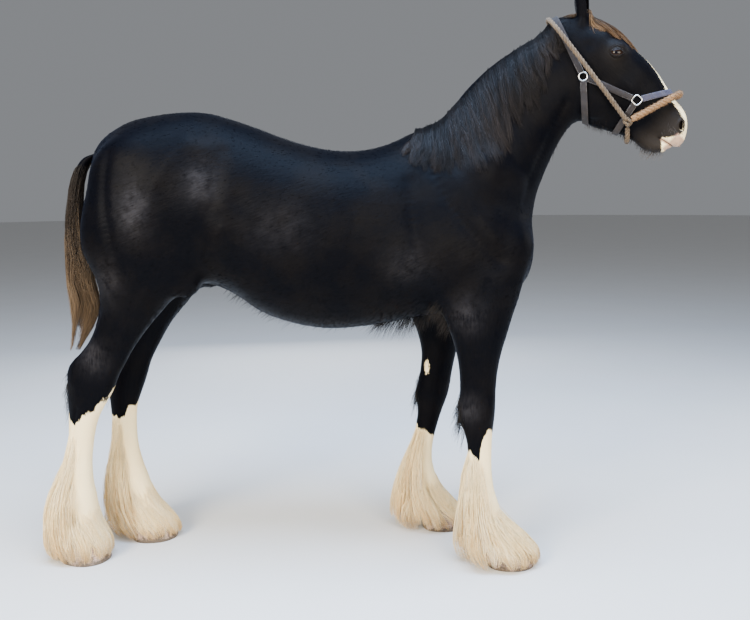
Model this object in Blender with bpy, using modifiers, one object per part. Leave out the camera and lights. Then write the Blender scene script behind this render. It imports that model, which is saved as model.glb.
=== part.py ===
"""Shire horse standing square, wearing a headcollar and a rope halter.

Metres, +Z up. The nose points along +X and the right side of the horse faces -Y.
The origin lies on the floor under the middle of the horse.
"""
import math
import random

import bmesh
import bpy
import numpy as np
from mathutils import Matrix, Vector
from mathutils.bvhtree import BVHTree

# Place of the station tables: the middle of the horse lies this far along their X axis.
MIDDLE_X = -0.067
GAP = 0.0003
WELD = 0.00001
SHARP = math.radians(50)
RIGHT = -1
LEFT = 1

# Torso stations: x, top z, bottom z, widest z, half width, top power, low power.
TORSO = (
    (-1.118, 1.590, 1.400, 1.490, 0.050, 2.0, 2.0),
    (-1.085, 1.652, 1.300, 1.470, 0.130, 2.0, 2.0),
    (-1.030, 1.698, 1.210, 1.450, 0.195, 2.1, 2.0),
    (-0.950, 1.738, 1.140, 1.430, 0.250, 2.2, 2.0),
    (-0.860, 1.757, 1.100, 1.420, 0.278, 2.3, 2.0),
    (-0.760, 1.769, 1.080, 1.400, 0.290, 2.3, 2.0),
    (-0.660, 1.767, 1.085, 1.370, 0.292, 2.3, 2.0),
    (-0.560, 1.741, 1.045, 1.330, 0.294, 2.3, 2.0),
    (-0.460, 1.706, 0.977, 1.290, 0.302, 2.3, 2.1),
    (-0.340, 1.660, 0.930, 1.260, 0.313, 2.3, 2.2),
    (-0.200, 1.622, 0.905, 1.240, 0.318, 2.3, 2.2),
    (-0.060, 1.614, 0.910, 1.230, 0.314, 2.2, 2.2),
    (0.060, 1.642, 0.928, 1.220, 0.300, 1.9, 2.2),
    (0.160, 1.690, 0.945, 1.220, 0.285, 1.6, 2.2),
    (0.260, 1.700, 0.958, 1.220, 0.272, 1.6, 2.2),
    (0.360, 1.660, 0.970, 1.220, 0.262, 1.8, 2.2),
    (0.460, 1.560, 0.990, 1.220, 0.240, 2.0, 2.1),
    (0.540, 1.450, 1.030, 1.220, 0.205, 2.0, 2.0),
    (0.595, 1.370, 1.090, 1.230, 0.160, 2.0, 2.0),
    (0.628, 1.320, 1.170, 1.250, 0.090, 2.0, 2.0),
)
# Neck stations: crest x, crest z, lower x, lower z, centre y, half width, crest power, low power.
NECK = (
    (0.020, 1.600, 0.500, 1.080, 0.000, 0.210, 1.7, 2.0),
    (0.120, 1.675, 0.600, 1.230, 0.000, 0.205, 1.6, 2.0),
    (0.200, 1.706, 0.628, 1.330, 0.000, 0.190, 1.6, 2.0),
    (0.262, 1.740, 0.645, 1.425, 0.000, 0.168, 1.6, 2.0),
    (0.318, 1.796, 0.668, 1.490, -0.002, 0.146, 1.6, 2.0),
    (0.380, 1.868, 0.692, 1.548, -0.004, 0.128, 1.6, 2.0),
    (0.456, 1.938, 0.720, 1.608, -0.007, 0.114, 1.6, 2.0),
    (0.536, 1.992, 0.752, 1.665, -0.011, 0.105, 1.6, 2.0),
    (0.606, 2.036, 0.795, 1.712, -0.016, 0.099, 1.7, 2.0),
    (0.665, 2.068, 0.850, 1.770, -0.022, 0.092, 1.8, 2.0),
    (0.715, 2.078, 0.900, 1.850, -0.030, 0.080, 2.0, 2.0),
)
# Head frame: the poll, how far the face points down, and how far it turns to the right.
POLL = (0.745, -0.020, 2.075)
HEAD_PITCH = math.radians(44)
HEAD_YAW = math.radians(14)
# Head stations: along the face, profile, lower edge, widest level, half width, top power, low power.
HEAD = (
    (-0.060, 0.000, -0.070, -0.040, 0.045, 2.0, 2.0),
    (-0.030, 0.036, -0.090, -0.040, 0.070, 2.0, 2.0),
    (0.000, 0.062, -0.105, -0.040, 0.080, 2.1, 2.0),
    (0.050, 0.088, -0.120, -0.035, 0.088, 2.2, 2.0),
    (0.100, 0.104, -0.140, -0.020, 0.095, 2.4, 2.0),
    (0.150, 0.114, -0.160, -0.005, 0.100, 2.6, 2.0),
    (0.210, 0.119, -0.185, 0.000, 0.099, 2.7, 2.0),
    (0.270, 0.120, -0.200, -0.010, 0.091, 2.6, 1.9),
    (0.330, 0.120, -0.192, -0.015, 0.082, 2.5, 1.8),
    (0.390, 0.111, -0.160, -0.020, 0.071, 2.4, 1.8),
    (0.450, 0.096, -0.122, -0.020, 0.061, 2.4, 2.0),
    (0.500, 0.084, -0.092, -0.012, 0.057, 2.4, 2.2),
    (0.540, 0.080, -0.074, -0.010, 0.060, 2.4, 2.3),
    (0.578, 0.066, -0.066, -0.012, 0.063, 2.4, 2.3),
    (0.607, 0.041, -0.056, -0.016, 0.058, 2.2, 2.2),
    (0.627, 0.012, -0.046, -0.020, 0.044, 2.1, 2.1),
    (0.637, -0.008, -0.036, -0.024, 0.020, 2.0, 2.0),
)
# Lower jaw stations, in the same columns.
JAW = (
    (0.200, -0.080, -0.195, -0.130, 0.060, 2.0, 1.9),
    (0.260, -0.080, -0.214, -0.130, 0.066, 2.0, 1.9),
    (0.330, -0.080, -0.206, -0.125, 0.060, 2.0, 1.9),
    (0.390, -0.060, -0.178, -0.115, 0.050, 2.0, 1.9),
    (0.450, -0.050, -0.148, -0.100, 0.042, 2.0, 2.0),
    (0.500, -0.052, -0.134, -0.094, 0.040, 2.0, 2.1),
    (0.540, -0.058, -0.134, -0.092, 0.044, 2.1, 2.2),
    (0.572, -0.058, -0.122, -0.086, 0.047, 2.1, 2.2),
    (0.597, -0.052, -0.104, -0.076, 0.042, 2.1, 2.1),
    (0.612, -0.050, -0.086, -0.068, 0.026, 2.0, 2.0),
)
# Eyes: place on the head, ball radius, opening length and height, and tilt of the opening.
EYE = (0.222, 0.054, 0.083)
EYE_RADIUS = 0.0235
EYE_OPENING = (0.046, 0.028)
LID_RADII = (0.034, 0.030, 0.0275)
EYE_TILT = math.radians(39)
# Nostrils: place on the head, length, height, depth and tilt.
NOSTRIL = (0.586, 0.020, 0.052)
NOSTRIL_SIZE = (0.036, 0.018, 0.022)
NOSTRIL_TILT = math.radians(-52)
# Mouth line: middle on the head, slope, and length, width and height of the cut.
MOUTH = (0.600, -0.0545, 0.0)
MOUTH_SLOPE = math.radians(12)
MOUTH_SIZE = (0.096, 0.200, 0.0022)
# Ears: root on the head, length, and radius and opening half angle along the ear.
EAR_ROOT = (0.026, 0.078, 0.056)
EAR_LENGTH = 0.190
EAR_WALL = 0.0045
EAR_STATIONS = (
    (0.00, 0.0235, 172),
    (0.15, 0.0270, 150),
    (0.35, 0.0310, 128),
    (0.55, 0.0300, 118),
    (0.75, 0.0225, 112),
    (0.90, 0.0120, 110),
    (1.00, 0.0035, 108),
)
# Foreleg stations: z, depth, half width, back power, front x of the right leg, of the left leg.
FORE = (
    (1.160, 0.390, 0.092, 2.0, 0.590, 0.455),
    (1.050, 0.345, 0.094, 2.0, 0.556, 0.428),
    (0.980, 0.280, 0.088, 2.0, 0.530, 0.405),
    (0.910, 0.228, 0.080, 2.0, 0.508, 0.380),
    (0.830, 0.180, 0.070, 2.0, 0.484, 0.359),
    (0.760, 0.155, 0.062, 2.0, 0.470, 0.346),
    (0.690, 0.145, 0.057, 2.0, 0.463, 0.331),
    (0.640, 0.146, 0.060, 2.1, 0.461, 0.323),
    (0.600, 0.150, 0.063, 1.9, 0.460, 0.316),
    (0.560, 0.140, 0.058, 1.8, 0.456, 0.304),
    (0.520, 0.116, 0.049, 1.9, 0.450, 0.289),
    (0.450, 0.101, 0.042, 2.0, 0.448, 0.267),
    (0.380, 0.100, 0.041, 2.0, 0.448, 0.249),
    (0.310, 0.108, 0.046, 2.0, 0.454, 0.241),
    (0.260, 0.126, 0.056, 2.0, 0.468, 0.248),
    (0.210, 0.124, 0.054, 2.0, 0.484, 0.264),
    (0.160, 0.122, 0.052, 2.0, 0.512, 0.292),
    (0.120, 0.140, 0.066, 2.0, 0.540, 0.320),
    (0.070, 0.155, 0.074, 2.0, 0.562, 0.342),
    (0.020, 0.155, 0.074, 2.0, 0.575, 0.355),
)
# Hind leg stations, in the same columns.
HIND = (
    (1.500, 0.420, 0.130, 2.0, -0.670, -0.640),
    (1.360, 0.480, 0.145, 2.0, -0.645, -0.615),
    (1.240, 0.475, 0.140, 2.0, -0.650, -0.615),
    (1.130, 0.385, 0.122, 2.0, -0.690, -0.655),
    (1.050, 0.292, 0.104, 2.0, -0.770, -0.735),
    (0.970, 0.232, 0.088, 1.9, -0.846, -0.808),
    (0.900, 0.203, 0.075, 1.8, -0.903, -0.862),
    (0.840, 0.206, 0.066, 1.6, -0.945, -0.895),
    (0.790, 0.228, 0.062, 1.5, -0.973, -0.922),
    (0.745, 0.213, 0.063, 1.6, -1.000, -0.943),
    (0.690, 0.190, 0.064, 1.7, -1.022, -0.960),
    (0.630, 0.153, 0.058, 1.8, -1.058, -0.980),
    (0.575, 0.125, 0.050, 1.9, -1.088, -1.000),
    (0.520, 0.112, 0.045, 2.0, -1.105, -1.008),
    (0.450, 0.106, 0.043, 2.0, -1.118, -1.008),
    (0.380, 0.106, 0.043, 2.0, -1.125, -1.000),
    (0.310, 0.114, 0.048, 2.0, -1.124, -0.982),
    (0.260, 0.130, 0.058, 2.0, -1.116, -0.965),
    (0.210, 0.128, 0.056, 2.0, -1.110, -0.948),
    (0.160, 0.124, 0.053, 2.0, -1.102, -0.926),
    (0.120, 0.140, 0.066, 2.0, -1.092, -0.905),
    (0.070, 0.155, 0.074, 2.0, -1.086, -0.888),
    (0.020, 0.155, 0.074, 2.0, -1.080, -0.880),
)
# Distance of each leg's middle from the midline, by height.
FORE_Y = ((0.00, 0.190), (0.60, 0.190), (0.90, 0.184), (1.16, 0.165))
HIND_Y = ((0.00, 0.102), (0.30, 0.108), (0.75, 0.128), (1.13, 0.150), (1.50, 0.140))
# Muscle forms, mirrored: name, middle, radii, lean forward in degrees, legs they move with.
MUSCLES = (
    ("shoulder", (0.330, 0.160, 1.370), (0.120, 0.072, 0.280), 32, "fore"),
    ("shoulder_point", (0.500, 0.135, 1.230), (0.120, 0.098, 0.130), 0, "fore"),
    ("triceps", (0.310, 0.180, 1.150), (0.160, 0.084, 0.150), 25, "fore"),
    ("breast", (0.545, 0.075, 1.190), (0.080, 0.085, 0.130), 0, "none"),
    ("haunch", (-0.880, 0.140, 1.500), (0.220, 0.130, 0.200), -20, "none"),
    ("hip_point", (-0.650, 0.195, 1.590), (0.090, 0.068, 0.080), 0, "none"),
    ("stifle", (-0.745, 0.165, 1.160), (0.085, 0.080, 0.120), -20, "hind"),
    ("buttock", (-1.030, 0.095, 1.370), (0.095, 0.090, 0.180), 0, "none"),
)
LEFT_FORE_BACK = 0.12
LEFT_HIND_FORWARD = 0.035
BODY_VOXEL = 0.010
HEAD_VOXEL = 0.005
BODY_TRIANGLES = 3400
HEAD_TRIANGLES = 2000
SEAM_REACH = 0.05
RING_POINTS = 40
# Cuts: the sole of each leg's flesh, cannon tops, leg tops, and lines across neck and head.
CORONET_Z = 0.090
FORE_CANNON_Z = 0.500
HIND_CANNON_Z = 0.580
FORE_TOP_Z = 0.915
HIND_TOP_Z = 1.020
NECK_CUT = ((0.130, 1.700), (0.640, 1.300))
HEAD_CUT = ((-0.062, -0.020), (0.300, -0.232))
# Headcollar and halter: places on the head's profile, and their sizes.
NOSE_RING = (0.399, -0.020)
THROAT_RING = (0.192, -0.090)
NOSE_TOP = (0.468, 0.090)
CHIN_LOW = (0.428, -0.160)
THROAT_LOW = (0.316, -0.205)
POLL_TOP = (-0.045, 0.000)
KNOT = (0.432, -0.100)
ROPE_POLL = (-0.047, -0.022)
ROPE_NOSE = (0.490, 0.085)
ROPE_CHIN = (0.472, -0.140)
WEB_WIDTH = 0.024
WEB_THICK = 0.0035
ROPE_RADIUS = 0.0095
FLEECE_RADIUS = 0.0125
KNOT_SIZE = (0.019, 0.017, 0.013)
KNOT_TRIM = 0.0230
RING_RADIUS = 0.0165
RING_WIRE = 0.0028
RING_TRIM = 0.0200
STRAP_CLEAR = 0.0035
# Locks: where the taper starts, width left at the tip, ridge, step between layers, lap, root sink.
LOCK_FULL = 0.50
LOCK_TIP = 0.14
LOCK_RIDGE = 0.008
LOCK_STEP = 0.010
LOCK_LAP = 0.97
LOCK_SINK = 0.012
LOCK_CLEAR = 0.004
LONG_STEPS = (0.25, 0.60, 0.87, 1.0)
SHORT_STEPS = (0.40, 0.80, 1.0)
SEED = 11
# Dock stations: x, z, depth, half width.
DOCK = (
    (-1.080, 1.612, 0.044, 0.022),
    (-1.130, 1.592, 0.052, 0.030),
    (-1.165, 1.545, 0.050, 0.033),
    (-1.185, 1.480, 0.046, 0.031),
    (-1.190, 1.380, 0.042, 0.028),
    (-1.190, 1.280, 0.028, 0.018),
)
# Tail outline: x, z, depth, half width.
TAIL = (
    (-1.135, 1.600, 0.056, 0.032),
    (-1.168, 1.545, 0.060, 0.038),
    (-1.186, 1.470, 0.060, 0.042),
    (-1.197, 1.370, 0.066, 0.044),
    (-1.200, 1.260, 0.080, 0.047),
    (-1.188, 1.160, 0.100, 0.050),
    (-1.176, 1.070, 0.118, 0.050),
    (-1.170, 0.990, 0.112, 0.046),
    (-1.176, 0.920, 0.084, 0.037),
    (-1.200, 0.860, 0.050, 0.026),
    (-1.222, 0.815, 0.024, 0.012),
)
# Tail locks: root height, tip height, count, turn of the first.
TAIL_ROWS = (
    (1.550, 1.060, 5, 0.5),
    (1.440, 0.930, 5, 0.0),
    (1.320, 0.815, 4, 0.5),
)
# Mane: crest x, crest z, fringe x, fringe z.
MANE = (
    (0.165, 1.712, 0.125, 1.580),
    (0.220, 1.735, 0.190, 1.510),
    (0.300, 1.802, 0.320, 1.500),
    (0.360, 1.875, 0.435, 1.505),
    (0.440, 1.952, 0.500, 1.590),
    (0.530, 2.008, 0.575, 1.715),
    (0.600, 2.052, 0.640, 1.800),
    (0.662, 2.080, 0.690, 1.930),
)
# Mane locks: count of the upper layer, reach of each layer, lift off the skin.
MANE_LOCKS = 10
MANE_REACH = (1.0, 0.80)
MANE_LIFT = 0.012
MANE_LAYER_STEP = 0.013
MANE_LAP = 0.92
MANE_STEPS = (0.22, 0.55, 0.85, 1.0)
# Forelock locks: root and tip along the face, place to the left, drift to the left.
FORELOCK = (
    (-0.004, 0.150, -0.022, -0.018),
    (-0.006, 0.205, -0.014, -0.010),
    (-0.002, 0.270, -0.006, -0.004),
    (-0.006, 0.292, 0.003, 0.002),
    (-0.004, 0.240, 0.010, 0.010),
    (-0.002, 0.180, 0.018, 0.018),
    (0.012, 0.120, 0.002, 0.000),
)
FORELOCK_LIFT = 0.006
FORELOCK_LOCK = (0.022, 0.008)
# Feather locks: root height, tip height, count, first and last turn from the toe in degrees.
FEATHER_ROWS = (
    (0.450, 0.200, 4, 88, 272),
    (0.345, 0.060, 4, 80, 280),
    (0.245, 0.008, 6, 60, 300),
)
TOE_ROWS = (
    (0.205, 0.040, 4, -52, 52),
    (0.165, 0.006, 5, -62, 62),
)
TOE_LIFT = 0.012
# Feather: z, half width, right leg front and back x, left leg front and back x.
FORE_FEATHER = (
    (0.485, 0.030, 0.430, 0.350, 0.255, 0.180),
    (0.460, 0.043, 0.449, 0.328, 0.270, 0.152),
    (0.400, 0.058, 0.456, 0.325, 0.250, 0.138),
    (0.320, 0.072, 0.474, 0.322, 0.243, 0.112),
    (0.240, 0.090, 0.498, 0.312, 0.252, 0.088),
    (0.180, 0.110, 0.530, 0.304, 0.276, 0.070),
    (0.120, 0.125, 0.580, 0.294, 0.330, 0.056),
    (0.060, 0.132, 0.630, 0.294, 0.388, 0.052),
    (0.022, 0.126, 0.634, 0.312, 0.396, 0.070),
    (0.008, 0.110, 0.610, 0.340, 0.376, 0.100),
)
HIND_FEATHER = (
    (0.565, 0.030, -1.130, -1.200, -1.030, -1.105),
    (0.540, 0.044, -1.106, -1.222, -1.006, -1.130),
    (0.460, 0.058, -1.116, -1.236, -1.006, -1.130),
    (0.380, 0.066, -1.124, -1.266, -0.998, -1.136),
    (0.300, 0.082, -1.122, -1.302, -0.976, -1.148),
    (0.220, 0.090, -1.112, -1.326, -0.948, -1.160),
    (0.150, 0.098, -1.092, -1.333, -0.916, -1.167),
    (0.080, 0.100, -1.058, -1.333, -0.850, -1.160),
    (0.030, 0.098, -1.054, -1.322, -0.828, -1.130),
    (0.008, 0.090, -1.074, -1.290, -0.844, -1.100),
)
# Surfaces: colour, roughness, metallic.
BLACK_COAT = ((0.012, 0.011, 0.012), 0.45, 0.0)
WHITE_HAIR = ((0.68, 0.60, 0.46), 0.75, 0.0)
HORN = ((0.60, 0.46, 0.38), 0.45, 0.0)
EYE_SURFACE = ((0.015, 0.010, 0.008), 0.10, 0.0)
TAUPE_WEB = ((0.20, 0.18, 0.18), 0.85, 0.0)
LILAC_WEB = ((0.24, 0.24, 0.38), 0.85, 0.0)
ROPE = ((0.42, 0.35, 0.29), 0.90, 0.0)
FLEECE = ((0.52, 0.32, 0.18), 0.95, 0.0)
STEEL = ((0.70, 0.70, 0.70), 0.25, 1.0)
# Hooves: ground depth, ground half width, crown depth, crown half width, crown's step back.
HOOF = (0.186, 0.088, 0.150, 0.072, 0.022)
# Hooves: middle x, distance from the midline, outward turn in degrees.
HOOF_PLACE = {
    "fore_right": (0.518, 0.190, 4),
    "fore_left": (0.288, 0.190, 0),
    "hind_right": (-1.160, 0.112, 20),
    "hind_left": (-0.942, 0.106, 6),
}


def through(rows, count):
    """Sizes read at even steps along a smooth curve through the given rows."""
    rows = np.array(rows, dtype=float)
    place = np.linspace(0, len(rows) - 1, count)
    start = np.clip(place.astype(int), 0, len(rows) - 2)
    f = (place - start)[:, None]
    before = rows[np.maximum(start - 1, 0)]
    first = rows[start]
    second = rows[start + 1]
    after = rows[np.minimum(start + 2, len(rows) - 1)]
    out = (second - before) / 2
    into = (after - first) / 2
    return (
        (2 * f**3 - 3 * f**2 + 1) * first
        + (f**3 - 2 * f**2 + f) * out
        + (3 * f**2 - 2 * f**3) * second
        + (f**3 - f**2) * into
    )


def section(centre, across, half, rise, drop, top_power=2.0, low_power=2.0, points=RING_POINTS):
    """A closed cross section, half wide along across, reaching by rise and by drop."""
    angle = np.linspace(0, 2 * math.pi, points, endpoint=False)
    cosine = np.cos(angle)
    sine = np.sin(angle)
    power = np.where(sine >= 0, 2 / top_power, 2 / low_power)
    side = np.sign(cosine) * np.abs(cosine) ** power
    height = np.abs(sine) ** power
    reach = np.where(sine[:, None] >= 0, np.array(rise), np.array(drop))
    return np.array(centre) + half * side[:, None] * np.array(across) + height[:, None] * reach


def loft(rings):
    """Vertices and faces of a closed skin through rings of equal size."""
    count = len(rings[0])
    verts = [tuple(p) for ring in rings for p in ring]
    faces = []
    for row in range(len(rings) - 1):
        for k in range(count):
            a = row * count + k
            b = row * count + (k + 1) % count
            faces.append((a, b, b + count, a + count))
    start = len(verts)
    verts.append(tuple(np.mean(rings[0], axis=0)))
    verts.append(tuple(np.mean(rings[-1], axis=0)))
    last = (len(rings) - 1) * count
    for k in range(count):
        faces.append((start, (k + 1) % count, k))
        faces.append((start + 1, last + k, last + (k + 1) % count))
    return verts, faces


def torso():
    """The barrel, from the dock to the breast."""
    rings = []
    for x, top, low, wide, half, top_power, low_power in through(TORSO, 76):
        rings.append(
            section(
                (x, 0, wide), (0, 1, 0), half, (0, 0, top - wide), (0, 0, low - wide), top_power, low_power
            )
        )
    return loft(rings)


def neck():
    """The neck, from inside the shoulders to inside the skull."""
    rings = []
    for crest_x, crest_z, low_x, low_z, y, half, top_power, low_power in through(NECK, 44):
        crest = np.array((crest_x, y, crest_z))
        low = np.array((low_x, y, low_z))
        centre = crest * 0.42 + low * 0.58
        rings.append(section(centre, (0, 1, 0), half, crest - centre, low - centre, top_power, low_power))
    return loft(rings)


def head_axes():
    """Unit vectors along the face, out of the face, and to the left."""
    level = np.array((math.cos(HEAD_YAW), -math.sin(HEAD_YAW), 0))
    up = np.array((0, 0, 1))
    along = level * math.cos(HEAD_PITCH) - up * math.sin(HEAD_PITCH)
    out = level * math.sin(HEAD_PITCH) + up * math.cos(HEAD_PITCH)
    return along, out, np.cross(out, along)


def head_point(s, n, o=0.0):
    """A place on the head: s along the face, n out of it, o to the left."""
    along, out, left = head_axes()
    return np.array(POLL) + s * along + n * out + o * left


def head_loft(table, count):
    """A form of the head from its stations."""
    _along, out, left = head_axes()
    rings = []
    for s, top, low, wide, half, top_power, low_power in through(table, count):
        centre = head_point(s, wide)
        rise = out * (top - wide)
        drop = out * (low - wide)
        rings.append(section(centre, left, half, rise, drop, top_power, low_power))
    return loft(rings)


def placed(axes, sizes, middle):
    """The matrix that sets a unit form at a place, stretched along three axes."""
    rows = np.array(axes).T * np.array(sizes)
    return Matrix([[*row, c] for row, c in zip(rows, middle)] + [[0, 0, 0, 1]])


def egg(axes, centre, radii, segments=24, rings=14):
    """Vertices and faces of a stretched ball, its poles on the last axis."""
    place = placed(axes, radii, centre)
    work = bmesh.new()
    bmesh.ops.create_uvsphere(work, u_segments=segments, v_segments=rings, radius=1, matrix=place)
    work.verts.index_update()
    if place.determinant() < 0:
        bmesh.ops.reverse_faces(work, faces=work.faces[:])
    verts = [tuple(v.co) for v in work.verts]
    faces = [tuple(v.index for v in f.verts) for f in work.faces]
    work.free()
    return verts, faces


def head_egg(place, radii, tilt=0.0, segments=24, rings=14):
    """An egg on the head: place and radii along the face, out of it and across, tilted in profile."""
    along, out, left = head_axes()
    first = along * math.cos(tilt) + out * math.sin(tilt)
    second = -along * math.sin(tilt) + out * math.cos(tilt)
    return egg((first, second, left), head_point(*place), radii, segments, rings)


def ear_axes(side):
    """Unit vectors along an ear, out of its opening, and across."""
    axis = np.array((0.06, 0.20 * side, 1.0))
    axis /= np.linalg.norm(axis)
    facing = np.array((0.85, 0.55 * side, 0.0))
    facing -= axis * facing.dot(axis)
    facing /= np.linalg.norm(facing)
    return axis, facing, np.cross(axis, facing)


def ear_foot(side):
    """The cone of flesh that an ear stands on."""
    axis, facing, across = ear_axes(side)
    root = head_point(EAR_ROOT[0], EAR_ROOT[1], EAR_ROOT[2] * side)
    rings = []
    for rise, radius in ((-0.070, 0.034), (-0.030, 0.030), (-0.008, 0.0245), (0.012, 0.0235)):
        rings.append(section(root + axis * rise, facing, radius, across * radius, -across * radius))
    return loft(rings)


def leg(rows, table, side):
    """A leg as level sections from the table."""
    heights = [row[0] for row in rows]
    spread = [row[1] for row in rows]
    column = 4 if side == RIGHT else 5
    rings = []
    for values in through(table, 4 * len(table)):
        z, depth, half, back_power = values[:4]
        middle = side * np.interp(z, heights, spread)
        centre = (values[column] - depth / 2, middle, z)
        rings.append(
            section(centre, (0, 1, 0), half, (depth / 2, 0, 0), (-depth / 2, 0, 0), 2.2, back_power)
        )
    return loft(rings)


def muscle(centre, radii, lean=0.0):
    """An egg-shaped muscle form, leaning forward by some degrees."""
    turn = math.radians(lean)
    front = (math.cos(turn), 0, -math.sin(turn))
    rise = (math.sin(turn), 0, math.cos(turn))
    return egg((front, (0, 1, 0), rise), centre, radii)


def head_forms():
    """The forms that the head is blended from."""
    forms = {"head": head_loft(HEAD, 66), "jaw": head_loft(JAW, 44), "neck": neck()}
    for side, word in ((RIGHT, "right"), (LEFT, "left")):
        forms["jowl_" + word] = head_egg((0.265, -0.095, 0.052 * side), (0.105, 0.108, 0.040))
        brow = (EYE[0] - 0.012, EYE[1] + 0.012, 0.072 * side)
        forms["brow_" + word] = head_egg(brow, (0.045, 0.034, 0.036), EYE_TILT)
        forms["lid_" + word] = head_egg((EYE[0], EYE[1], EYE[2] * side), LID_RADII, EYE_TILT)
        forms["nostril_" + word] = head_egg((0.580, 0.022, 0.040 * side), (0.032, 0.026, 0.026), NOSTRIL_TILT)
        forms["crest_" + word] = head_egg((0.310, 0.000, 0.066 * side), (0.085, 0.014, 0.024))
        forms["ear_foot_" + word] = ear_foot(side)
    return forms


def body_forms():
    """The forms that the trunk and legs are blended from."""
    forms = {"torso": torso(), "neck": neck(), "head": head_loft(HEAD, 66), "jaw": head_loft(JAW, 44)}
    for side, word in ((RIGHT, "right"), (LEFT, "left")):
        forms["fore_" + word] = leg(FORE_Y, FORE, side)
        forms["hind_" + word] = leg(HIND_Y, HIND, side)
        for name, centre, radii, lean, moves in MUSCLES:
            x = centre[0]
            if side == LEFT and moves == "fore":
                x -= LEFT_FORE_BACK * 0.5
            if side == LEFT and moves == "hind":
                x += LEFT_HIND_FORWARD
            forms[name + "_" + word] = muscle((x, centre[1] * side, centre[2]), radii, lean)
    return forms


def clear_scene():
    """Remove what the scene holds."""
    for item in list(bpy.data.objects):
        bpy.data.objects.remove(item, do_unlink=True)


def new_object(name, verts, faces, collection):
    """A mesh object from vertices and faces."""
    mesh = bpy.data.meshes.new(name)
    mesh.from_pydata([tuple(v) for v in verts], [], [tuple(f) for f in faces])
    mesh.validate()
    item = bpy.data.objects.new(name, mesh)
    collection.objects.link(item)
    return item


def evaluated(item):
    """A plain mesh of an object with its modifiers applied."""
    graph = bpy.context.evaluated_depsgraph_get()
    graph.update()
    return bpy.data.meshes.new_from_object(item.evaluated_get(graph))


def settle(item):
    """Apply an object's modifiers."""
    mesh = evaluated(item)
    item.modifiers.clear()
    old = item.data
    item.data = mesh
    bpy.data.meshes.remove(old)


def join_forms(forms, name, collection):
    """One mesh object that holds all the forms."""
    verts = []
    faces = []
    for form_verts, form_faces in forms.values():
        start = len(verts)
        verts.extend(form_verts)
        faces.extend(tuple(start + k for k in face) for face in form_faces)
    return new_object(name, verts, faces, collection)


def mesh_points(mesh):
    """Vertex positions of a mesh as an array."""
    flat = np.empty(len(mesh.vertices) * 3)
    mesh.vertices.foreach_get("co", flat)
    return flat.reshape(-1, 3)


def set_points(mesh, points):
    """Move a mesh's vertices."""
    mesh.vertices.foreach_set("co", np.asarray(points).ravel())
    mesh.update()


def mesh_edges(mesh):
    """Vertex pairs of a mesh's edges as an array."""
    flat = np.empty(len(mesh.edges) * 2, dtype=np.int64)
    mesh.edges.foreach_get("vertices", flat)
    return flat.reshape(-1, 2)


def relax(points, edges, weight, rounds):
    """Ease each vertex towards the middle of its neighbours, by its weight."""
    first = np.concatenate((edges[:, 0], edges[:, 1]))
    second = np.concatenate((edges[:, 1], edges[:, 0]))
    count = np.maximum(np.bincount(first, minlength=len(points)), 1)
    for _ in range(rounds):
        for axis in range(3):
            total = np.bincount(first, points[second, axis], minlength=len(points))
            points[:, axis] += (total / count - points[:, axis]) * weight
    return points


def crease_weight(points, forms, reach):
    """How near each point lies to the crease between two forms, from 0 to 1."""
    near = np.full((len(points), 2), reach)
    for form_verts, form_faces in forms.values():
        tree = BVHTree.FromPolygons([tuple(v) for v in form_verts], form_faces)
        box = np.array(form_verts)
        inside = np.all((points > box.min(0) - reach) & (points < box.max(0) + reach), axis=1)
        for index in np.nonzero(inside)[0]:
            hit = tree.find_nearest(Vector(points[index]), float(near[index, 1]))
            if hit[0] is None:
                continue
            if hit[3] < near[index, 0]:
                near[index] = (hit[3], near[index, 0])
            elif hit[3] < near[index, 1]:
                near[index, 1] = hit[3]
    return np.clip(1 - near[:, 1] / reach, 0, 1)


def blended(forms, name, voxel, reach, rounds, collection):
    """One smooth skin round the forms."""
    item = join_forms(forms, name, collection)
    remesh = item.modifiers.new("skin", "REMESH")
    remesh.mode = "VOXEL"
    remesh.voxel_size = voxel
    settle(item)
    points = mesh_points(item.data)
    weight = crease_weight(points, forms, reach)
    relax(points, mesh_edges(item.data), 0.10 + 0.5 * weight, rounds)
    set_points(item.data, points)
    return item


def match(item, skin, plane, reach):
    """Bring an object's points near a plane onto another skin."""
    tree = tree_of([skin])
    middle, axes = plane
    points = mesh_points(item.data)
    away = np.abs((points - middle) @ np.array(axes[2]))
    for index in np.nonzero(away < reach)[0]:
        hit = tree.find_nearest(Vector(points[index]))
        f = away[index] / reach
        points[index] += (np.array(hit[0]) - points[index]) * (1 - f * f * (3 - 2 * f))
    set_points(item.data, points)


def thin_out(item, triangles):
    """Reduce a mesh to about so many triangles."""
    item.data.calc_loop_triangles()
    thin = item.modifiers.new("thin", "DECIMATE")
    thin.ratio = triangles / len(item.data.loop_triangles)
    settle(item)


def cutter(name, verts, faces, collection):
    """A hidden cutting shape, its faces pointing outwards."""
    item = new_object(name, verts, faces, collection)
    recalc(item)
    item.hide_render = True
    item.display_type = "WIRE"
    return item


def box(name, middle, axes, sizes, collection):
    """A box cutter, with its sizes along three axes."""
    place = placed(axes, sizes, middle)
    work = bmesh.new()
    bmesh.ops.create_cube(work, size=1, matrix=place)
    bmesh.ops.recalc_face_normals(work, faces=work.faces[:])
    mesh = bpy.data.meshes.new(name)
    work.to_mesh(mesh)
    work.free()
    item = bpy.data.objects.new(name, mesh)
    item.hide_render = True
    item.display_type = "WIRE"
    collection.objects.link(item)
    return item


def block(name, low, high, collection):
    """A level box cutter between two corners."""
    low = np.array(low, dtype=float)
    high = np.array(high, dtype=float)
    return box(name, (low + high) / 2, np.eye(3), high - low, collection)


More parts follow.
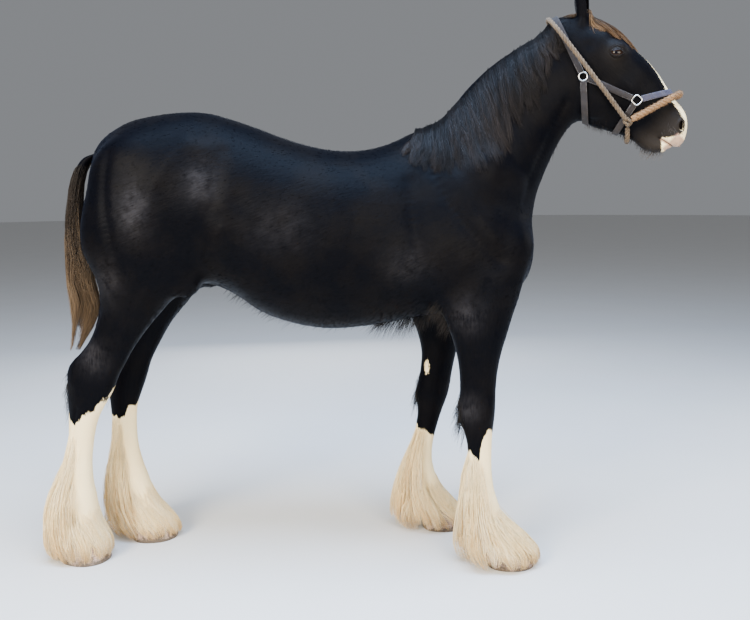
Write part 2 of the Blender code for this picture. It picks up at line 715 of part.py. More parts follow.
def boolean(item, operation, collection, solver="EXACT"):
    """Cut or join an object with a collection of closed meshes, which are then removed."""
    step = item.modifiers.new("boolean", "BOOLEAN")
    step.operation = operation
    step.operand_type = "COLLECTION"
    step.collection = collection
    step.solver = solver
    settle(item)
    for other in list(collection.objects):
        bpy.data.objects.remove(other, do_unlink=True)


def islands(mesh):
    """Vertex sets of a mesh's separate surfaces."""
    work = bmesh.new()
    work.from_mesh(mesh)
    work.verts.ensure_lookup_table()
    seen = set()
    found = []
    for vert in work.verts:
        if vert.index in seen:
            continue
        stack = [vert]
        seen.add(vert.index)
        group = []
        while stack:
            here = stack.pop()
            group.append(here.index)
            for edge in here.link_edges:
                other = edge.other_vert(here)
                if other.index not in seen:
                    seen.add(other.index)
                    stack.append(other)
        found.append(group)
    work.free()
    return found


def keep_vertices(item, kept):
    """Drop every vertex of an object that is not kept."""
    kept = set(kept)
    work = bmesh.new()
    work.from_mesh(item.data)
    doomed = [v for v in work.verts if v.index not in kept]
    bmesh.ops.delete(work, geom=doomed, context="VERTS")
    bmesh.ops.triangulate(work, faces=work.faces[:])
    work.to_mesh(item.data)
    work.free()


def keep_largest(item):
    """Keep only the largest closed surface of an object."""
    points = mesh_points(item.data)
    groups = islands(item.data)
    sizes = [np.prod(np.ptp(points[g], axis=0)) for g in groups]
    keep_vertices(item, groups[int(np.argmax(sizes))])


def part_pieces(item, anchors, collection):
    """Split an object's separate surfaces into objects named by the nearest anchor."""
    points = mesh_points(item.data)
    made = {}
    best = {}
    for group in islands(item.data):
        low = points[group].min(0)
        high = points[group].max(0)
        middle = (low + high) / 2
        size = float(np.prod(high - low))
        name = min(anchors, key=lambda n: float(np.linalg.norm(middle - np.array(anchors[n]))))
        if size > best.get(name, (0, None))[0]:
            best[name] = (size, group)
    for name, (_size, group) in best.items():
        copy = bpy.data.objects.new(name, item.data.copy())
        collection.objects.link(copy)
        keep_vertices(copy, group)
        made[name] = copy
    bpy.data.objects.remove(item, do_unlink=True)
    return made


def head_cut_plane():
    """Middle and axes of the cut behind the ears and jaw, its normal last."""
    (s0, n0), (s1, n1) = HEAD_CUT
    along, out, left = head_axes()
    line = along * (s1 - s0) + out * (n1 - n0)
    line /= np.linalg.norm(line)
    return head_point((s0 + s1) / 2, (n0 + n1) / 2), (line, left, np.cross(line, left))


def neck_cut_plane():
    """Middle and axes of the cut from the withers to the breast, its normal last."""
    (x0, z0), (x1, z1) = NECK_CUT
    line = np.array((x1 - x0, 0, z1 - z0))
    line /= np.linalg.norm(line)
    return np.array(((x0 + x1) / 2, 0, (z0 + z1) / 2)), (line, (0, 1, 0), np.cross(line, (0, 1, 0)))


def cut_body(body, cuts, collection):
    """Part the trunk and legs into their nodes."""
    box("head_cut", *head_cut_plane(), (0.7, 0.6, GAP), cuts)
    box("neck_cut", *neck_cut_plane(), (1.2, 1.0, GAP), cuts)
    block("soles", (-2, -1, -0.5), (2, 1, CORONET_Z), cuts)
    for side, word in ((RIGHT, "right"), (LEFT, "left")):
        low = min(0, side)
        high = max(0, side)
        tops = (
            (FORE_TOP_Z, 0.125, 0.8),
            (FORE_CANNON_Z, 0.0, 0.8),
            (HIND_TOP_Z, -1.4, -0.6),
            (HIND_CANNON_Z, -1.4, -0.6),
        )
        for z, x0, x1 in tops:
            block("leg_cut_%s_%.2f" % (word, z), (x0, low, z - GAP / 2), (x1, high, z + GAP / 2), cuts)
    boolean(body, "DIFFERENCE", cuts)
    anchors = {
        "torso": (-0.25, 0, 1.35),
        "neck": (0.50, 0, 1.75),
        "skull": (1.00, -0.10, 1.90),
    }
    for side, word in ((RIGHT, "right"), (LEFT, "left")):
        fore = 0.38 if side == RIGHT else 0.25
        hind = -1.08 if side == RIGHT else -1.00
        anchors["foreleg_upper_" + word] = (fore, 0.19 * side, 0.70)
        anchors["foreleg_lower_" + word] = (fore + 0.04, 0.19 * side, 0.28)
        anchors["hindleg_upper_" + word] = (hind, 0.13 * side, 0.80)
        anchors["hindleg_lower_" + word] = (hind - 0.05, 0.11 * side, 0.32)
    return part_pieces(body, anchors, collection)


def cut_head(head, cuts):
    """Trim the head behind and cut its eyes, nostrils, mouth and ear seats."""
    middle, axes = head_cut_plane()
    along, out, left = head_axes()
    behind = -math.copysign(0.5 - GAP / 2, float(np.dot(axes[2], along)))
    box("head_back", middle + axes[2] * behind, axes, (2, 2, 1), cuts)
    slope = MOUTH_SLOPE
    tongue = along * math.cos(slope) + out * math.sin(slope)
    palate = out * math.cos(slope) - along * math.sin(slope)
    box("mouth_cut", head_point(*MOUTH), (tongue, left, palate), MOUTH_SIZE, cuts)
    for side, word in ((RIGHT, "right"), (LEFT, "left")):
        place = (EYE[0], EYE[1], EYE[2] * side)
        cutter("ball_cut_" + word, *eyeball(place, EYE_RADIUS + GAP), cuts)
        opening = []
        for reach in (0.006, 0.060):
            opening.append(lens(head_point(EYE[0], EYE[1], (EYE[2] + reach) * side), EYE_OPENING, EYE_TILT))
        cutter("lid_cut_" + word, *loft(opening), cuts)
        pit = (NOSTRIL[0], NOSTRIL[1], (NOSTRIL[2] + 0.012) * side)
        length, height, depth = NOSTRIL_SIZE
        hollow = head_egg(pit, (length / 2, height / 2, depth), NOSTRIL_TILT, 14, 8)
        cutter("nostril_cut_" + word, *hollow, cuts)
        axis, facing, across = ear_axes(side)
        root = head_point(EAR_ROOT[0], EAR_ROOT[1], EAR_ROOT[2] * side)
        box("ear_cut_" + word, root + axis * 0.02, (facing, across, axis), (0.062, 0.062, 0.04), cuts)
    boolean(head, "DIFFERENCE", cuts)
    keep_largest(head)


def lens(centre, size, tilt, points=14):
    """An almond outline in the plane of the head's profile."""
    along, out, _left = head_axes()
    first = along * math.cos(tilt) + out * math.sin(tilt)
    second = -along * math.sin(tilt) + out * math.cos(tilt)
    ring = []
    for k in range(points):
        angle = 2 * math.pi * k / points
        reach = math.cos(angle)
        height = math.copysign(1 - reach * reach, math.sin(angle))
        ring.append(centre + first * size[0] / 2 * reach + second * size[1] / 2 * height)
    return ring


def eyeball(place, radius):
    """A ball, its poles to the sides of the head."""
    return head_egg(place, (radius, radius, radius), 0.0, 12, 8)


def ear(side):
    """An ear as a thin cup that narrows to its tip."""
    axis, facing, across = ear_axes(side)
    root = head_point(EAR_ROOT[0], EAR_ROOT[1], EAR_ROOT[2] * side) + axis * GAP
    rings = []
    for rise, radius, spread in through(EAR_STATIONS, 7):
        wall = min(EAR_WALL, radius * 0.6)
        angles = np.radians(np.linspace(-spread, spread, 9))
        centre = root + axis * EAR_LENGTH * rise - facing * 0.010 * math.sin(math.pi * rise)
        ring = []
        for reach, turns in ((radius, angles), (radius - wall, angles[::-1])):
            ring.extend(centre + reach * (across * 0.92 * math.sin(a) - facing * math.cos(a)) for a in turns)
        rings.append(ring)
    return strip_loft(rings, len(angles))


def strip_loft(rings, count):
    """A closed skin through rings made of an outer and an inner row of points."""
    total = 2 * count
    verts = [tuple(p) for ring in rings for p in ring]
    faces = []
    for row in range(len(rings) - 1):
        for k in range(total):
            a = row * total + k
            b = row * total + (k + 1) % total
            faces.append((a, b, b + total, a + total))
    last = (len(rings) - 1) * total
    for k in range(count - 1):
        faces.append((total - 1 - k, total - 2 - k, k + 1, k))
        faces.append((last + k, last + k + 1, last + total - 2 - k, last + total - 1 - k))
    return verts, faces


def hoof(place, side):
    """A hoof, flat on the floor, narrowing to its crown."""
    x, spread, turn = place
    depth0, half0, depth1, half1, back = HOOF
    angle = math.radians(turn) * side
    front = np.array((math.cos(angle), math.sin(angle), 0))
    across = np.array((-math.sin(angle), math.cos(angle), 0))
    rings = []
    for level in (0.0, 1.0):
        depth = depth0 + (depth1 - depth0) * level
        half = half0 + (half1 - half0) * level
        centre = np.array((x, side * spread, (CORONET_Z - GAP) * level)) - front * back * level
        rings.append(section(centre, across, half, front * depth / 2, -front * depth / 2, 2.1, 2.6, 20))
    return loft(rings)


def recalc(item):
    """Point an object's faces outwards."""
    work = bmesh.new()
    work.from_mesh(item.data)
    bmesh.ops.recalc_face_normals(work, faces=work.faces[:])
    bmesh.ops.triangulate(work, faces=work.faces[:])
    work.to_mesh(item.data)
    work.free()


def tree_of(items):
    """A search tree over several objects' faces."""
    verts = []
    faces = []
    for item in items:
        start = len(verts)
        verts.extend(v.co[:] for v in item.data.vertices)
        faces.extend(tuple(start + k for k in f.vertices) for f in item.data.polygons)
    return BVHTree.FromPolygons(verts, faces)


def clear_of(item, others, cuts, solver="EXACT"):
    """Cut an object clear of others by the gap."""
    for other in others:
        copy = bpy.data.objects.new("clear_" + other.name, other.data.copy())
        cuts.objects.link(copy)
        copy.hide_render = True
        copy.display_type = "WIRE"
        for vert in copy.data.vertices:
            vert.co += vert.normal * GAP * 0.9
    boolean(item, "DIFFERENCE", cuts, solver)
    keep_largest(item)


def fuse(item, shapes, cuts, solver="EXACT"):
    """Join closed shapes to an object, which stays one body."""
    for k, (verts, faces) in enumerate(shapes):
        cutter("grown_%03d" % k, verts, faces, cuts)
    boolean(item, "UNION", cuts, solver)
    keep_largest(item)


def hull(points):
    """The convex outline round points in a plane, anticlockwise."""
    points = sorted(set((round(float(x), 6), round(float(y), 6)) for x, y in points))

    def chain(row):
        kept = []
        for p in row:
            while len(kept) > 1:
                (ax, ay), (bx, by) = kept[-2], kept[-1]
                if (bx - ax) * (p[1] - ay) - (by - ay) * (p[0] - ax) > 0:
                    break
                kept.pop()
            kept.append(p)
        return kept[:-1]

    return np.array(chain(points) + chain(points[::-1]))


def girth(tree, centre, first, second, count=120):
    """Outline of the body in a plane, as a taut strap would follow it, from -second over first."""
    found = []
    for angle in np.linspace(0, 2 * math.pi, count, endpoint=False):
        way = first * math.cos(angle) + second * math.sin(angle)
        hit = tree.ray_cast(Vector(centre + way * 0.5), Vector(-way))
        if hit[0] is not None:
            found.append((0.5 - hit[3]) * np.array((math.cos(angle), math.sin(angle))))
    ring = hull(found)
    dense = []
    for k in range(len(ring)):
        a = ring[k]
        b = ring[(k + 1) % len(ring)]
        for f in np.linspace(0, 1, 12, endpoint=False):
            dense.append(a + (b - a) * f)
    dense = np.array(dense)
    angle = np.arctan2(dense[:, 1], dense[:, 0])
    order = np.argsort(angle)
    return angle[order], np.linalg.norm(dense[order], axis=1)


def arc_points(outline, count, trim, lift):
    """Points and outward ways on the half outline from -90 to 90 degrees, short of its ends."""
    angle, radius = outline
    fine = np.linspace(-math.pi / 2, math.pi / 2, 240)
    reach = np.interp(fine, angle, radius, period=2 * math.pi)
    window = np.arange(-4, 5)
    around = np.clip(np.arange(len(fine))[:, None] + window, 0, len(fine) - 1)
    reach = reach[around].max(axis=1)[around].mean(axis=1)
    path = np.stack((reach * np.cos(fine), reach * np.sin(fine)), axis=1)
    run = np.concatenate(((0,), np.cumsum(np.linalg.norm(np.diff(path, axis=0), axis=1))))
    at = np.linspace(trim, run[-1] - trim, count)
    points = np.stack([np.interp(at, run, path[:, axis]) for axis in range(2)], axis=1)
    tangent = np.gradient(points, axis=0)
    tangent /= np.linalg.norm(tangent, axis=1)[:, None]
    out = np.stack((tangent[:, 1], -tangent[:, 0]), axis=1)
    return points + out * lift, out


def strap(tree, start, over, width, thick, trim, count=14):
    """A flat strap from the right side over a point of the profile to the left side."""
    along, out, left = head_axes()
    centre = head_point(*start)
    first = head_point(*over) - centre
    first /= np.linalg.norm(first)
    across = np.cross(first, left)
    rows = []
    for level in (-0.5, 0.0, 0.5):
        middle = centre + across * width * level
        points, ways = arc_points(girth(tree, middle, first, left), count, trim, STRAP_CLEAR)
        place = middle + points[:, :1] * first + points[:, 1:] * left
        rows.append((place, ways[:, :1] * first + ways[:, 1:] * left))
    rings = []
    for k in range(count):
        way = rows[1][1][k]
        inner = [rows[j][0][k] for j in range(3)]
        outer = [rows[j][0][k] + way * thick for j in (2, 1, 0)]
        rings.append(inner + outer)
    return loft(rings)


def tube(name, path, radius, collection):
    """A round bar along a path, closed at its ends."""
    curve = bpy.data.curves.new(name, "CURVE")
    curve.dimensions = "3D"
    curve.bevel_depth = radius
    curve.bevel_resolution = 2
    curve.use_fill_caps = True
    spline = curve.splines.new("POLY")
    spline.points.add(len(path) - 1)
    for point, place in zip(spline.points, path):
        point.co = (*place, 1)
    line = bpy.data.objects.new(name + "_line", curve)
    collection.objects.link(line)
    mesh = evaluated(line)
    bpy.data.objects.remove(line, do_unlink=True)
    work = bmesh.new()
    work.from_mesh(mesh)
    bmesh.ops.remove_doubles(work, verts=work.verts[:], dist=WELD)
    work.to_mesh(mesh)
    work.free()
    item = bpy.data.objects.new(name, mesh)
    collection.objects.link(item)
    return item


def rope_path(tree, start, over, radius, trim, count):
    """The middle line of a rope from the right side over a point of the profile to the left side."""
    _along, _out, left = head_axes()
    centre = head_point(*start)
    first = head_point(*over) - centre
    first /= np.linalg.norm(first)
    across = np.cross(first, left)
    reach = []
    even = np.linspace(-math.pi, math.pi, 361)
    for level in (-1.0, -0.5, 0.0, 0.5, 1.0):
        angle, far = girth(tree, centre + across * radius * level, first, left)
        reach.append(np.interp(even, angle, far, period=2 * math.pi))
    points, _ways = arc_points((even, np.max(reach, axis=0)), count, trim, radius + STRAP_CLEAR)
    return [centre + p[0] * first + p[1] * left for p in points]


def cheek_strap(tree, side, start, end, width, thick, trim, count=7):
    """A flat strap along one side of the head between two rings."""
    along, out, left = head_axes()
    (s0, n0), (s1, n1) = start, end
    span = math.hypot(s1 - s0, n1 - n0)
    step = np.array(((s1 - s0) / span, (n1 - n0) / span))
    square = np.array((-step[1], step[0]))
    rings = []
    for run in np.linspace(trim, span - trim, count):
        base = np.array((s0, n0)) + step * run
        reach = []
        for level in (-0.5, 0.0, 0.5):
            s, n = base + square * width * level
            hit = tree.ray_cast(Vector(head_point(s, n, side * 0.4)), Vector(-left * side))
            reach.append(0.4 - hit[3] + STRAP_CLEAR)
        reach[1] = max(reach)
        inner = []
        outer = []
        for level, far in zip((-0.5, 0.0, 0.5), reach):
            s, n = base + square * width * level
            inner.append(head_point(s, n, side * far))
            outer.append(head_point(s, n, side * (far + thick)))
        rings.append(inner + outer[::-1])
    return loft(rings)


def side_reach(tree, place, radius, side):
    """How far a disc round a profile place stands from the head's middle, touching its side."""
    _along, _out, left = head_axes()
    reach = []
    for angle in np.linspace(0, 2 * math.pi, 16, endpoint=False):
        for ring in (0, 0.5, 1):
            s = place[0] + radius * ring * math.cos(angle)
            n = place[1] + radius * ring * math.sin(angle)
            hit = tree.ray_cast(Vector(head_point(s, n, side * 0.4)), Vector(-left * side))
            reach.append(0.4 - hit[3])
    return max(reach)


def ring_piece(name, centre, side, collection):
    """A round metal ring lying against the cheek."""
    _along, _out, left = head_axes()
    bpy.ops.mesh.primitive_torus_add(
        major_radius=RING_RADIUS, minor_radius=RING_WIRE, major_segments=12, minor_segments=4
    )
    item = bpy.context.object
    item.name = name
    for holder in list(item.users_collection):
        holder.objects.unlink(item)
    collection.objects.link(item)
    turn = Vector(left * side).to_track_quat("Z", "Y").to_matrix().to_4x4()
    item.data.transform(turn)
    item.data.transform(Matrix.Translation(Vector(centre)))
    return item


def halter(nodes, collection):
    """The headcollar of flat web with its rings, and the rope halter over it."""
    skin = [nodes["head"], nodes["neck"]]
    tree = tree_of(skin)
    made = {}
    for side, word in ((RIGHT, "right"), (LEFT, "left")):
        for name, place in (("nose", NOSE_RING), ("throat", THROAT_RING)):
            reach = side_reach(tree, place, RING_RADIUS + RING_WIRE, side)
            centre = head_point(*place, side * (reach + RING_WIRE + STRAP_CLEAR))
            made["collar_ring_%s_%s" % (name, word)] = ring_piece(
                "collar_ring_%s_%s" % (name, word), centre, side, collection
            )
        made["collar_cheek_" + word] = new_object(
            "collar_cheek_" + word,
            *cheek_strap(tree, side, THROAT_RING, NOSE_RING, WEB_WIDTH, WEB_THICK, RING_TRIM),
            collection,
        )
    for name, start, over in (
        ("collar_noseband", NOSE_RING, NOSE_TOP),
        ("collar_chin_strap", NOSE_RING, CHIN_LOW),
        ("collar_throat_strap", THROAT_RING, THROAT_LOW),
        ("collar_crown_strap", THROAT_RING, POLL_TOP),
    ):
        made[name] = new_object(name, *strap(tree, start, over, WEB_WIDTH, WEB_THICK, RING_TRIM), collection)
    tree = tree_of(skin + list(made.values()))
    for name, over, radius, count in (
        ("halter_crown_rope", ROPE_POLL, ROPE_RADIUS, 18),
        ("halter_nose_rope", ROPE_NOSE, FLEECE_RADIUS, 12),
        ("halter_chin_rope", ROPE_CHIN, ROPE_RADIUS, 12),
    ):
        made[name] = tube(name, rope_path(tree, KNOT, over, radius, KNOT_TRIM, count), radius, collection)
    for side, word in ((RIGHT, "right"), (LEFT, "left")):
        reach = side_reach(tree, KNOT, KNOT_SIZE[0], side)
        place = (KNOT[0], KNOT[1], side * (reach + KNOT_SIZE[2] + GAP))
        made["halter_knot_" + word] = new_object(
            "halter_knot_" + word, *head_egg(place, KNOT_SIZE, 0.0, 10, 6), collection
        )
    for item in made.values():
        recalc(item)
    return made


def lock(path, ways, sides, widths, thick):
    """A flat lock along a path, its ridge on the outer side, tapering to its tip."""
    rings = []
    for k, (place, way, side, width) in enumerate(zip(path, ways, sides, widths)):
        f = k / (len(path) - 1)
        taper = 1 - (1 - LOCK_TIP) * max(0.0, (f - LOCK_FULL) / (1 - LOCK_FULL)) ** 1.5
        half = np.array(side) / np.linalg.norm(side) * width / 2 * taper
        ridge = np.array(way) / np.linalg.norm(way) * thick * (0.4 + 0.6 * taper)
        rings.append((place - half, place + half, place + ridge))
    return loft(rings)


def onto(tree, start, heading):
    """Where a ray from outside meets the skin, and the skin's outward way there."""
    hit = tree.ray_cast(Vector(start), Vector(heading))
    if hit[0] is None:
        return None, None
    way = np.array(hit[1])
    if np.dot(way, heading) > 0:
        way = -way
    return np.array(hit[0]), way


def mane(tree, rng):
    """Two layers of locks from the crest down the right side of the neck."""
    locks = []
    for layer, reach in enumerate(MANE_REACH):
        rows = through(MANE, 2 * MANE_LOCKS + 1)[layer::2]
        lift = MANE_LIFT + MANE_LAYER_STEP * layer
        for k, (crest_x, crest_z, fringe_x, fringe_z) in enumerate(rows):
            step = rows[k + 1] - rows[k] if k + 1 < len(rows) else rows[k] - rows[k - 1]
            length = reach * rng.uniform(0.92, 1.02)
            sway = rng.uniform(-0.006, 0.006)
            skin, _way = onto(tree, (crest_x, 0.0, 3.0), (0, 0, -1))
            top = max(crest_z, skin[2] + lift) + LOCK_STEP * (layer - 1)
            path = [np.array((crest_x, 0.0, skin[2] - LOCK_SINK)), np.array((crest_x, -0.018, top))]
            ways = [(0.0, -0.1, 1.0), (0.0, -0.5, 0.85)]
            first = np.array((step[0], 0, step[1]))
            last = np.array((step[2], 0, step[3]))
            sides = [first, first]
            widths = [np.linalg.norm(first) * 0.55, np.linalg.norm(first) * 0.85]
            for f in MANE_STEPS:
                x = crest_x + (fringe_x - crest_x) * f * length + sway * math.sin(math.pi * f)
                z = skin[2] + (fringe_z - skin[2]) * f * length
                place, way = onto(tree, (x, -0.8, z), (0, 1, 0))
                way = way * 0.5 + np.array((0.0, -0.5, 0.1))
                way /= np.linalg.norm(way)
                side = first + (last - first) * f
                path.append(place + way * lift)
                ways.append(way)
                sides.append(side - way * side.dot(way))
                widths.append(np.linalg.norm(side) * MANE_LAP)
            locks.append(lock(path, ways, sides, widths, LOCK_RIDGE))
    return locks


def forelock(tree, rng):
    """Locks from the poll down the forehead."""
    _along, out, left = head_axes()
    locks = []
    for k, (root, reach, side, drift) in enumerate(FORELOCK):
        lift = FORELOCK_LIFT + LOCK_STEP * (k % 2)
        path = []
        ways = []
        for f in np.linspace(0, 1, 5):
            s = root + (reach - root) * f
            place, way = onto(tree, head_point(s, 0.4, side + drift * f), -out)
            way = way * 0.6 + out * 0.4
            rise = -0.014 if f == 0 else lift * (1 - 0.5 * f)
            path.append(place + way * rise)
            ways.append(way)
        width = FORELOCK_LOCK[0] * rng.uniform(0.92, 1.08)
        widths = [width * w for w in (0.6, 0.8, 1, 1, 1)]
        locks.append(lock(path, ways, [left] * len(path), widths, FORELOCK_LOCK[1]))
    return locks


def hanging(outline, tree, angle, gap, top, tip, above, steps):
    """A lock from its root in the flesh down an outline of levels, under the rows above it."""
    turned = np.array((math.cos(angle), math.sin(angle), 0))
    across = np.array((-math.sin(angle), math.cos(angle), 0))
    place, _way = onto(tree, outline(top)[0] + turned * 0.4, -turned)
    root = (place - turned * LOCK_SINK, turned)
    path = [root[0]]
    ways = [root[1]]
    widths = [gap * np.linalg.norm((root[0] - outline(top)[0])[:2]) * 0.55]
    for f in steps:
        z = top + (tip - top) * f
        centre, depth, half = outline(z)
        out = np.array((math.cos(angle) * depth, math.sin(angle) * half, 0))
        radius = float(np.linalg.norm(out))
        covers = sum(1 for row in above if row[1] < z < row[0])
        reach = radius - LOCK_RIDGE - LOCK_STEP * covers
        flesh, _way = onto(tree, centre + out / radius * 0.4, -out / radius)
        if flesh is not None:
            reach = max(reach, float(np.linalg.norm((flesh - centre)[:2])) + LOCK_CLEAR)
        path.append(centre + out / radius * reach)
        ways.append(out / radius)
        arc = math.hypot(depth * math.sin(angle), half * math.cos(angle))
        widths.append(gap * arc * reach / radius * (0.80 if f == steps[0] else LOCK_LAP))
    return path, ways, [across] * len(path), widths


def level_reader(table, columns, middle_y):
    """A function that gives a form's middle, half depth and half width at a height."""
    rows = np.array(table)[::-1]
    front, back, wide = (rows[:, k] for k in columns)
    heights = rows[:, 0]

    def read(z):
        first = np.interp(z, heights, front)
        last = np.interp(z, heights, back)
        half = np.interp(z, heights, wide)
        return np.array(((first + last) / 2, middle_y, z)), (first - last) / 2, half

    return read


def feather(table, tree, side, spread, rng):
    """Locks down the back and sides of a lower leg, and round its foot."""
    columns = (2, 3, 1) if side == RIGHT else (4, 5, 1)
    outline = level_reader(table, columns, side * spread)
    locks = []
    for rows, steps in ((FEATHER_ROWS, LONG_STEPS), (TOE_ROWS, SHORT_STEPS)):
        for row, (top, tip, count, first, last) in enumerate(rows):
            gap = math.radians(last - first) / count
            for k in range(count):
                angle = math.radians(first) + gap * (k + 0.5)
                z = top + rng.uniform(-0.010, 0.010)
                toe = max(0.0, math.cos(angle)) ** 2
                low = tip + rng.uniform(0.0, 0.014) + TOE_LIFT * toe
                shape = hanging(outline, tree, angle, gap, z, low, rows[:row], steps)
                locks.append(lock(*shape, LOCK_RIDGE))
    return locks


def dock():
    """The fleshy root of the tail."""
    rings = []
    for x, z, depth, half in through(DOCK, 10):
        rings.append(section((x, 0, z), (0, 1, 0), half, (depth / 2, 0, 0), (-depth / 2, 0, 0), points=10))
    return loft(rings)


def tail_hair(tree, rng):
    """Locks from the dock down to the tail's tip."""
    rows = np.array(TAIL)
    x, z, depth, half = rows.T
    table = np.stack((z, x + depth / 2, x - depth / 2, half), axis=1)
    outline = level_reader(table, (1, 2, 3), 0.0)
    locks = []
    for row, (top, tip, count, offset) in enumerate(TAIL_ROWS):
        gap = 2 * math.pi / count
        for k in range(count):
            angle = gap * (k + offset)
            z = top + rng.uniform(-0.015, 0.015)
            low = tip + rng.uniform(0.0, 0.06)
            shape = hanging(outline, tree, angle, gap, z, low, TAIL_ROWS[:row], LONG_STEPS)
            locks.append(lock(*shape, LOCK_RIDGE))
    return locks


def paint(item, colour, roughness, metallic=0.0):
    """Give an object its own surface."""
    surface = bpy.data.materials.new(item.name)
    surface.use_nodes = True
    shader = surface.node_tree.nodes["Principled BSDF"]
    shader.inputs["Base Color"].default_value = (*colour, 1)
    shader.inputs["Roughness"].default_value = roughness
    shader.inputs["Metallic"].default_value = metallic
    item.data.materials.clear()
    item.data.materials.append(surface)


def surface_for(name):
    """Colour, roughness and metallic value of a node by its name."""
    if name.startswith("collar_ring"):
        return STEEL
    if name.startswith("collar_noseband"):
        return LILAC_WEB
    if name.startswith("collar"):
        return TAUPE_WEB
    if name == "halter_nose_rope":
        return FLEECE
    if name.startswith("halter"):
        return ROPE
    if name.startswith("hoof"):
        return HORN
    if name.startswith("eye"):
        return EYE_SURFACE
    if "_lower_" in name:
        return WHITE_HAIR
    return BLACK_COAT


def main():
    """Build the horse."""
    clear_scene()
    horse = bpy.data.collections.new("shire_horse")
    cuts = bpy.data.collections.new("cutters")
    bpy.context.scene.collection.children.link(horse)
    bpy.context.scene.collection.children.link(cuts)
    body = blended(body_forms(), "body", BODY_VOXEL, 0.08, 40, horse)
    thin_out(body, BODY_TRIANGLES)
    head = blended(head_forms(), "head", HEAD_VOXEL, 0.03, 30, horse)
    match(head, body, head_cut_plane(), SEAM_REACH)
    thin_out(head, HEAD_TRIANGLES)
    nodes = cut_body(body, cuts, horse)
    bpy.data.objects.remove(nodes.pop("skull"), do_unlink=True)
    cut_head(head, cuts)
    nodes["head"] = head
    for side, word in ((RIGHT, "right"), (LEFT, "left")):
        nodes["ear_" + word] = new_object("ear_" + word, *ear(side), horse)
        place = (EYE[0], EYE[1], EYE[2] * side)
        nodes["eye_" + word] = new_object("eye_" + word, *eyeball(place, EYE_RADIUS), horse)
        for leg_word in ("fore", "hind"):
            name = "%s_%s" % (leg_word, word)
            nodes["hoof_" + name] = new_object("hoof_" + name, *hoof(HOOF_PLACE[name], side), horse)
    for item in nodes.values():
        recalc(item)
    straps = halter(nodes, horse)
    rng = random.Random(SEED)
    nodes["tail"] = new_object("tail", *dock(), horse)
    recalc(nodes["tail"])
    fuse(nodes["tail"], tail_hair(tree_of([nodes["tail"]]), rng), cuts)
    rear = [nodes["torso"], nodes["hindleg_upper_right"], nodes["hindleg_upper_left"]]
    clear_of(nodes["tail"], rear, cuts)
    fuse(nodes["neck"], mane(tree_of([nodes["neck"], nodes["torso"]]), rng), cuts, "MANIFOLD")
    clear_of(nodes["neck"], [nodes["torso"], nodes["head"]] + list(straps.values()), cuts, "MANIFOLD")
    fuse(nodes["head"], forelock(tree_of([nodes["head"]]), rng), cuts)
    clear_of(nodes["head"], [nodes["ear_right"], nodes["ear_left"]], cuts)
    for side, word in ((RIGHT, "right"), (LEFT, "left")):
        for table, leg_word in ((FORE_FEATHER, "fore"), (HIND_FEATHER, "hind")):
            name = "%s_%s" % (leg_word, word)
            leg_node = nodes["%sleg_lower_%s" % (leg_word, word)]
            spread = HOOF_PLACE[name][1]
            fuse(leg_node, feather(table, tree_of([leg_node]), side, spread, rng), cuts)
            clear_of(leg_node, [nodes["hoof_" + name]], cuts)
    nodes.update(straps)
    middle = bpy.data.objects.new("middle", None)
    middle.location = (-MIDDLE_X, 0, 0)
    horse.objects.link(middle)
    for name, item in nodes.items():
        item.name = name
        item.parent = middle
        item.data.shade_smooth()
        item.data.set_sharp_from_angle(angle=SHARP)
        paint(item, *surface_for(name))


main()
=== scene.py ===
"""A young shire horse standing in a headcollar and a rope halter.

The skin follows the same stations as the solids and lies inside them by the depth of
the coat. Long hair, straps, ropes, eyes and hooves are laid over it. Metres, +Z up.
"""

import logging
import math
from dataclasses import dataclass
from enum import Enum
from typing import Any, Callable, Iterable, Sequence

import bmesh
import bpy
import numpy as np
from mathutils import Matrix, Vector
from mathutils.bvhtree import BVHTree


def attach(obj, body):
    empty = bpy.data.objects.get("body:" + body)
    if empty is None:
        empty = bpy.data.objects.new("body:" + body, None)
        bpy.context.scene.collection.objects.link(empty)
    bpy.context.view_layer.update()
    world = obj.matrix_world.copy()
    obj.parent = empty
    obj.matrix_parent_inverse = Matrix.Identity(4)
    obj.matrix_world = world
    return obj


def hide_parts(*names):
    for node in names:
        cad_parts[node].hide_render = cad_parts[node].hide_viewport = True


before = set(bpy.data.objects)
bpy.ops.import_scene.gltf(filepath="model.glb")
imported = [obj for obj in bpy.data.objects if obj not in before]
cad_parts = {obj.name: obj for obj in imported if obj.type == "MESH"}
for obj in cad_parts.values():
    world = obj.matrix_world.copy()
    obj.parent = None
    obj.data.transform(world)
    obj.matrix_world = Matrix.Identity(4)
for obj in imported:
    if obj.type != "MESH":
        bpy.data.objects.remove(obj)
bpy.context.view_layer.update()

Rows = Sequence[Sequence[float]]
Shape = tuple[list, list]
Colour = tuple[float, float, float]

# Place of the station tables: the middle of the horse lies this far along their X axis.
MIDDLE_X = -0.067
RIGHT = -1
LEFT = 1
WORDS = {RIGHT: "right", LEFT: "left"}
COAT_DEPTH = 0.0025
PATCH = 0.003
BAKE_MAP = "OFBake"
BODY = "root"

log = logging.getLogger("horse")


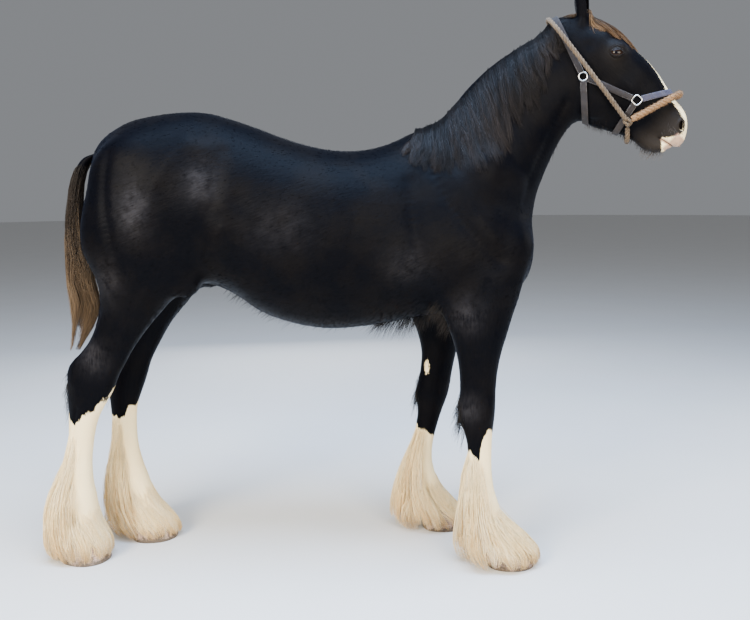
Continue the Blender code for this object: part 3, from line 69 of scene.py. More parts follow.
@dataclass
class Value:
    """A node's output that takes part in sums as a number does."""

    graph: "Graph"
    socket: bpy.types.NodeSocket

    def _pair(self, operation: str, first: Any, second: Any) -> "Value":
        """Add a Math node for two values."""
        return self.graph.node("ShaderNodeMath", {"operation": operation}, {0: first, 1: second})

    def __add__(self, other: Any) -> "Value":
        """This value plus another."""
        return self._pair("ADD", self, other)

    __radd__ = __add__

    def __mul__(self, other: Any) -> "Value":
        """This value times another."""
        return self._pair("MULTIPLY", self, other)

    __rmul__ = __mul__

    def __sub__(self, other: Any) -> "Value":
        """This value less another."""
        return self._pair("SUBTRACT", self, other)

    def __rsub__(self, other: Any) -> "Value":
        """Another value less this one."""
        return self._pair("SUBTRACT", other, self)

    def span(self, low: float, high: float, first: float = 0.0, last: float = 1.0) -> "Value":
        """Bring this value from one range to another, held at both ends.

        Args:
            low: value that gives first.
            high: value that gives last.
            first: result at low.
            last: result at high.

        Returns:
            The value in its new range.
        """
        ends = {0: self, 1: low, 2: high, 3: first, 4: last}
        return self.graph.node("ShaderNodeMapRange", {"clamp": True}, ends)


@dataclass
class Graph:
    """A node tree under construction."""

    tree: bpy.types.NodeTree

    def node(self, kind: str, settings: dict, inputs: dict, output: Any = 0) -> Value:
        """Add a node.

        Args:
            kind: the node's type.
            settings: its properties, set first; stops holds a ramp's places and colours.
            inputs: values or links for its sockets, by name or number.
            output: name or number of the output to hand back.

        Returns:
            The chosen output.
        """
        made = self.tree.nodes.new(kind)
        for name, setting in settings.items():
            if name == "stops":
                self._stops(made.color_ramp, setting)
            else:
                setattr(made, name, setting)
        for name, given in inputs.items():
            socket = made.inputs[name]
            if isinstance(given, Value):
                self.tree.links.new(given.socket, socket)
            elif isinstance(given, tuple) and len(given) == 3 and socket.type == "RGBA":
                socket.default_value = (*given, 1.0)
            else:
                socket.default_value = given
        return Value(self, made.outputs[output]) if made.outputs else Value(self, None)

    @staticmethod
    def _stops(ramp: bpy.types.ColorRamp, stops: Sequence) -> None:
        """Set a ramp's stops."""
        while len(ramp.elements) < len(stops):
            ramp.elements.new(1.0)
        for element, (place, colour) in zip(ramp.elements, stops):
            element.position = place
            element.color = (*colour, 1.0)

    def blend(self, first: Any, second: Any, factor: Any) -> Value:
        """Mix two colours by a factor."""
        settings = {"data_type": "RGBA", "clamp_factor": True}
        return self.node("ShaderNodeMix", settings, {0: factor, 6: first, 7: second}, 2)

    def attribute(self, name: str, output: str = "Fac") -> Value:
        """Read a named attribute of the surface."""
        return self.node("ShaderNodeAttribute", {"attribute_name": name}, {}, output)

    def place(self, scale: tuple[float, float, float], source: Value | None = None) -> Value:
        """Object coordinates, or another source, stretched by a scale."""
        if source is None:
            source = self.node("ShaderNodeTexCoord", {}, {}, "Object")
        return self.node("ShaderNodeVectorMath", {"operation": "MULTIPLY"}, {0: source, 1: scale})

    def noise(self, at: Value, scale: float, detail: float = 2.0, roughness: float = 0.5) -> Value:
        """Even noise at a place."""
        inputs = {"Vector": at, "Scale": scale, "Detail": detail, "Roughness": roughness}
        return self.node("ShaderNodeTexNoise", {}, inputs, 0)

    def mottle(self, scale: float, detail: float = 2.0, roughness: float = 0.5) -> Value:
        """Even noise over object coordinates."""
        return self.noise(self.place((1, 1, 1)), scale, detail, roughness)

    def wave(self, at: Value) -> Value:
        """The sine of a value."""
        return self.node("ShaderNodeMath", {"operation": "SINE"}, {0: at})

    def bump(self, height: Value, strength: float, depth: float, under: Value | None = None) -> Value:
        """A surface's fine relief.

        Args:
            height: the relief, from 0 to 1.
            strength: how much of it shows.
            depth: its height in metres.
            under: a coarser relief below it.

        Returns:
            The normal.
        """
        inputs = {"Height": height, "Strength": strength, "Distance": depth}
        if under is not None:
            inputs["Normal"] = under
        return self.node("ShaderNodeBump", {}, inputs, 0)


class Finish:
    """A material that a piece is dressed in."""

    name: str

    def material(self) -> bpy.types.Material:
        """Make the material, or hand back the one already made."""
        held = bpy.data.materials.get(self.name)
        if held is not None:
            return held
        made = bpy.data.materials.new(self.name)
        made.use_nodes = True
        graph = Graph(made.node_tree)
        shader = made.node_tree.nodes["Principled BSDF"]
        for socket, given in self.surface(graph).items():
            if isinstance(given, Value):
                graph.tree.links.new(given.socket, shader.inputs[socket])
            elif isinstance(given, tuple):
                shader.inputs[socket].default_value = (*given, 1.0)
            else:
                shader.inputs[socket].default_value = given
        return made

    def surface(self, graph: Graph) -> dict[str, Any]:
        """What each of the shader's sockets holds."""
        raise NotImplementedError


@dataclass(frozen=True)
class CoatFinish(Finish):
    """Skin under its short coat, with the white markings, bare muzzle and dust, and painted shade in the eye
    openings, nostrils and mouth line.
    """

    name: str = "short_coat"
    black: Colour = (0.0008, 0.0009, 0.0018)
    brown: Colour = (0.0026, 0.0021, 0.0022)
    white: Colour = (0.98, 0.80, 0.46)
    muzzle: Colour = (0.019, 0.0155, 0.0130)
    pink: Colour = (0.33, 0.19, 0.145)
    dust: Colour = (0.040, 0.037, 0.039)
    stained: Colour = (0.86, 0.62, 0.30)
    # hole is painted shade: near black laid into the eye openings, nostrils and mouth line
    hole: Colour = (0.006, 0.004, 0.004)
    tuft: bool = False

    def surface(self, graph: Graph) -> dict[str, Any]:
        """Colours by the markings, relief by the lie of the coat."""
        grain = graph.attribute("grain", "Vector")
        broad = graph.mottle(7.0, 3.0)
        fine = graph.noise(graph.place((26.0, 190.0, 190.0), grain), 1.0, 3.0, 0.6)
        locks = graph.noise(graph.place((9.0, 62.0, 62.0), grain), 1.0, 2.0)
        warm = (broad - 0.42).span(0.0, 0.22)
        shade = graph.blend(self.black, self.brown, warm * 0.75 + graph.attribute("shade") * 0.25)
        ragged = graph.noise(graph.place((70.0, 300.0, 300.0), grain), 1.0, 2.0) - 0.5
        muzzle = (graph.attribute("bare") + ragged * 0.25).span(0.0, 1.0)
        shade = graph.blend(shade, self.muzzle, muzzle)
        blotch = graph.mottle(19.0, 5.0, 0.62)
        dusty = graph.attribute("dust") * (blotch * 0.6 + fine * 0.4).span(0.36, 0.70)
        shade = graph.blend(shade, self.dust, dusty)
        white = (graph.attribute("white") + ragged * 0.024).span(-0.0016, 0.0016)
        pale = graph.blend(self.white, self.stained, graph.attribute("stain") * broad.span(0.3, 0.6))
        shade = graph.blend(shade, pale, white)
        pink = (graph.attribute("pink") + ragged * 0.3).span(0.15, 0.9) * 0.85
        shade = graph.blend(shade, self.pink, pink)
        # painted shade: the hole colour darkens the eye openings, nostril pits and the parting of the lips
        shade = graph.blend(shade, self.hole, graph.attribute("hole"))
        found = {
            "Base Color": shade,
            "Roughness": (white * 0.30 + fine * 0.16 + dusty * 0.20 + muzzle * 0.06 + 0.40).span(0.0, 1.0),
            "Specular IOR Level": 0.030,
            "Sheen Weight": 0.014,
            "Sheen Roughness": 0.35,
            "Sheen Tint": (0.42, 0.58, 1.0),
        }
        if not self.tuft:
            found["Normal"] = graph.bump(fine, 0.55, 0.0012, graph.bump(locks, 0.35, 0.003))
        return found


class HairKind(Enum):
    """Which long hair a piece is."""

    MANE = "mane_hair"
    TAIL = "tail_hair"
    FORELOCK = "forelock_hair"
    FEATHER = "feather_hair"
    FRINGE = "fringe_hair"
    WHISKER = "whisker_hair"


@dataclass(frozen=True)
class HairFinish(Finish):
    """Long hair, from its root's colour to its bleached or dirty tip."""

    name: str
    root: Colour
    middle: Colour
    tip: Colour
    bleached: Colour
    roughness: float = 0.40
    sheen: float = 0.0
    mud: Colour = (0.40, 0.24, 0.115)

    def surface(self, graph: Graph) -> dict[str, Any]:
        """Colours along the strand, turned paler by its own shade."""
        along = graph.attribute("along")
        shade = graph.attribute("shade")
        stops = ((0.0, self.root), (0.45, self.middle), (1.0, self.tip))
        ramp = graph.node("ShaderNodeValToRGB", {"stops": stops}, {0: along})
        pale = (shade - 0.45).span(0.0, 0.55) * (along * 0.8 + 0.2)
        colour = graph.blend(ramp, self.bleached, pale)
        crumbs = graph.noise(graph.place((60.0, 60.0, 14.0)), 1.0, 3.0)
        colour = graph.blend(colour, self.mud, graph.attribute("soil") * crumbs.span(0.30, 0.62))
        streak = graph.noise(graph.place((420.0, 420.0, 30.0)), 1.0, 1.0)
        return {
            "Base Color": graph.blend(colour, (0.0, 0.0, 0.0), streak.span(0.50, 0.20) * 0.35),
            "Roughness": self.roughness + streak * 0.15,
            "Specular IOR Level": 0.12,
            "Sheen Weight": self.sheen,
            "Sheen Roughness": 0.4,
            "Normal": graph.bump(streak, 0.3, 0.0006),
        }


HAIR = {
    HairKind.MANE: HairFinish(
        HairKind.MANE.value,
        root=(0.0024, 0.0020, 0.0022),
        middle=(0.0036, 0.0029, 0.0028),
        tip=(0.0062, 0.0047, 0.0042),
        bleached=(0.027, 0.0205, 0.018),
    ),
    HairKind.TAIL: HairFinish(
        HairKind.TAIL.value,
        root=(0.0085, 0.0062, 0.0048),
        middle=(0.0210, 0.0145, 0.0100),
        tip=(0.048, 0.031, 0.019),
        bleached=(0.160, 0.105, 0.060),
    ),
    HairKind.FORELOCK: HairFinish(
        HairKind.FORELOCK.value,
        root=(0.0060, 0.0042, 0.0034),
        middle=(0.018, 0.0100, 0.0054),
        tip=(0.110, 0.057, 0.025),
        bleached=(0.23, 0.135, 0.064),
    ),
    HairKind.FEATHER: HairFinish(
        HairKind.FEATHER.value,
        root=(0.97, 0.79, 0.47),
        middle=(0.96, 0.73, 0.37),
        tip=(0.86, 0.56, 0.22),
        bleached=(0.97, 0.87, 0.63),
        roughness=0.60,
        sheen=0.03,
    ),
    HairKind.FRINGE: HairFinish(
        HairKind.FRINGE.value,
        root=(0.0045, 0.0040, 0.0042),
        middle=(0.0070, 0.0058, 0.0054),
        tip=(0.016, 0.0125, 0.0105),
        bleached=(0.034, 0.027, 0.022),
    ),
    HairKind.WHISKER: HairFinish(
        HairKind.WHISKER.value,
        root=(0.012, 0.010, 0.010),
        middle=(0.030, 0.024, 0.020),
        tip=(0.10, 0.08, 0.065),
        bleached=(0.22, 0.19, 0.16),
    ),
}


@dataclass(frozen=True)
class WebFinish(Finish):
    """Woven web: ribs across its width and a fine twill along it, with worn edges and painted shade in the
    troughs between ribs and threads.
    """

    name: str
    colour: Colour
    worn: Colour
    # gap is painted shade: a darker colour for the troughs of the ribs and threads
    gap: Colour = (0.03, 0.025, 0.022)
    ribs: float = 620.0

    def surface(self, graph: Graph) -> dict[str, Any]:
        """Ribs and threads read from the strap's own map, in metres."""
        where = graph.node("ShaderNodeUVMap", {"uv_map": "weave"}, {})
        parts = graph.node("ShaderNodeSeparateXYZ", {}, {0: where}, "X")
        across = Value(graph, parts.socket.node.outputs["Y"])
        rib = graph.wave(parts * self.ribs * 4.0)
        thread = graph.wave(across * self.ribs * 7.0 + parts * 900.0)
        soil = graph.mottle(38.0, 4.0)
        off_middle = graph.node("ShaderNodeMath", {"operation": "ABSOLUTE"}, {0: across})
        edge = off_middle.span(0.0085, 0.0122)
        tone = graph.blend(self.colour, self.worn, (soil.span(0.42, 0.66) * 0.7 + edge * 0.5).span(0.0, 1.0))
        # painted shade: the gap colour darkens the troughs of the ribs and threads
        tone = graph.blend(tone, self.gap, rib.span(0.2, -0.9) * 0.35 + thread.span(0.3, -0.9) * 0.2)
        relief = rib.span(-1.0, 1.0) * 0.7 + thread.span(-1.0, 1.0) * 0.3
        return {
            "Base Color": tone,
            "Roughness": soil.span(0.3, 0.7, 0.72, 0.92),
            "Normal": graph.bump(relief, 0.6, 0.0009),
            "Sheen Weight": 0.03,
            "Specular IOR Level": 0.2,
        }


@dataclass(frozen=True)
class RopeFinish(Finish):
    """Soft rope with fine fibres and patches of grime."""

    name: str
    colour: Colour
    dark: Colour
    grime: Colour

    def surface(self, graph: Graph) -> dict[str, Any]:
        """Fine fibres, grime in random patches."""
        fibre = graph.noise(graph.place((240.0, 240.0, 240.0)), 1.0, 3.0, 0.65)
        patch = graph.mottle(30.0, 3.0)
        tone = graph.blend(self.colour, self.dark, fibre.span(0.55, 0.35))
        tone = graph.blend(tone, self.grime, patch.span(0.48, 0.68) * 0.6)
        return {
            "Base Color": tone,
            "Roughness": patch.span(0.3, 0.7, 0.95, 0.8),
            "Normal": graph.bump(fibre, 0.7, 0.0012),
            "Sheen Weight": 0.05,
            "Specular IOR Level": 0.15,
        }


@dataclass(frozen=True)
class SteelFinish(Finish):
    """Plated steel, scratched and a little dull in patches of tarnish."""

    name: str = "ring_steel"
    plate: Colour = (0.78, 0.78, 0.77)
    dull: Colour = (0.42, 0.39, 0.35)

    def surface(self, graph: Graph) -> dict[str, Any]:
        """Fine scratches over slow tarnish."""
        tarnish = graph.mottle(120.0, 3.0)
        scratch = graph.noise(graph.place((900.0, 900.0, 160.0)), 1.0, 2.0)
        return {
            "Base Color": graph.blend(self.plate, self.dull, tarnish.span(0.48, 0.72)),
            "Metallic": tarnish.span(0.70, 0.85, 1.0, 0.8),
            "Roughness": (scratch * 0.25 + tarnish.span(0.4, 0.8) * 0.2 + 0.10).span(0.0, 1.0),
            "Normal": graph.bump(scratch, 0.15, 0.0003),
        }


@dataclass(frozen=True)
class HornFinish(Finish):
    """Pale hoof horn with growth rings, fine upright tubules and mud."""

    name: str = "hoof_horn"
    horn: Colour = (0.52, 0.37, 0.29)
    streak: Colour = (0.36, 0.23, 0.17)
    ridge: Colour = (0.64, 0.50, 0.40)
    mud: Colour = (0.10, 0.072, 0.050)

    def surface(self, graph: Graph) -> dict[str, Any]:
        """Rings by height, tubules round the wall, mud near the ground."""
        spot = graph.node("ShaderNodeTexCoord", {}, {}, "Object")
        height = graph.node("ShaderNodeSeparateXYZ", {}, {0: spot}, "Z")
        wave = graph.noise(graph.place((14.0, 14.0, 5.0)), 1.0, 2.0)
        ring = graph.wave(height * 820.0 + wave * 7.0).span(-1.0, 1.0)
        tubule = graph.noise(graph.place((480.0, 480.0, 12.0)), 1.0, 2.0)
        mud = (graph.mottle(55.0, 4.0) + height.span(0.05, 0.0) * 0.35).span(0.55, 0.78)
        tone = graph.blend(self.horn, self.streak, tubule.span(0.35, 0.62))
        tone = graph.blend(tone, self.ridge, ring.span(0.6, 1.0) * 0.5)
        return {
            "Base Color": graph.blend(tone, self.mud, mud),
            "Roughness": (mud * 0.35 + tubule * 0.2 + 0.38).span(0.0, 1.0),
            "Normal": graph.bump(tubule, 0.35, 0.0006, graph.bump(ring, 0.5, 0.0012)),
        }


@dataclass(frozen=True)
class EyeFinish(Finish):
    """Dark brown iris round a level pupil, under a wet cornea."""

    name: str = "eye_gloss"
    iris: Colour = (0.0060, 0.0032, 0.0022)
    iris_ray: Colour = (0.0160, 0.0080, 0.0046)
    pupil: Colour = (0.002, 0.002, 0.004)
    rim: Colour = (0.012, 0.008, 0.007)

    def surface(self, graph: Graph) -> dict[str, Any]:
        """Colour by place on the ball, from its own map."""
        rim = graph.attribute("rim")
        ray = graph.mottle(900.0, 3.0)
        tone = graph.blend(self.iris, self.iris_ray, ray.span(0.35, 0.65))
        tone = graph.blend(tone, self.pupil, graph.attribute("pupil"))
        return {
            "Base Color": graph.blend(tone, self.rim, rim),
            "Roughness": rim.span(0.0, 1.0, 0.05, 0.18),
            "Coat Weight": 0.08,
            "Coat Roughness": 0.02,
            "Specular IOR Level": 0.10,
        }


@dataclass(frozen=True)
class LidFinish(Finish):
    """Bare, moist edge of the lids."""

    name: str = "lid_edge"
    dark: Colour = (0.003, 0.0025, 0.0025)
    warm: Colour = (0.008, 0.006, 0.005)

    def surface(self, graph: Graph) -> dict[str, Any]:
        """Near black with a faint warm mottle."""
        mottle = graph.mottle(260.0, 3.0)
        return {
            "Base Color": graph.blend(self.dark, self.warm, mottle.span(0.4, 0.7)),
            "Roughness": mottle.span(0.3, 0.7, 0.40, 0.55),
            "Specular IOR Level": 0.10,
            "Normal": graph.bump(mottle, 0.3, 0.0004),
        }


@dataclass(frozen=True)
class FloorFinish(Finish):
    """Plain pale studio floor."""

    name: str = "studio_floor"
    tone: Colour = (0.70, 0.69, 0.67)
    paler: Colour = (0.74, 0.73, 0.71)

    def surface(self, graph: Graph) -> dict[str, Any]:
        """One pale tone with the faintest mottle."""
        mottle = graph.mottle(2.0, 3.0)
        return {
            "Base Color": graph.blend(self.tone, self.paler, mottle),
            "Roughness": 0.85,
        }


def through(rows: Rows, count: int) -> np.ndarray:
    """Sizes read at even steps along a smooth curve through the given rows.

    Args:
        rows: the stations.
        count: how many steps.

    Returns:
        One row of sizes for each step.
    """
    rows = np.array(rows, dtype=float)
    place = np.linspace(0, len(rows) - 1, count)
    start = np.clip(place.astype(int), 0, len(rows) - 2)
    f = (place - start)[:, None]
    before = rows[np.maximum(start - 1, 0)]
    first = rows[start]
    second = rows[start + 1]
    after = rows[np.minimum(start + 2, len(rows) - 1)]
    out = (second - before) / 2
    into = (after - first) / 2
    return (
        (2 * f**3 - 3 * f**2 + 1) * first
        + (f**3 - 2 * f**2 + f) * out
        + (3 * f**2 - 2 * f**3) * second
        + (f**3 - f**2) * into
    )


def section(
    centre: Any,
    across: Any,
    half: float,
    rise: Any,
    drop: Any,
    top_power: float = 2.0,
    low_power: float = 2.0,
    points: int = 40,
) -> np.ndarray:
    """A closed cross section.

    Args:
        centre: its middle.
        across: unit vector to its side.
        half: half its width.
        rise: vector from the middle to the top.
        drop: vector from the middle to the bottom.
        top_power: fullness of its upper half.
        low_power: fullness of its lower half.
        points: how many points it has.

    Returns:
        The points round it.
    """
    angle = np.linspace(0, 2 * math.pi, points, endpoint=False)
    cosine = np.cos(angle)
    sine = np.sin(angle)
    power = np.where(sine >= 0, 2 / top_power, 2 / low_power)
    side = np.sign(cosine) * np.abs(cosine) ** power
    height = np.abs(sine) ** power
    reach = np.where(sine[:, None] >= 0, np.array(rise), np.array(drop))
    return np.array(centre) + half * side[:, None] * np.array(across) + height[:, None] * reach


def walls(rows: int, count: int, closed: bool = False) -> list:
    """Faces between rings of points, and from the last ring to the first where they close."""
    faces = []
    for row in range(rows if closed else rows - 1):
        start, after = row * count, (row + 1) % rows * count
        for k in range(count):
            step = (k + 1) % count
            faces.append((start + k, start + step, after + step, after + k))
    return faces


def loft(rings: Sequence) -> Shape:
    """Vertices and faces of a closed skin through rings of equal size."""
    count = len(rings[0])
    verts = [tuple(p) for ring in rings for p in ring]
    faces = walls(len(rings), count)
    start = len(verts)
    verts.append(tuple(np.mean(rings[0], axis=0)))
    verts.append(tuple(np.mean(rings[-1], axis=0)))
    last = (len(rings) - 1) * count
    for k in range(count):
        faces.append((start, (k + 1) % count, k))
        faces.append((start + 1, last + k, last + (k + 1) % count))
    return verts, faces


def egg(axes: Any, centre: Any, radii: Any, segments: int = 24, rings: int = 14) -> Shape:
    """Vertices and faces of a stretched ball, its poles on the last axis."""
    rows = np.array(axes).T * np.array(radii)
    place = Matrix([[*row, c] for row, c in zip(rows, centre)] + [[0, 0, 0, 1]])
    work = bmesh.new()
    bmesh.ops.create_uvsphere(work, u_segments=segments, v_segments=rings, radius=1, matrix=place)
    work.verts.index_update()
    if place.determinant() < 0:
        bmesh.ops.reverse_faces(work, faces=work.faces[:])
    verts = [tuple(v.co) for v in work.verts]
    # The ball's faces come in another order each run, so they are sorted.
    faces = sorted(tuple(v.index for v in f.verts) for f in work.faces)
    work.free()
    return verts, faces


def unit(vector: Any) -> np.ndarray:
    """A vector, or rows of vectors, brought to length one."""
    vector = np.asarray(vector, dtype=float)
    return vector / np.maximum(np.linalg.norm(vector, axis=-1, keepdims=True), 1e-12)


def ease(low: float, high: float, at: Any) -> Any:
    """A smooth step from 0 at low to 1 at high."""
    f = np.clip((np.asarray(at, dtype=float) - low) / (high - low), 0.0, 1.0)
    return f * f * (3 - 2 * f)


def make_object(name: str, verts: Any, faces: Any) -> bpy.types.Object:
    """A mesh object from vertices and faces, linked to the scene."""
    mesh = bpy.data.meshes.new(name)
    mesh.from_pydata(np.asarray(verts).tolist(), [], [tuple(f) for f in faces])
    item = bpy.data.objects.new(name, mesh)
    bpy.context.scene.collection.objects.link(item)
    return item


def settle(item: bpy.types.Object) -> None:
    """Apply an object's modifiers."""
    graph = bpy.context.evaluated_depsgraph_get()
    graph.update()
    mesh = bpy.data.meshes.new_from_object(item.evaluated_get(graph))
    item.modifiers.clear()
    old = item.data
    item.data = mesh
    bpy.data.meshes.remove(old)


def mesh_points(mesh: bpy.types.Mesh) -> np.ndarray:
    """Vertex positions of a mesh."""
    flat = np.empty(len(mesh.vertices) * 3)
    mesh.vertices.foreach_get("co", flat)
    return flat.reshape(-1, 3)


def mesh_normals(mesh: bpy.types.Mesh) -> np.ndarray:
    """Vertex normals of a mesh."""
    flat = np.empty(len(mesh.vertices) * 3)
    mesh.vertices.foreach_get("normal", flat)
    return flat.reshape(-1, 3)


def mesh_edges(mesh: bpy.types.Mesh) -> np.ndarray:
    """Vertex pairs of a mesh's edges."""
    flat = np.empty(len(mesh.edges) * 2, dtype=np.int64)
    mesh.edges.foreach_get("vertices", flat)
    return flat.reshape(-1, 2)


def mesh_triangles(mesh: bpy.types.Mesh) -> np.ndarray:
    """Vertex triples of a mesh's triangles."""
    mesh.calc_loop_triangles()
    flat = np.empty(len(mesh.loop_triangles) * 3, dtype=np.int64)
    mesh.loop_triangles.foreach_get("vertices", flat)
    return flat.reshape(-1, 3)


def set_points(mesh: bpy.types.Mesh, points: np.ndarray) -> None:
    """Move a mesh's vertices."""
    mesh.vertices.foreach_set("co", np.asarray(points).ravel())
    mesh.update()


def store(mesh: bpy.types.Mesh, name: str, values: np.ndarray) -> None:
    """Store one number or vector for each vertex under a name."""
    values = np.asarray(values, dtype=float)
    kind = "FLOAT" if values.ndim == 1 else "FLOAT_VECTOR"
    held = mesh.attributes.new(name, kind, "POINT")
    held.data.foreach_set("value" if values.ndim == 1 else "vector", values.ravel())


def smooth(mesh: bpy.types.Mesh) -> None:
    """Shade a mesh's faces smooth."""
    mesh.polygons.foreach_set("use_smooth", [True] * len(mesh.polygons))


def face_out(item: bpy.types.Object) -> None:
    """Point an object's faces outwards."""
    work = bmesh.new()
    work.from_mesh(item.data)
    bmesh.ops.recalc_face_normals(work, faces=work.faces[:])
    work.to_mesh(item.data)
    work.free()


def dress(item: bpy.types.Object, finish: Finish) -> None:
    """Point a piece's faces outwards, shade it smooth and give it its finish."""
    face_out(item)
    smooth(item.data)
    item.data.materials.append(finish.material())


def lengths(path: np.ndarray) -> np.ndarray:
    """Distance along a path at each of its points."""
    return np.concatenate(((0,), np.cumsum(np.linalg.norm(np.diff(path, axis=0), axis=1))))


def points_at(path: np.ndarray, run: np.ndarray, at: Any) -> np.ndarray:
    """Points of a path at some distances along it."""
    return np.stack([np.interp(at, run, path[:, axis]) for axis in range(path.shape[1])], axis=-1)


def turned(s: Any, n: Any, middle: Sequence[float], tilt: float) -> tuple[Any, Any]:
    """Distances from a middle along and across a way that is tilted in profile."""
    s, n = s - middle[0], n - middle[1]
    return s * math.cos(tilt) + n * math.sin(tilt), -s * math.sin(tilt) + n * math.cos(tilt)


def relax(points: np.ndarray, edges: np.ndarray, weight: Any, rounds: int) -> np.ndarray:
    """Ease each vertex towards the middle of its neighbours, by its weight."""
    first = np.concatenate((edges[:, 0], edges[:, 1]))
    second = np.concatenate((edges[:, 1], edges[:, 0]))
    count = np.maximum(np.bincount(first, minlength=len(points)), 1)
    for _ in range(rounds):
        for axis in range(3):
            total = np.bincount(first, points[second, axis], minlength=len(points))
            points[:, axis] += (total / count - points[:, axis]) * weight
    return points


def tree_of(meshes: Iterable[bpy.types.Mesh]) -> BVHTree:
    """A search tree over several meshes' faces."""
    verts: list = []
    faces: list = []
    for mesh in meshes:
        start = len(verts)
        verts.extend(mesh_points(mesh).tolist())
        faces.extend(tuple(start + k for k in f.vertices) for f in mesh.polygons)
    return BVHTree.FromPolygons(verts, faces)


@dataclass(frozen=True)
class Head:
    """The head's frame, its stations and the places of its features."""

    poll: tuple[float, float, float] = (0.745, -0.020, 2.075)
    pitch: float = math.radians(44)
    yaw: float = math.radians(14)
    # Along the face, profile, lower edge, widest level, half width, top power, low power.
    skull: Rows = (
        (-0.060, 0.000, -0.070, -0.040, 0.045, 2.0, 2.0),
        (-0.030, 0.036, -0.090, -0.040, 0.070, 2.0, 2.0),
        (0.000, 0.062, -0.105, -0.040, 0.080, 2.1, 2.0),
        (0.050, 0.088, -0.120, -0.035, 0.088, 2.2, 2.0),
        (0.100, 0.104, -0.140, -0.020, 0.095, 2.4, 2.0),
        (0.150, 0.114, -0.160, -0.005, 0.100, 2.6, 2.0),
        (0.210, 0.119, -0.185, 0.000, 0.099, 2.7, 2.0),
        (0.270, 0.120, -0.200, -0.010, 0.091, 2.6, 1.9),
        (0.330, 0.120, -0.192, -0.015, 0.082, 2.5, 1.8),
        (0.390, 0.111, -0.160, -0.020, 0.071, 2.4, 1.8),
        (0.450, 0.096, -0.122, -0.020, 0.061, 2.4, 2.0),
        (0.500, 0.084, -0.092, -0.012, 0.057, 2.4, 2.2),
        (0.540, 0.080, -0.074, -0.010, 0.060, 2.4, 2.3),
        (0.578, 0.066, -0.066, -0.012, 0.063, 2.4, 2.3),
        (0.607, 0.041, -0.056, -0.016, 0.058, 2.2, 2.2),
        (0.627, 0.012, -0.046, -0.020, 0.044, 2.1, 2.1),
        (0.637, -0.008, -0.036, -0.024, 0.020, 2.0, 2.0),
    )
    jaw: Rows = (
        (0.200, -0.080, -0.195, -0.130, 0.060, 2.0, 1.9),
        (0.260, -0.080, -0.214, -0.130, 0.066, 2.0, 1.9),
        (0.330, -0.080, -0.206, -0.125, 0.060, 2.0, 1.9),
        (0.390, -0.060, -0.178, -0.115, 0.050, 2.0, 1.9),
        (0.450, -0.050, -0.148, -0.100, 0.042, 2.0, 2.0),
        (0.500, -0.052, -0.134, -0.094, 0.040, 2.0, 2.1),
        (0.540, -0.058, -0.134, -0.092, 0.044, 2.1, 2.2),
        (0.572, -0.058, -0.122, -0.086, 0.047, 2.1, 2.2),
        (0.597, -0.052, -0.104, -0.076, 0.042, 2.1, 2.1),
        (0.612, -0.050, -0.086, -0.068, 0.026, 2.0, 2.0),
    )
    eye: tuple[float, float, float] = (0.222, 0.054, 0.083)
    eye_tilt: float = math.radians(39)
    eye_ball: tuple[float, float, float] = (0.0300, 0.0245, 0.0235)
    eye_opening: tuple[float, float] = (0.050, 0.029)
    lid_radii: tuple[float, float, float] = (0.034, 0.030, 0.0275)
    nostril: tuple[float, float, float] = (0.584, 0.022, 0.052)
    nostril_tilt: float = math.radians(-52)
    nostril_size: tuple[float, float] = (0.038, 0.017)
    mouth_corner: tuple[float, float] = (0.556, -0.062)
    mouth_front: tuple[float, float] = (0.628, -0.047)
    # Shares of the eye's opening above and below its middle.
    lid_shares: tuple[float, float] = (0.56, 0.44)
    # Folds over the upper lid: distance from its edge, width, depth.
    lid_folds: Rows = ((0.0075, 0.0020, 0.0020), (0.0140, 0.0028, 0.0016))
    nostril_bend: float = 7.0
    # Swells and hollows: place in profile, radius, height, least distance from the middle.
    swells: tuple = (
        ((0.172, 0.088), 0.024, -0.0060, 0.060),
        ((0.300, 0.034), 0.032, -0.0040, 0.045),
        ((0.400, 0.040), 0.050, -0.0035, 0.040),
        ((0.335, -0.060), 0.030, -0.0030, 0.040),
        ((0.545, 0.030), 0.016, 0.0030, 0.030),
        ((0.612, -0.006), 0.014, 0.0022, 0.015),
        ((0.556, -0.062), 0.010, -0.0035, 0.020),
        ((0.535, -0.092), 0.020, 0.0020, 0.020),
        ((0.130, 0.010), 0.024, -0.0035, 0.050),
    )
    ear_root: tuple[float, float, float] = (0.026, 0.078, 0.056)
    cut: tuple = ((-0.062, -0.020), (0.300, -0.232))

    def axes(self) -> tuple[np.ndarray, np.ndarray, np.ndarray]:
        """Unit vectors along the face, out of the face, and to the left."""
        level = np.array((math.cos(self.yaw), -math.sin(self.yaw), 0))
        up = np.array((0, 0, 1))
        along = level * math.cos(self.pitch) - up * math.sin(self.pitch)
        out = level * math.sin(self.pitch) + up * math.cos(self.pitch)
        return along, out, np.cross(out, along)

    def point(self, s: float, n: float, o: float = 0.0) -> np.ndarray:
        """A place on the head: s along the face, n out of it, o to the left."""
        along, out, left = self.axes()
        return np.array(self.poll) + s * along + n * out + o * left

    def local(self, points: np.ndarray) -> np.ndarray:
        """Places in the head's own s, n and o."""
        return (points - np.array(self.poll)) @ np.stack(self.axes(), axis=1)

    def lofted(self, table: Rows, count: int) -> Shape:
        """A form of the head from its stations."""
        _along, out, left = self.axes()
        rings = []
        for s, top, low, wide, half, top_power, low_power in through(table, count):
            rise = out * (top - wide)
            drop = out * (low - wide)
            rings.append(section(self.point(s, wide), left, half, rise, drop, top_power, low_power))
        return loft(rings)

    def tilted(self, tilt: float) -> tuple[np.ndarray, np.ndarray]:
        """Unit vectors along the face and out of it, turned up by a tilt."""
        along, out, _left = self.axes()
        first = along * math.cos(tilt) + out * math.sin(tilt)
        return first, -along * math.sin(tilt) + out * math.cos(tilt)

    @staticmethod
    def within(local: np.ndarray, start: float, end: float, out: float, side: float) -> np.ndarray:
        """Which places lie between two distances along the face, and near its middle."""
        s, n, o = local.T
        return (s > start) & (s < end) & (np.abs(n) < out) & (np.abs(o) < side)

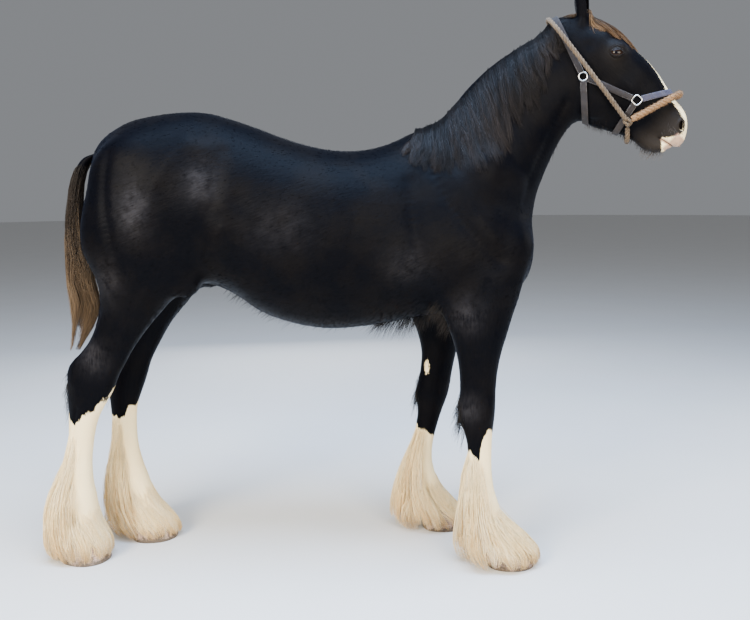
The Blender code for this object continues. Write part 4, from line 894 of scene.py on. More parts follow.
    @staticmethod
    def beside(local: np.ndarray, middle: Sequence, reach: float, side: float = -1.0) -> np.ndarray:
        """Which places lie round a feature in profile, further than side from the middle."""
        s, n, o = local.T
        return (np.hypot(s - middle[0], n - middle[1]) < reach) & (np.abs(o) > side)

    def egg(
        self, place: Sequence, radii: Sequence, tilt: float = 0.0, segments: int = 24, rings: int = 14
    ) -> Shape:
        """An egg on the head, its radii along the face, out of it and across, tilted in profile."""
        axes = (*self.tilted(tilt), self.axes()[2])
        return egg(axes, self.point(*place), radii, segments, rings)

    def ear_axes(self, side: int) -> tuple[np.ndarray, np.ndarray, np.ndarray]:
        """Unit vectors along an ear, out of its opening, and across."""
        axis = unit((0.06, 0.20 * side, 1.0))
        facing = np.array((0.85, 0.55 * side, 0.0))
        facing = unit(facing - axis * facing.dot(axis))
        return axis, facing, np.cross(axis, facing)

    def ear_base(self, side: int) -> np.ndarray:
        """The middle of an ear's root."""
        return self.point(self.ear_root[0], self.ear_root[1], self.ear_root[2] * side)

    def ear_foot(self, side: int) -> Shape:
        """The cone of flesh that an ear stands on."""
        axis, facing, across = self.ear_axes(side)
        rings = []
        for rise, radius in ((-0.070, 0.034), (-0.030, 0.030), (-0.008, 0.0245), (0.012, 0.0235)):
            centre = self.ear_base(side) + axis * rise
            rings.append(section(centre, facing, radius, across * radius, -across * radius))
        return loft(rings)

    def forms(self) -> dict[str, Shape]:
        """The forms that the head is blended from."""
        eye = self.eye
        forms = {"head": self.lofted(self.skull, 66), "jaw": self.lofted(self.jaw, 44)}
        for side in (RIGHT, LEFT):
            word = WORDS[side]
            forms["jowl_" + word] = self.egg((0.265, -0.095, 0.052 * side), (0.105, 0.108, 0.040))
            brow = (eye[0] - 0.012, eye[1] + 0.012, 0.072 * side)
            forms["brow_" + word] = self.egg(brow, (0.045, 0.034, 0.036), self.eye_tilt)
            forms["lid_" + word] = self.egg((eye[0], eye[1], eye[2] * side), self.lid_radii, self.eye_tilt)
            flare = (0.580, 0.022, 0.040 * side)
            forms["nostril_" + word] = self.egg(flare, (0.032, 0.026, 0.026), self.nostril_tilt)
            forms["crest_" + word] = self.egg((0.310, 0.000, 0.066 * side), (0.085, 0.014, 0.024))
            forms["ear_foot_" + word] = self.ear_foot(side)
        return forms

    def cut_plane(self) -> tuple[np.ndarray, np.ndarray]:
        """Middle of the seam behind the ears and jaw, and the way to the nose across it."""
        (s0, n0), (s1, n1) = self.cut
        along, out, left = self.axes()
        line = unit(along * (s1 - s0) + out * (n1 - n0))
        normal = np.cross(line, left)
        return self.point((s0 + s1) / 2, (n0 + n1) / 2), normal * math.copysign(1, normal.dot(along))

    def almond(self, local: np.ndarray) -> tuple[np.ndarray, np.ndarray, np.ndarray]:
        """How places lie to the eye's opening.

        Args:
            local: places in s, n and o.

        Returns:
            Distance along the opening, distance above its middle, and how far inside its edge.
        """
        a, b = turned(local[:, 0], local[:, 1], self.eye, self.eye_tilt)
        length, height = self.eye_opening
        upper, lower = (height * share for share in self.lid_shares)
        arch = np.clip(1 - (2 * a / length) ** 2, -3.0, 1.0)
        inside = np.where(b > 0, upper, lower) * arch - np.abs(b)
        return a, b, inside

    def ball_height(self, a: np.ndarray, b: np.ndarray) -> np.ndarray:
        """How far the eyeball stands out across its own middle."""
        long, tall, deep = self.eye_ball
        return deep * np.sqrt(np.clip(1 - (a / long) ** 2 - (b / tall) ** 2, 0.0, 1.0))

    def nostril_ring(self, local: np.ndarray) -> np.ndarray:
        """How far places lie from the middle of the nostril, 1 at its edge."""
        p, q = turned(local[:, 0], local[:, 1], self.nostril, self.nostril_tilt)
        q = q - self.nostril_bend * (p + 0.004) ** 2
        long, tall = self.nostril_size
        return np.sqrt((2 * p / long) ** 2 + (2 * q / tall) ** 2)

    def mouth_line(self, local: np.ndarray) -> tuple[np.ndarray, np.ndarray, float]:
        """How far places lie along the mouth from its corner and above it, and its length."""
        s, n, _o = local.T
        (s0, n0), (s1, n1) = self.mouth_corner, self.mouth_front
        span = math.hypot(s1 - s0, n1 - n0)
        run = ((s - s0) * (s1 - s0) + (n - n0) * (n1 - n0)) / span
        rise = (-(s - s0) * (n1 - n0) + (n - n0) * (s1 - s0)) / span
        return run, rise, span

    def sculpt(self, points: np.ndarray) -> np.ndarray:
        """Fold the lids round the eyes, open the nostrils and part the lips.

        Args:
            points: the skin's vertices.

        Returns:
            The vertices moved.
        """
        local = self.local(points)
        s, n, o = local.T
        side = np.where(o < 0, -1.0, 1.0)
        away = np.abs(o)
        shift = np.zeros_like(local)
        near = self.within(local, -0.1, 0.68, 0.30, 0.16)
        a, b, inside = self.almond(local)
        outer = (away > 0.045) & near
        ball = self.eye[2] + self.ball_height(a, b)
        hug = np.exp(-(np.clip(-inside, 0, None) / 0.007) ** 2) * outer
        hug *= (np.abs(a) < 0.040) & (np.abs(b) < 0.034)
        lid = ball + 0.0026
        shift[:, 2] += (np.maximum(lid, self.eye[2] + 0.012) - away) * hug * 0.85
        sink = ease(-0.0004, 0.0022, inside) * outer
        shift[:, 2] -= sink * 0.016
        for gap, width, depth in self.lid_folds:
            fold = np.exp(-(((-inside) - gap) / width) ** 2) * (b > 0.002) * ease(0.032, 0.020, np.abs(a))
            shift[:, 2] -= fold * depth * outer
        fold = np.exp(-(((-inside) - 0.0085) / 0.0026) ** 2) * (b < -0.002)
        fold = fold * ease(0.030, 0.016, np.abs(a + 0.004))
        shift[:, 2] -= fold * 0.0016 * outer
        for (s0, n0), radius, height, least in self.swells:
            swell = np.exp(-((s - s0) ** 2 + (n - n0) ** 2) / radius**2) * (away > least) * near
            shift[:, 2] += swell * height
        round_hole = self.nostril_ring(local)
        flank = (away > 0.022) & near
        shift[:, 2] += np.exp(-(((round_hole - 1.45) / 0.42) ** 2)) * 0.0036 * flank
        shift[:, 2] -= ease(1.12, 0.62, round_hole) * 0.020 * flank
        shift[:, 0] -= ease(1.12, 0.62, round_hole) * 0.006 * flank
        run, rise, span = self.mouth_line(local)
        rise = rise + 0.0030 * np.sin(run / span * math.pi) * ease(0.0, 0.05, away)
        part = ease(-0.010, 0.006, run) * near
        inward = -np.exp(-((rise / 0.0022) ** 2)) * 0.0055 * part
        upper = np.exp(-(((rise - 0.0085) / 0.006) ** 2)) * 0.0022
        lower = np.exp(-(((rise + 0.0085) / 0.006) ** 2)) * 0.0024
        lips = (upper + lower) * part
        middle = self.point(0.545, -0.055, 0.0)
        outward = unit(points - middle)
        shift[:, 2] *= side
        moved = points + shift @ np.stack(self.axes())
        return moved + outward * (inward + lips)[:, None]


@dataclass(frozen=True)
class Stroke:
    """A soft ridge or groove down one flank, mirrored on the other."""

    path: Rows
    width: float
    height: float


@dataclass(frozen=True)
class Markings:
    """Where the coat is white, bare, pink, stained or dusty, and where shade is painted into the eye
    openings, nostrils and mouth line.
    """

    # Lower edge of the black on each leg: x, z.
    edges: tuple = (
        ("fore", RIGHT, ((0.290, 0.482), (0.329, 0.466), (0.360, 0.446), (0.392, 0.423),
                         (0.399, 0.482), (0.410, 0.520), (0.425, 0.532), (0.456, 0.526))),
        ("fore", LEFT, ((0.150, 0.470), (0.168, 0.462), (0.184, 0.410), (0.204, 0.440),
                        (0.228, 0.418), (0.252, 0.394), (0.282, 0.440), (0.310, 0.452))),
        ("hind", RIGHT, ((-1.230, 0.604), (-1.205, 0.592), (-1.182, 0.560), (-1.140, 0.586),
                         (-1.109, 0.610), (-1.060, 0.650), (-1.015, 0.702))),
        ("hind", LEFT, ((-1.130, 0.562), (-1.112, 0.516), (-1.070, 0.516), (-1.030, 0.560), (-0.994, 0.587))),
    )
    # Half width of the blaze along the face.
    blaze: Rows = (
        (0.030, 0.000), (0.070, 0.010), (0.110, 0.021), (0.180, 0.019), (0.260, 0.018), (0.360, 0.019),
        (0.430, 0.022), (0.500, 0.028), (0.550, 0.036), (0.590, 0.046), (0.620, 0.050), (0.660, 0.050),
    )
    # Rear edge of the white round the mouth: n, s.
    lip: Rows = (
        (-0.110, 0.625), (-0.082, 0.590), (-0.056, 0.562), (-0.042, 0.577), (-0.018, 0.597), (0.004, 0.607),
        (0.032, 0.615),
    )
    # Dust: middle x and z, half length, half height, strength.
    dust: Rows = (
        (-0.890, 1.400, 0.055, 0.095, 0.75),
        (-0.640, 1.490, 0.065, 0.070, 0.55),
        (-1.085, 0.830, 0.050, 0.055, 0.80),
        (0.340, 0.990, 0.060, 0.065, 0.55),
        (-1.010, 1.120, 0.060, 0.080, 0.45),
        (0.345, 0.620, 0.045, 0.050, 0.60),
        (0.120, 1.180, 0.090, 0.070, 0.30),
        (-0.350, 1.320, 0.120, 0.090, 0.22),
    )
    spot: tuple[float, float, float, float] = (0.215, 0.705, 0.0095, 0.028)
    # What stands where no white is near, and the height that the stockings stay below.
    none: float = -0.05
    top: float = 0.80

    def legs(self, points: np.ndarray) -> np.ndarray:
        """How far into a white stocking each place lies, in metres."""
        x, y, z = points.T
        white = np.full(len(points), -1.0)
        for word, side, edge in self.edges:
            ours = (y * side > -0.001) & (z < self.top) & ((x > -0.4) == (word == "fore"))
            edge_x, edge_z = np.array(edge).T
            ripple = 0.008 * np.sin(x * 95.0 + y * 60.0) + 0.005 * np.sin(x * 230.0 - y * 150.0)
            white = np.where(ours, np.interp(x, edge_x, edge_z) + ripple - z, white)
        spot = 1 - np.hypot((x - self.spot[0]) / self.spot[2], (z - self.spot[1]) / self.spot[3])
        spot = np.where((y > 0) & (y < 0.19), spot, -1.0)
        return np.maximum(white, spot * 0.01)

    def face(self, local: np.ndarray) -> np.ndarray:
        """How far into the blaze or the lip's white patch each place lies."""
        s, n, o = local.T
        wide_s, wide = np.array(self.blaze).T
        drift = -0.0045 - 0.002 * np.sin(s * 16.0)
        front = np.interp(s, (0.0, 0.55, 0.60, 0.64), (0.035, 0.030, -0.020, -0.040))
        half = np.interp(s, wide_s, wide, left=self.none, right=self.none)
        blaze = np.where(n > front, half - np.abs(o - drift), self.none)
        blaze = np.where((s > 0.02) & (s < 0.66) & (np.abs(o) < 0.12), blaze, self.none)
        edge_n, edge_s = np.array(self.lip).T
        lip = (s - np.interp(n, edge_n, edge_s)) * 0.8
        lip = np.where((s > 0.5) & (n < 0.032) & (np.abs(o) < 0.12), lip, self.none)
        nose = np.where(np.abs(o) > 0.018, np.hypot(s - 0.569, n - 0.024) - 0.0185, 0.05)
        return np.minimum(np.maximum(blaze, lip), nose)

    def read(self, head: Head, points: np.ndarray) -> dict[str, np.ndarray]:
        """All the markings at some places, with the painted shade of the eye openings, nostrils and mouth
        line.

        Args:
            head: the head that the face markings lie on.
            points: the places.

        Returns:
            One number for each place under each marking's name.
        """
        x, _y, z = points.T
        local = head.local(points)
        s, n, o = local.T
        on_head = head.within(local, -0.02, 0.68, 0.32, 0.16)
        white = np.where(on_head & (z > 1.3), self.face(local), self.none)
        white = np.where(z < self.top, self.legs(points), white)
        dust = np.zeros(len(points))
        for x0, z0, long, tall, strength in self.dust:
            dust = np.maximum(dust, strength * np.exp(-(((x - x0) / long) ** 2) - ((z - z0) / tall) ** 2))
        bare = ease(0.475, 0.600, s + 0.25 * np.clip(-n - 0.01, 0, 0.1)) * on_head
        round_eye = np.hypot(s - head.eye[0], n - head.eye[1])
        ring = np.exp(-((round_eye / 0.042) ** 2)) * (np.abs(o) > 0.05) * on_head
        run, rise, _span = head.mouth_line(local)
        lips = ease(0.584, 0.604, s) * ease(0.004, -0.014, n) * ease(-0.095, -0.075, n) * on_head
        lips = np.maximum(lips, np.exp(-((rise / 0.008) ** 2)) * ease(0.0, 0.02, run) * (s > 0.55) * on_head)
        # hole: painted shade inside the eye opening, in the nostril pit and along the parting of the lips
        _a, _b, inside = head.almond(local)
        hole = ease(0.0006, 0.0026, inside) * (np.abs(o) > 0.045) * on_head
        pit = ease(1.05, 0.70, head.nostril_ring(local)) * (np.abs(o) > 0.022) * on_head
        slit = np.exp(-((rise / 0.0018) ** 2)) * 0.8 * ease(-0.008, 0.004, run) * (s > 0.545) * on_head
        hole = np.maximum(np.maximum(hole, pit), slit)
        knee = np.exp(-(((z - 0.60) / 0.16) ** 2)) * (z < self.top)
        return {
            "white": white,
            "dust": dust,
            "bare": np.maximum(bare, ring * 0.5),
            "pink": lips,
            "hole": hole,
            "stain": np.where(z < self.top, 0.35 + 0.65 * ease(0.20, 0.02, z), 0.10),
            "shade": np.maximum(knee * 0.4, on_head * 0.5),
        }


@dataclass(frozen=True)
class Body:
    """The trunk, neck, head and legs, blended into one skin."""

    head: Head = Head()
    markings: Markings = Markings()
    # Torso: x, top z, bottom z, widest z, half width, top power, low power.
    torso: Rows = (
        (-1.118, 1.590, 1.400, 1.490, 0.050, 2.0, 2.0),
        (-1.085, 1.652, 1.300, 1.470, 0.130, 2.0, 2.0),
        (-1.030, 1.698, 1.210, 1.450, 0.195, 2.1, 2.0),
        (-0.950, 1.738, 1.140, 1.430, 0.250, 2.2, 2.0),
        (-0.860, 1.757, 1.100, 1.420, 0.278, 2.3, 2.0),
        (-0.760, 1.769, 1.080, 1.400, 0.290, 2.3, 2.0),
        (-0.660, 1.767, 1.085, 1.370, 0.292, 2.3, 2.0),
        (-0.560, 1.741, 1.045, 1.330, 0.294, 2.3, 2.0),
        (-0.460, 1.706, 0.977, 1.290, 0.302, 2.3, 2.1),
        (-0.340, 1.660, 0.930, 1.260, 0.313, 2.3, 2.2),
        (-0.200, 1.622, 0.905, 1.240, 0.318, 2.3, 2.2),
        (-0.060, 1.614, 0.910, 1.230, 0.314, 2.2, 2.2),
        (0.060, 1.642, 0.928, 1.220, 0.300, 1.9, 2.2),
        (0.160, 1.690, 0.945, 1.220, 0.285, 1.6, 2.2),
        (0.260, 1.700, 0.958, 1.220, 0.272, 1.6, 2.2),
        (0.360, 1.660, 0.970, 1.220, 0.262, 1.8, 2.2),
        (0.460, 1.560, 0.990, 1.220, 0.240, 2.0, 2.1),
        (0.540, 1.450, 1.030, 1.220, 0.205, 2.0, 2.0),
        (0.595, 1.370, 1.090, 1.230, 0.160, 2.0, 2.0),
        (0.628, 1.320, 1.170, 1.250, 0.090, 2.0, 2.0),
    )
    # Neck: crest x, crest z, lower x, lower z, centre y, half width, crest power, low power.
    neck: Rows = (
        (0.020, 1.600, 0.500, 1.080, 0.000, 0.210, 1.7, 2.0),
        (0.120, 1.675, 0.600, 1.230, 0.000, 0.205, 1.6, 2.0),
        (0.200, 1.706, 0.628, 1.330, 0.000, 0.190, 1.6, 2.0),
        (0.262, 1.740, 0.645, 1.425, 0.000, 0.168, 1.6, 2.0),
        (0.318, 1.796, 0.668, 1.490, -0.002, 0.146, 1.6, 2.0),
        (0.380, 1.868, 0.692, 1.548, -0.004, 0.128, 1.6, 2.0),
        (0.456, 1.938, 0.720, 1.608, -0.007, 0.114, 1.6, 2.0),
        (0.536, 1.992, 0.752, 1.665, -0.011, 0.105, 1.6, 2.0),
        (0.606, 2.036, 0.795, 1.712, -0.016, 0.099, 1.7, 2.0),
        (0.665, 2.068, 0.850, 1.770, -0.022, 0.092, 1.8, 2.0),
        (0.715, 2.078, 0.900, 1.850, -0.030, 0.080, 2.0, 2.0),
    )
    # Legs: z, depth, half width, back power, front x of the right leg, of the left leg.
    fore: Rows = (
        (1.160, 0.390, 0.092, 2.0, 0.590, 0.455),
        (1.050, 0.345, 0.094, 2.0, 0.556, 0.428),
        (0.980, 0.280, 0.088, 2.0, 0.530, 0.405),
        (0.910, 0.228, 0.080, 2.0, 0.508, 0.380),
        (0.830, 0.180, 0.070, 2.0, 0.484, 0.359),
        (0.760, 0.155, 0.062, 2.0, 0.470, 0.346),
        (0.690, 0.145, 0.057, 2.0, 0.463, 0.331),
        (0.640, 0.146, 0.060, 2.1, 0.461, 0.323),
        (0.600, 0.150, 0.063, 1.9, 0.460, 0.316),
        (0.560, 0.140, 0.058, 1.8, 0.456, 0.304),
        (0.520, 0.116, 0.049, 1.9, 0.450, 0.289),
        (0.450, 0.101, 0.042, 2.0, 0.448, 0.267),
        (0.380, 0.100, 0.041, 2.0, 0.448, 0.249),
        (0.310, 0.108, 0.046, 2.0, 0.454, 0.241),
        (0.260, 0.126, 0.056, 2.0, 0.468, 0.248),
        (0.210, 0.124, 0.054, 2.0, 0.484, 0.264),
        (0.160, 0.122, 0.052, 2.0, 0.512, 0.292),
        (0.120, 0.140, 0.066, 2.0, 0.540, 0.320),
        (0.070, 0.155, 0.074, 2.0, 0.562, 0.342),
        (0.020, 0.155, 0.074, 2.0, 0.575, 0.355),
    )
    hind: Rows = (
        (1.500, 0.420, 0.130, 2.0, -0.670, -0.640),
        (1.360, 0.480, 0.145, 2.0, -0.645, -0.615),
        (1.240, 0.475, 0.140, 2.0, -0.650, -0.615),
        (1.130, 0.385, 0.122, 2.0, -0.690, -0.655),
        (1.050, 0.292, 0.104, 2.0, -0.770, -0.735),
        (0.970, 0.232, 0.088, 1.9, -0.846, -0.808),
        (0.900, 0.203, 0.075, 1.8, -0.903, -0.862),
        (0.840, 0.206, 0.066, 1.6, -0.945, -0.895),
        (0.790, 0.228, 0.062, 1.5, -0.973, -0.922),
        (0.745, 0.213, 0.063, 1.6, -1.000, -0.943),
        (0.690, 0.190, 0.064, 1.7, -1.022, -0.960),
        (0.630, 0.153, 0.058, 1.8, -1.058, -0.980),
        (0.575, 0.125, 0.050, 1.9, -1.088, -1.000),
        (0.520, 0.112, 0.045, 2.0, -1.105, -1.008),
        (0.450, 0.106, 0.043, 2.0, -1.118, -1.008),
        (0.380, 0.106, 0.043, 2.0, -1.125, -1.000),
        (0.310, 0.114, 0.048, 2.0, -1.124, -0.982),
        (0.260, 0.130, 0.058, 2.0, -1.116, -0.965),
        (0.210, 0.128, 0.056, 2.0, -1.110, -0.948),
        (0.160, 0.124, 0.053, 2.0, -1.102, -0.926),
        (0.120, 0.140, 0.066, 2.0, -1.092, -0.905),
        (0.070, 0.155, 0.074, 2.0, -1.086, -0.888),
        (0.020, 0.155, 0.074, 2.0, -1.080, -0.880),
    )
    # Distance of each leg's middle from the midline, by height.
    fore_y: Rows = ((0.00, 0.190), (0.60, 0.190), (0.90, 0.184), (1.16, 0.165))
    hind_y: Rows = ((0.00, 0.102), (0.30, 0.108), (0.75, 0.128), (1.13, 0.150), (1.50, 0.140))
    # Muscles: name, middle, radii, lean forward in degrees, leg they move with.
    muscles: tuple = (
        ("shoulder", (0.330, 0.160, 1.370), (0.120, 0.072, 0.280), 32, "fore"),
        ("shoulder_point", (0.500, 0.135, 1.230), (0.120, 0.098, 0.130), 0, "fore"),
        ("triceps", (0.310, 0.180, 1.150), (0.160, 0.084, 0.150), 25, "fore"),
        ("breast", (0.545, 0.075, 1.190), (0.080, 0.085, 0.130), 0, "none"),
        ("haunch", (-0.880, 0.140, 1.500), (0.220, 0.130, 0.200), -20, "none"),
        ("hip_point", (-0.650, 0.195, 1.590), (0.090, 0.068, 0.080), 0, "none"),
        ("stifle", (-0.745, 0.165, 1.160), (0.085, 0.080, 0.120), -20, "hind"),
        ("buttock", (-1.030, 0.095, 1.370), (0.095, 0.090, 0.180), 0, "none"),
    )
    # Middle x and y that each leg is unwrapped round.
    leg_middles: Rows = ((0.40, -0.19), (0.27, 0.19), (-1.10, -0.12), (-0.98, 0.12))
    left_fore_back: float = 0.12
    left_hind_forward: float = 0.035
    body_voxel: float = 0.010
    head_voxel: float = 0.005
    skin_voxel: float = 0.0055
    seam_reach: float = 0.05
    sole: float = 0.086
    triangles: int = 196000
    trunk_triangles: int = 118000
    # Seen muscle edges, hollows and folds: x, z along each.
    strokes: tuple = (
        Stroke(((0.190, 1.600), (0.270, 1.420), (0.380, 1.270), (0.470, 1.190)), 0.022, -0.0050),
        Stroke(((0.130, 1.480), (0.150, 1.300), (0.190, 1.120), (0.240, 1.010)), 0.028, -0.0060),
        Stroke(((0.300, 1.500), (0.380, 1.370), (0.450, 1.280)), 0.030, 0.0045),
        Stroke(((0.330, 1.180), (0.260, 1.110), (0.220, 1.060)), 0.030, 0.0050),
        Stroke(((0.420, 1.110), (0.400, 1.020), (0.385, 0.930), (0.380, 0.840)), 0.014, -0.0045),
        Stroke(((0.300, 1.010), (0.320, 0.930), (0.340, 0.850), (0.350, 0.770)), 0.014, 0.0035),
        Stroke(((0.480, 1.620), (0.590, 1.500), (0.610, 1.380)), 0.024, -0.0050),
        Stroke(((0.740, 1.780), (0.680, 1.650), (0.620, 1.520), (0.580, 1.400)), 0.016, -0.0050),
        Stroke(((-0.560, 1.600), (-0.590, 1.450), (-0.640, 1.300), (-0.660, 1.180)), 0.030, -0.0070),
        Stroke(((-0.560, 1.320), (-0.640, 1.200), (-0.680, 1.110)), 0.022, 0.0060),
        Stroke(((-0.700, 1.640), (-0.800, 1.500), (-0.860, 1.350), (-0.860, 1.200)), 0.036, 0.0060),
        Stroke(((-0.990, 1.600), (-1.000, 1.450), (-0.980, 1.300), (-0.950, 1.150)), 0.020, -0.0065),
        Stroke(((-0.760, 1.250), (-0.850, 1.130), (-0.930, 1.030), (-0.985, 0.930)), 0.018, -0.0045),
        Stroke(((-0.850, 1.080), (-0.920, 0.980), (-0.970, 0.900)), 0.016, 0.0040),
        Stroke(((-1.060, 0.990), (-1.105, 0.900), (-1.150, 0.830)), 0.010, -0.0050),
        Stroke(((-1.160, 0.835), (-1.170, 0.780), (-1.175, 0.720)), 0.018, 0.0045),
        Stroke(((-1.020, 0.780), (-1.045, 0.720), (-1.070, 0.660)), 0.016, 0.0040),
        Stroke(((-0.500, 1.420), (-0.380, 1.280), (-0.300, 1.100)), 0.030, -0.0030),
        Stroke(((0.020, 1.350), (0.000, 1.200), (0.010, 1.050)), 0.016, 0.0018),
        Stroke(((-0.070, 1.360), (-0.100, 1.200), (-0.100, 1.040)), 0.016, 0.0018),
        Stroke(((-0.160, 1.360), (-0.200, 1.200), (-0.210, 1.040)), 0.016, 0.0018),
        Stroke(((0.430, 0.640), (0.430, 0.590)), 0.018, 0.0040),
        Stroke(((0.385, 0.540), (0.372, 0.450), (0.372, 0.360)), 0.008, -0.0040),
        Stroke(((-1.165, 0.620), (-1.185, 0.520), (-1.195, 0.420)), 0.008, -0.0040),
    )

    def leg(self, rows: Rows, table: Rows, side: int) -> Shape:
        """A leg as level sections from its stations."""
        heights = [row[0] for row in rows]
        spread = [row[1] for row in rows]
        column = 4 if side == RIGHT else 5
        rings = []
        for values in through(table, 4 * len(table)):
            z, depth, half, back_power = values[:4]
            centre = (values[column] - depth / 2, side * np.interp(z, heights, spread), z)
            front = (depth / 2, 0, 0)
            rings.append(section(centre, (0, 1, 0), half, front, (-depth / 2, 0, 0), 2.2, back_power))
        return loft(rings)

    @staticmethod
    def muscle(centre: Sequence, radii: Sequence, lean: float) -> Shape:
        """An egg-shaped muscle, leaning forward by some degrees."""
        turn = math.radians(lean)
        front = (math.cos(turn), 0, -math.sin(turn))
        return egg((front, (0, 1, 0), (math.sin(turn), 0, math.cos(turn))), centre, radii)

    def neck_form(self) -> Shape:
        """The neck, from inside the shoulders to inside the skull."""
        rings = []
        for crest_x, crest_z, low_x, low_z, y, half, top_power, low_power in through(self.neck, 44):
            crest = np.array((crest_x, y, crest_z))
            low = np.array((low_x, y, low_z))
            centre = crest * 0.42 + low * 0.58
            rings.append(section(centre, (0, 1, 0), half, crest - centre, low - centre, top_power, low_power))
        return loft(rings)

    def forms(self) -> dict[str, Shape]:
        """The forms that the trunk and legs are blended from."""
        rings = []
        for x, top, low, wide, half, top_power, low_power in through(self.torso, 76):
            rise, drop = (0, 0, top - wide), (0, 0, low - wide)
            rings.append(section((x, 0, wide), (0, 1, 0), half, rise, drop, top_power, low_power))
        forms = {"torso": loft(rings), "neck": self.neck_form()}
        forms["head"] = self.head.lofted(self.head.skull, 66)
        forms["jaw"] = self.head.lofted(self.head.jaw, 44)
        for side in (RIGHT, LEFT):
            word = WORDS[side]
            forms["fore_" + word] = self.leg(self.fore_y, self.fore, side)
            forms["hind_" + word] = self.leg(self.hind_y, self.hind, side)
            for name, centre, radii, lean, moves in self.muscles:
                x = centre[0]
                if side == LEFT and moves == "fore":
                    x -= self.left_fore_back * 0.5
                if side == LEFT and moves == "hind":
                    x += self.left_hind_forward
                forms[name + "_" + word] = self.muscle((x, centre[1] * side, centre[2]), radii, lean)
        return forms

    @staticmethod
    def crease(points: np.ndarray, forms: dict[str, Shape], reach: float) -> np.ndarray:
        """How near each point lies to the crease between two forms, from 0 to 1."""
        near = np.full((len(points), 2), reach)
        for form_verts, form_faces in forms.values():
            tree = BVHTree.FromPolygons([tuple(v) for v in form_verts], form_faces)
            box = np.array(form_verts)
            inside = np.all((points > box.min(0) - reach) & (points < box.max(0) + reach), axis=1)
            for index in np.nonzero(inside)[0]:
                hit = tree.find_nearest(Vector(points[index]), float(near[index, 1]))
                if hit[0] is None:
                    continue
                if hit[3] < near[index, 0]:
                    near[index] = (hit[3], near[index, 0])
                elif hit[3] < near[index, 1]:
                    near[index, 1] = hit[3]
        return np.clip(1 - near[:, 1] / reach, 0, 1)

    @staticmethod
    def remesh(item: bpy.types.Object, voxel: float) -> None:
        """Wrap an object's closed forms in one even skin."""
        skin = item.modifiers.new("skin", "REMESH")
        skin.mode = "VOXEL"
        skin.voxel_size = voxel
        settle(item)

    def blended(
        self, forms: dict[str, Shape], name: str, voxel: float, reach: float, rounds: int
    ) -> bpy.types.Object:
        """One smooth skin round the forms."""
        verts: list = []
        faces: list = []
        for form_verts, form_faces in forms.values():
            start = len(verts)
            verts.extend(form_verts)
            faces.extend(tuple(start + k for k in face) for face in form_faces)
        item = make_object(name, verts, faces)
        self.remesh(item, voxel)
        points = mesh_points(item.data)
        weight = self.crease(points, forms, reach)
        relax(points, mesh_edges(item.data), 0.10 + 0.5 * weight, rounds)
        set_points(item.data, points)
        return item

    @staticmethod
    def bisect(item: bpy.types.Object, middle: np.ndarray, normal: np.ndarray) -> None:
        """Keep what lies behind a plane, and close the cut."""
        work = bmesh.new()
        work.from_mesh(item.data)
        every = work.verts[:] + work.edges[:] + work.faces[:]
        cut = bmesh.ops.bisect_plane(work, geom=every, plane_co=middle, plane_no=normal, clear_outer=True)
        edges = [e for e in cut["geom_cut"] if isinstance(e, bmesh.types.BMEdge)]
        bmesh.ops.triangle_fill(work, edges=edges, use_beauty=False)
        work.to_mesh(item.data)
        work.free()

    def joined(self) -> bpy.types.Object:
        """The trunk and the finer head as one even skin."""
        head_forms = self.head.forms()
        head_forms["neck"] = self.neck_form()
        body = self.blended(self.forms(), "trunk", self.body_voxel, 0.08, 40)
        head = self.blended(head_forms, "face", self.head_voxel, 0.03, 30)
        middle, normal = self.head.cut_plane()
        tree = tree_of([body.data])
        points = mesh_points(head.data)
        away = np.abs((points - middle) @ normal)
        for index in np.nonzero(away < self.seam_reach)[0]:
            f = away[index] / self.seam_reach
            hit = np.array(tree.find_nearest(Vector(points[index]))[0])
            points[index] += (hit - points[index]) * (1 - f * f * (3 - 2 * f))
        set_points(head.data, points)
        self.bisect(body, middle + normal * 0.008, normal)
        self.bisect(body, np.array((0.0, 0.0, self.sole)), np.array((0.0, 0.0, -1.0)))
        self.bisect(head, middle - normal * 0.008, -normal)
        start = len(body.data.vertices)
        verts = np.concatenate((mesh_points(body.data), mesh_points(head.data)))
        faces = [tuple(f.vertices) for f in body.data.polygons]
        faces.extend(tuple(start + k for k in f.vertices) for f in head.data.polygons)
        for part in (body, head):
            bpy.data.objects.remove(part, do_unlink=True)
        skin = make_object("skin", verts, faces)
        self.remesh(skin, self.skin_voxel)
        points = mesh_points(skin.data)
        away = np.abs((points - middle) @ normal)
        relax(points, mesh_edges(skin.data), 0.10 + 0.5 * ease(0.05, 0.01, away), 14)
        set_points(skin.data, points)
        return skin

    def refine(self, skin: bpy.types.Object) -> None:
        """Give the face, and most of all its features, finer faces."""
        head = self.head
        for level in (1, 2):
            work = bmesh.new()
            work.from_mesh(skin.data)
            work.faces.ensure_lookup_table()
            centres = np.array([f.calc_center_median()[:] for f in work.faces])
            local = head.local(centres)
            s, n, o = local.T
            if level == 1:
                chosen = head.within(local, 0.06, 0.68, 0.26, 0.15)
            else:
                chosen = head.beside(local, head.eye, 0.034, 0.05)
                chosen |= head.beside(local, head.nostril, 0.034, 0.018)
                chosen |= (s > 0.535) & (s < 0.66) & (np.abs(n + 0.055) < 0.016)
                chosen &= np.abs(o) < 0.15
            edges = {e for k in np.nonzero(chosen)[0] for e in work.faces[k].edges}
            bmesh.ops.subdivide_edges(work, edges=list(edges), cuts=1, use_grid_fill=True)
            bmesh.ops.triangulate(work, faces=[f for f in work.faces if len(f.verts) > 4])
            work.to_mesh(skin.data)
            work.free()
            points = mesh_points(skin.data)
            inside = head.within(head.local(points), 0.05, 0.70, 0.28, 0.16)
            relax(points, mesh_edges(skin.data), 0.45 * inside, 4)
            set_points(skin.data, points)

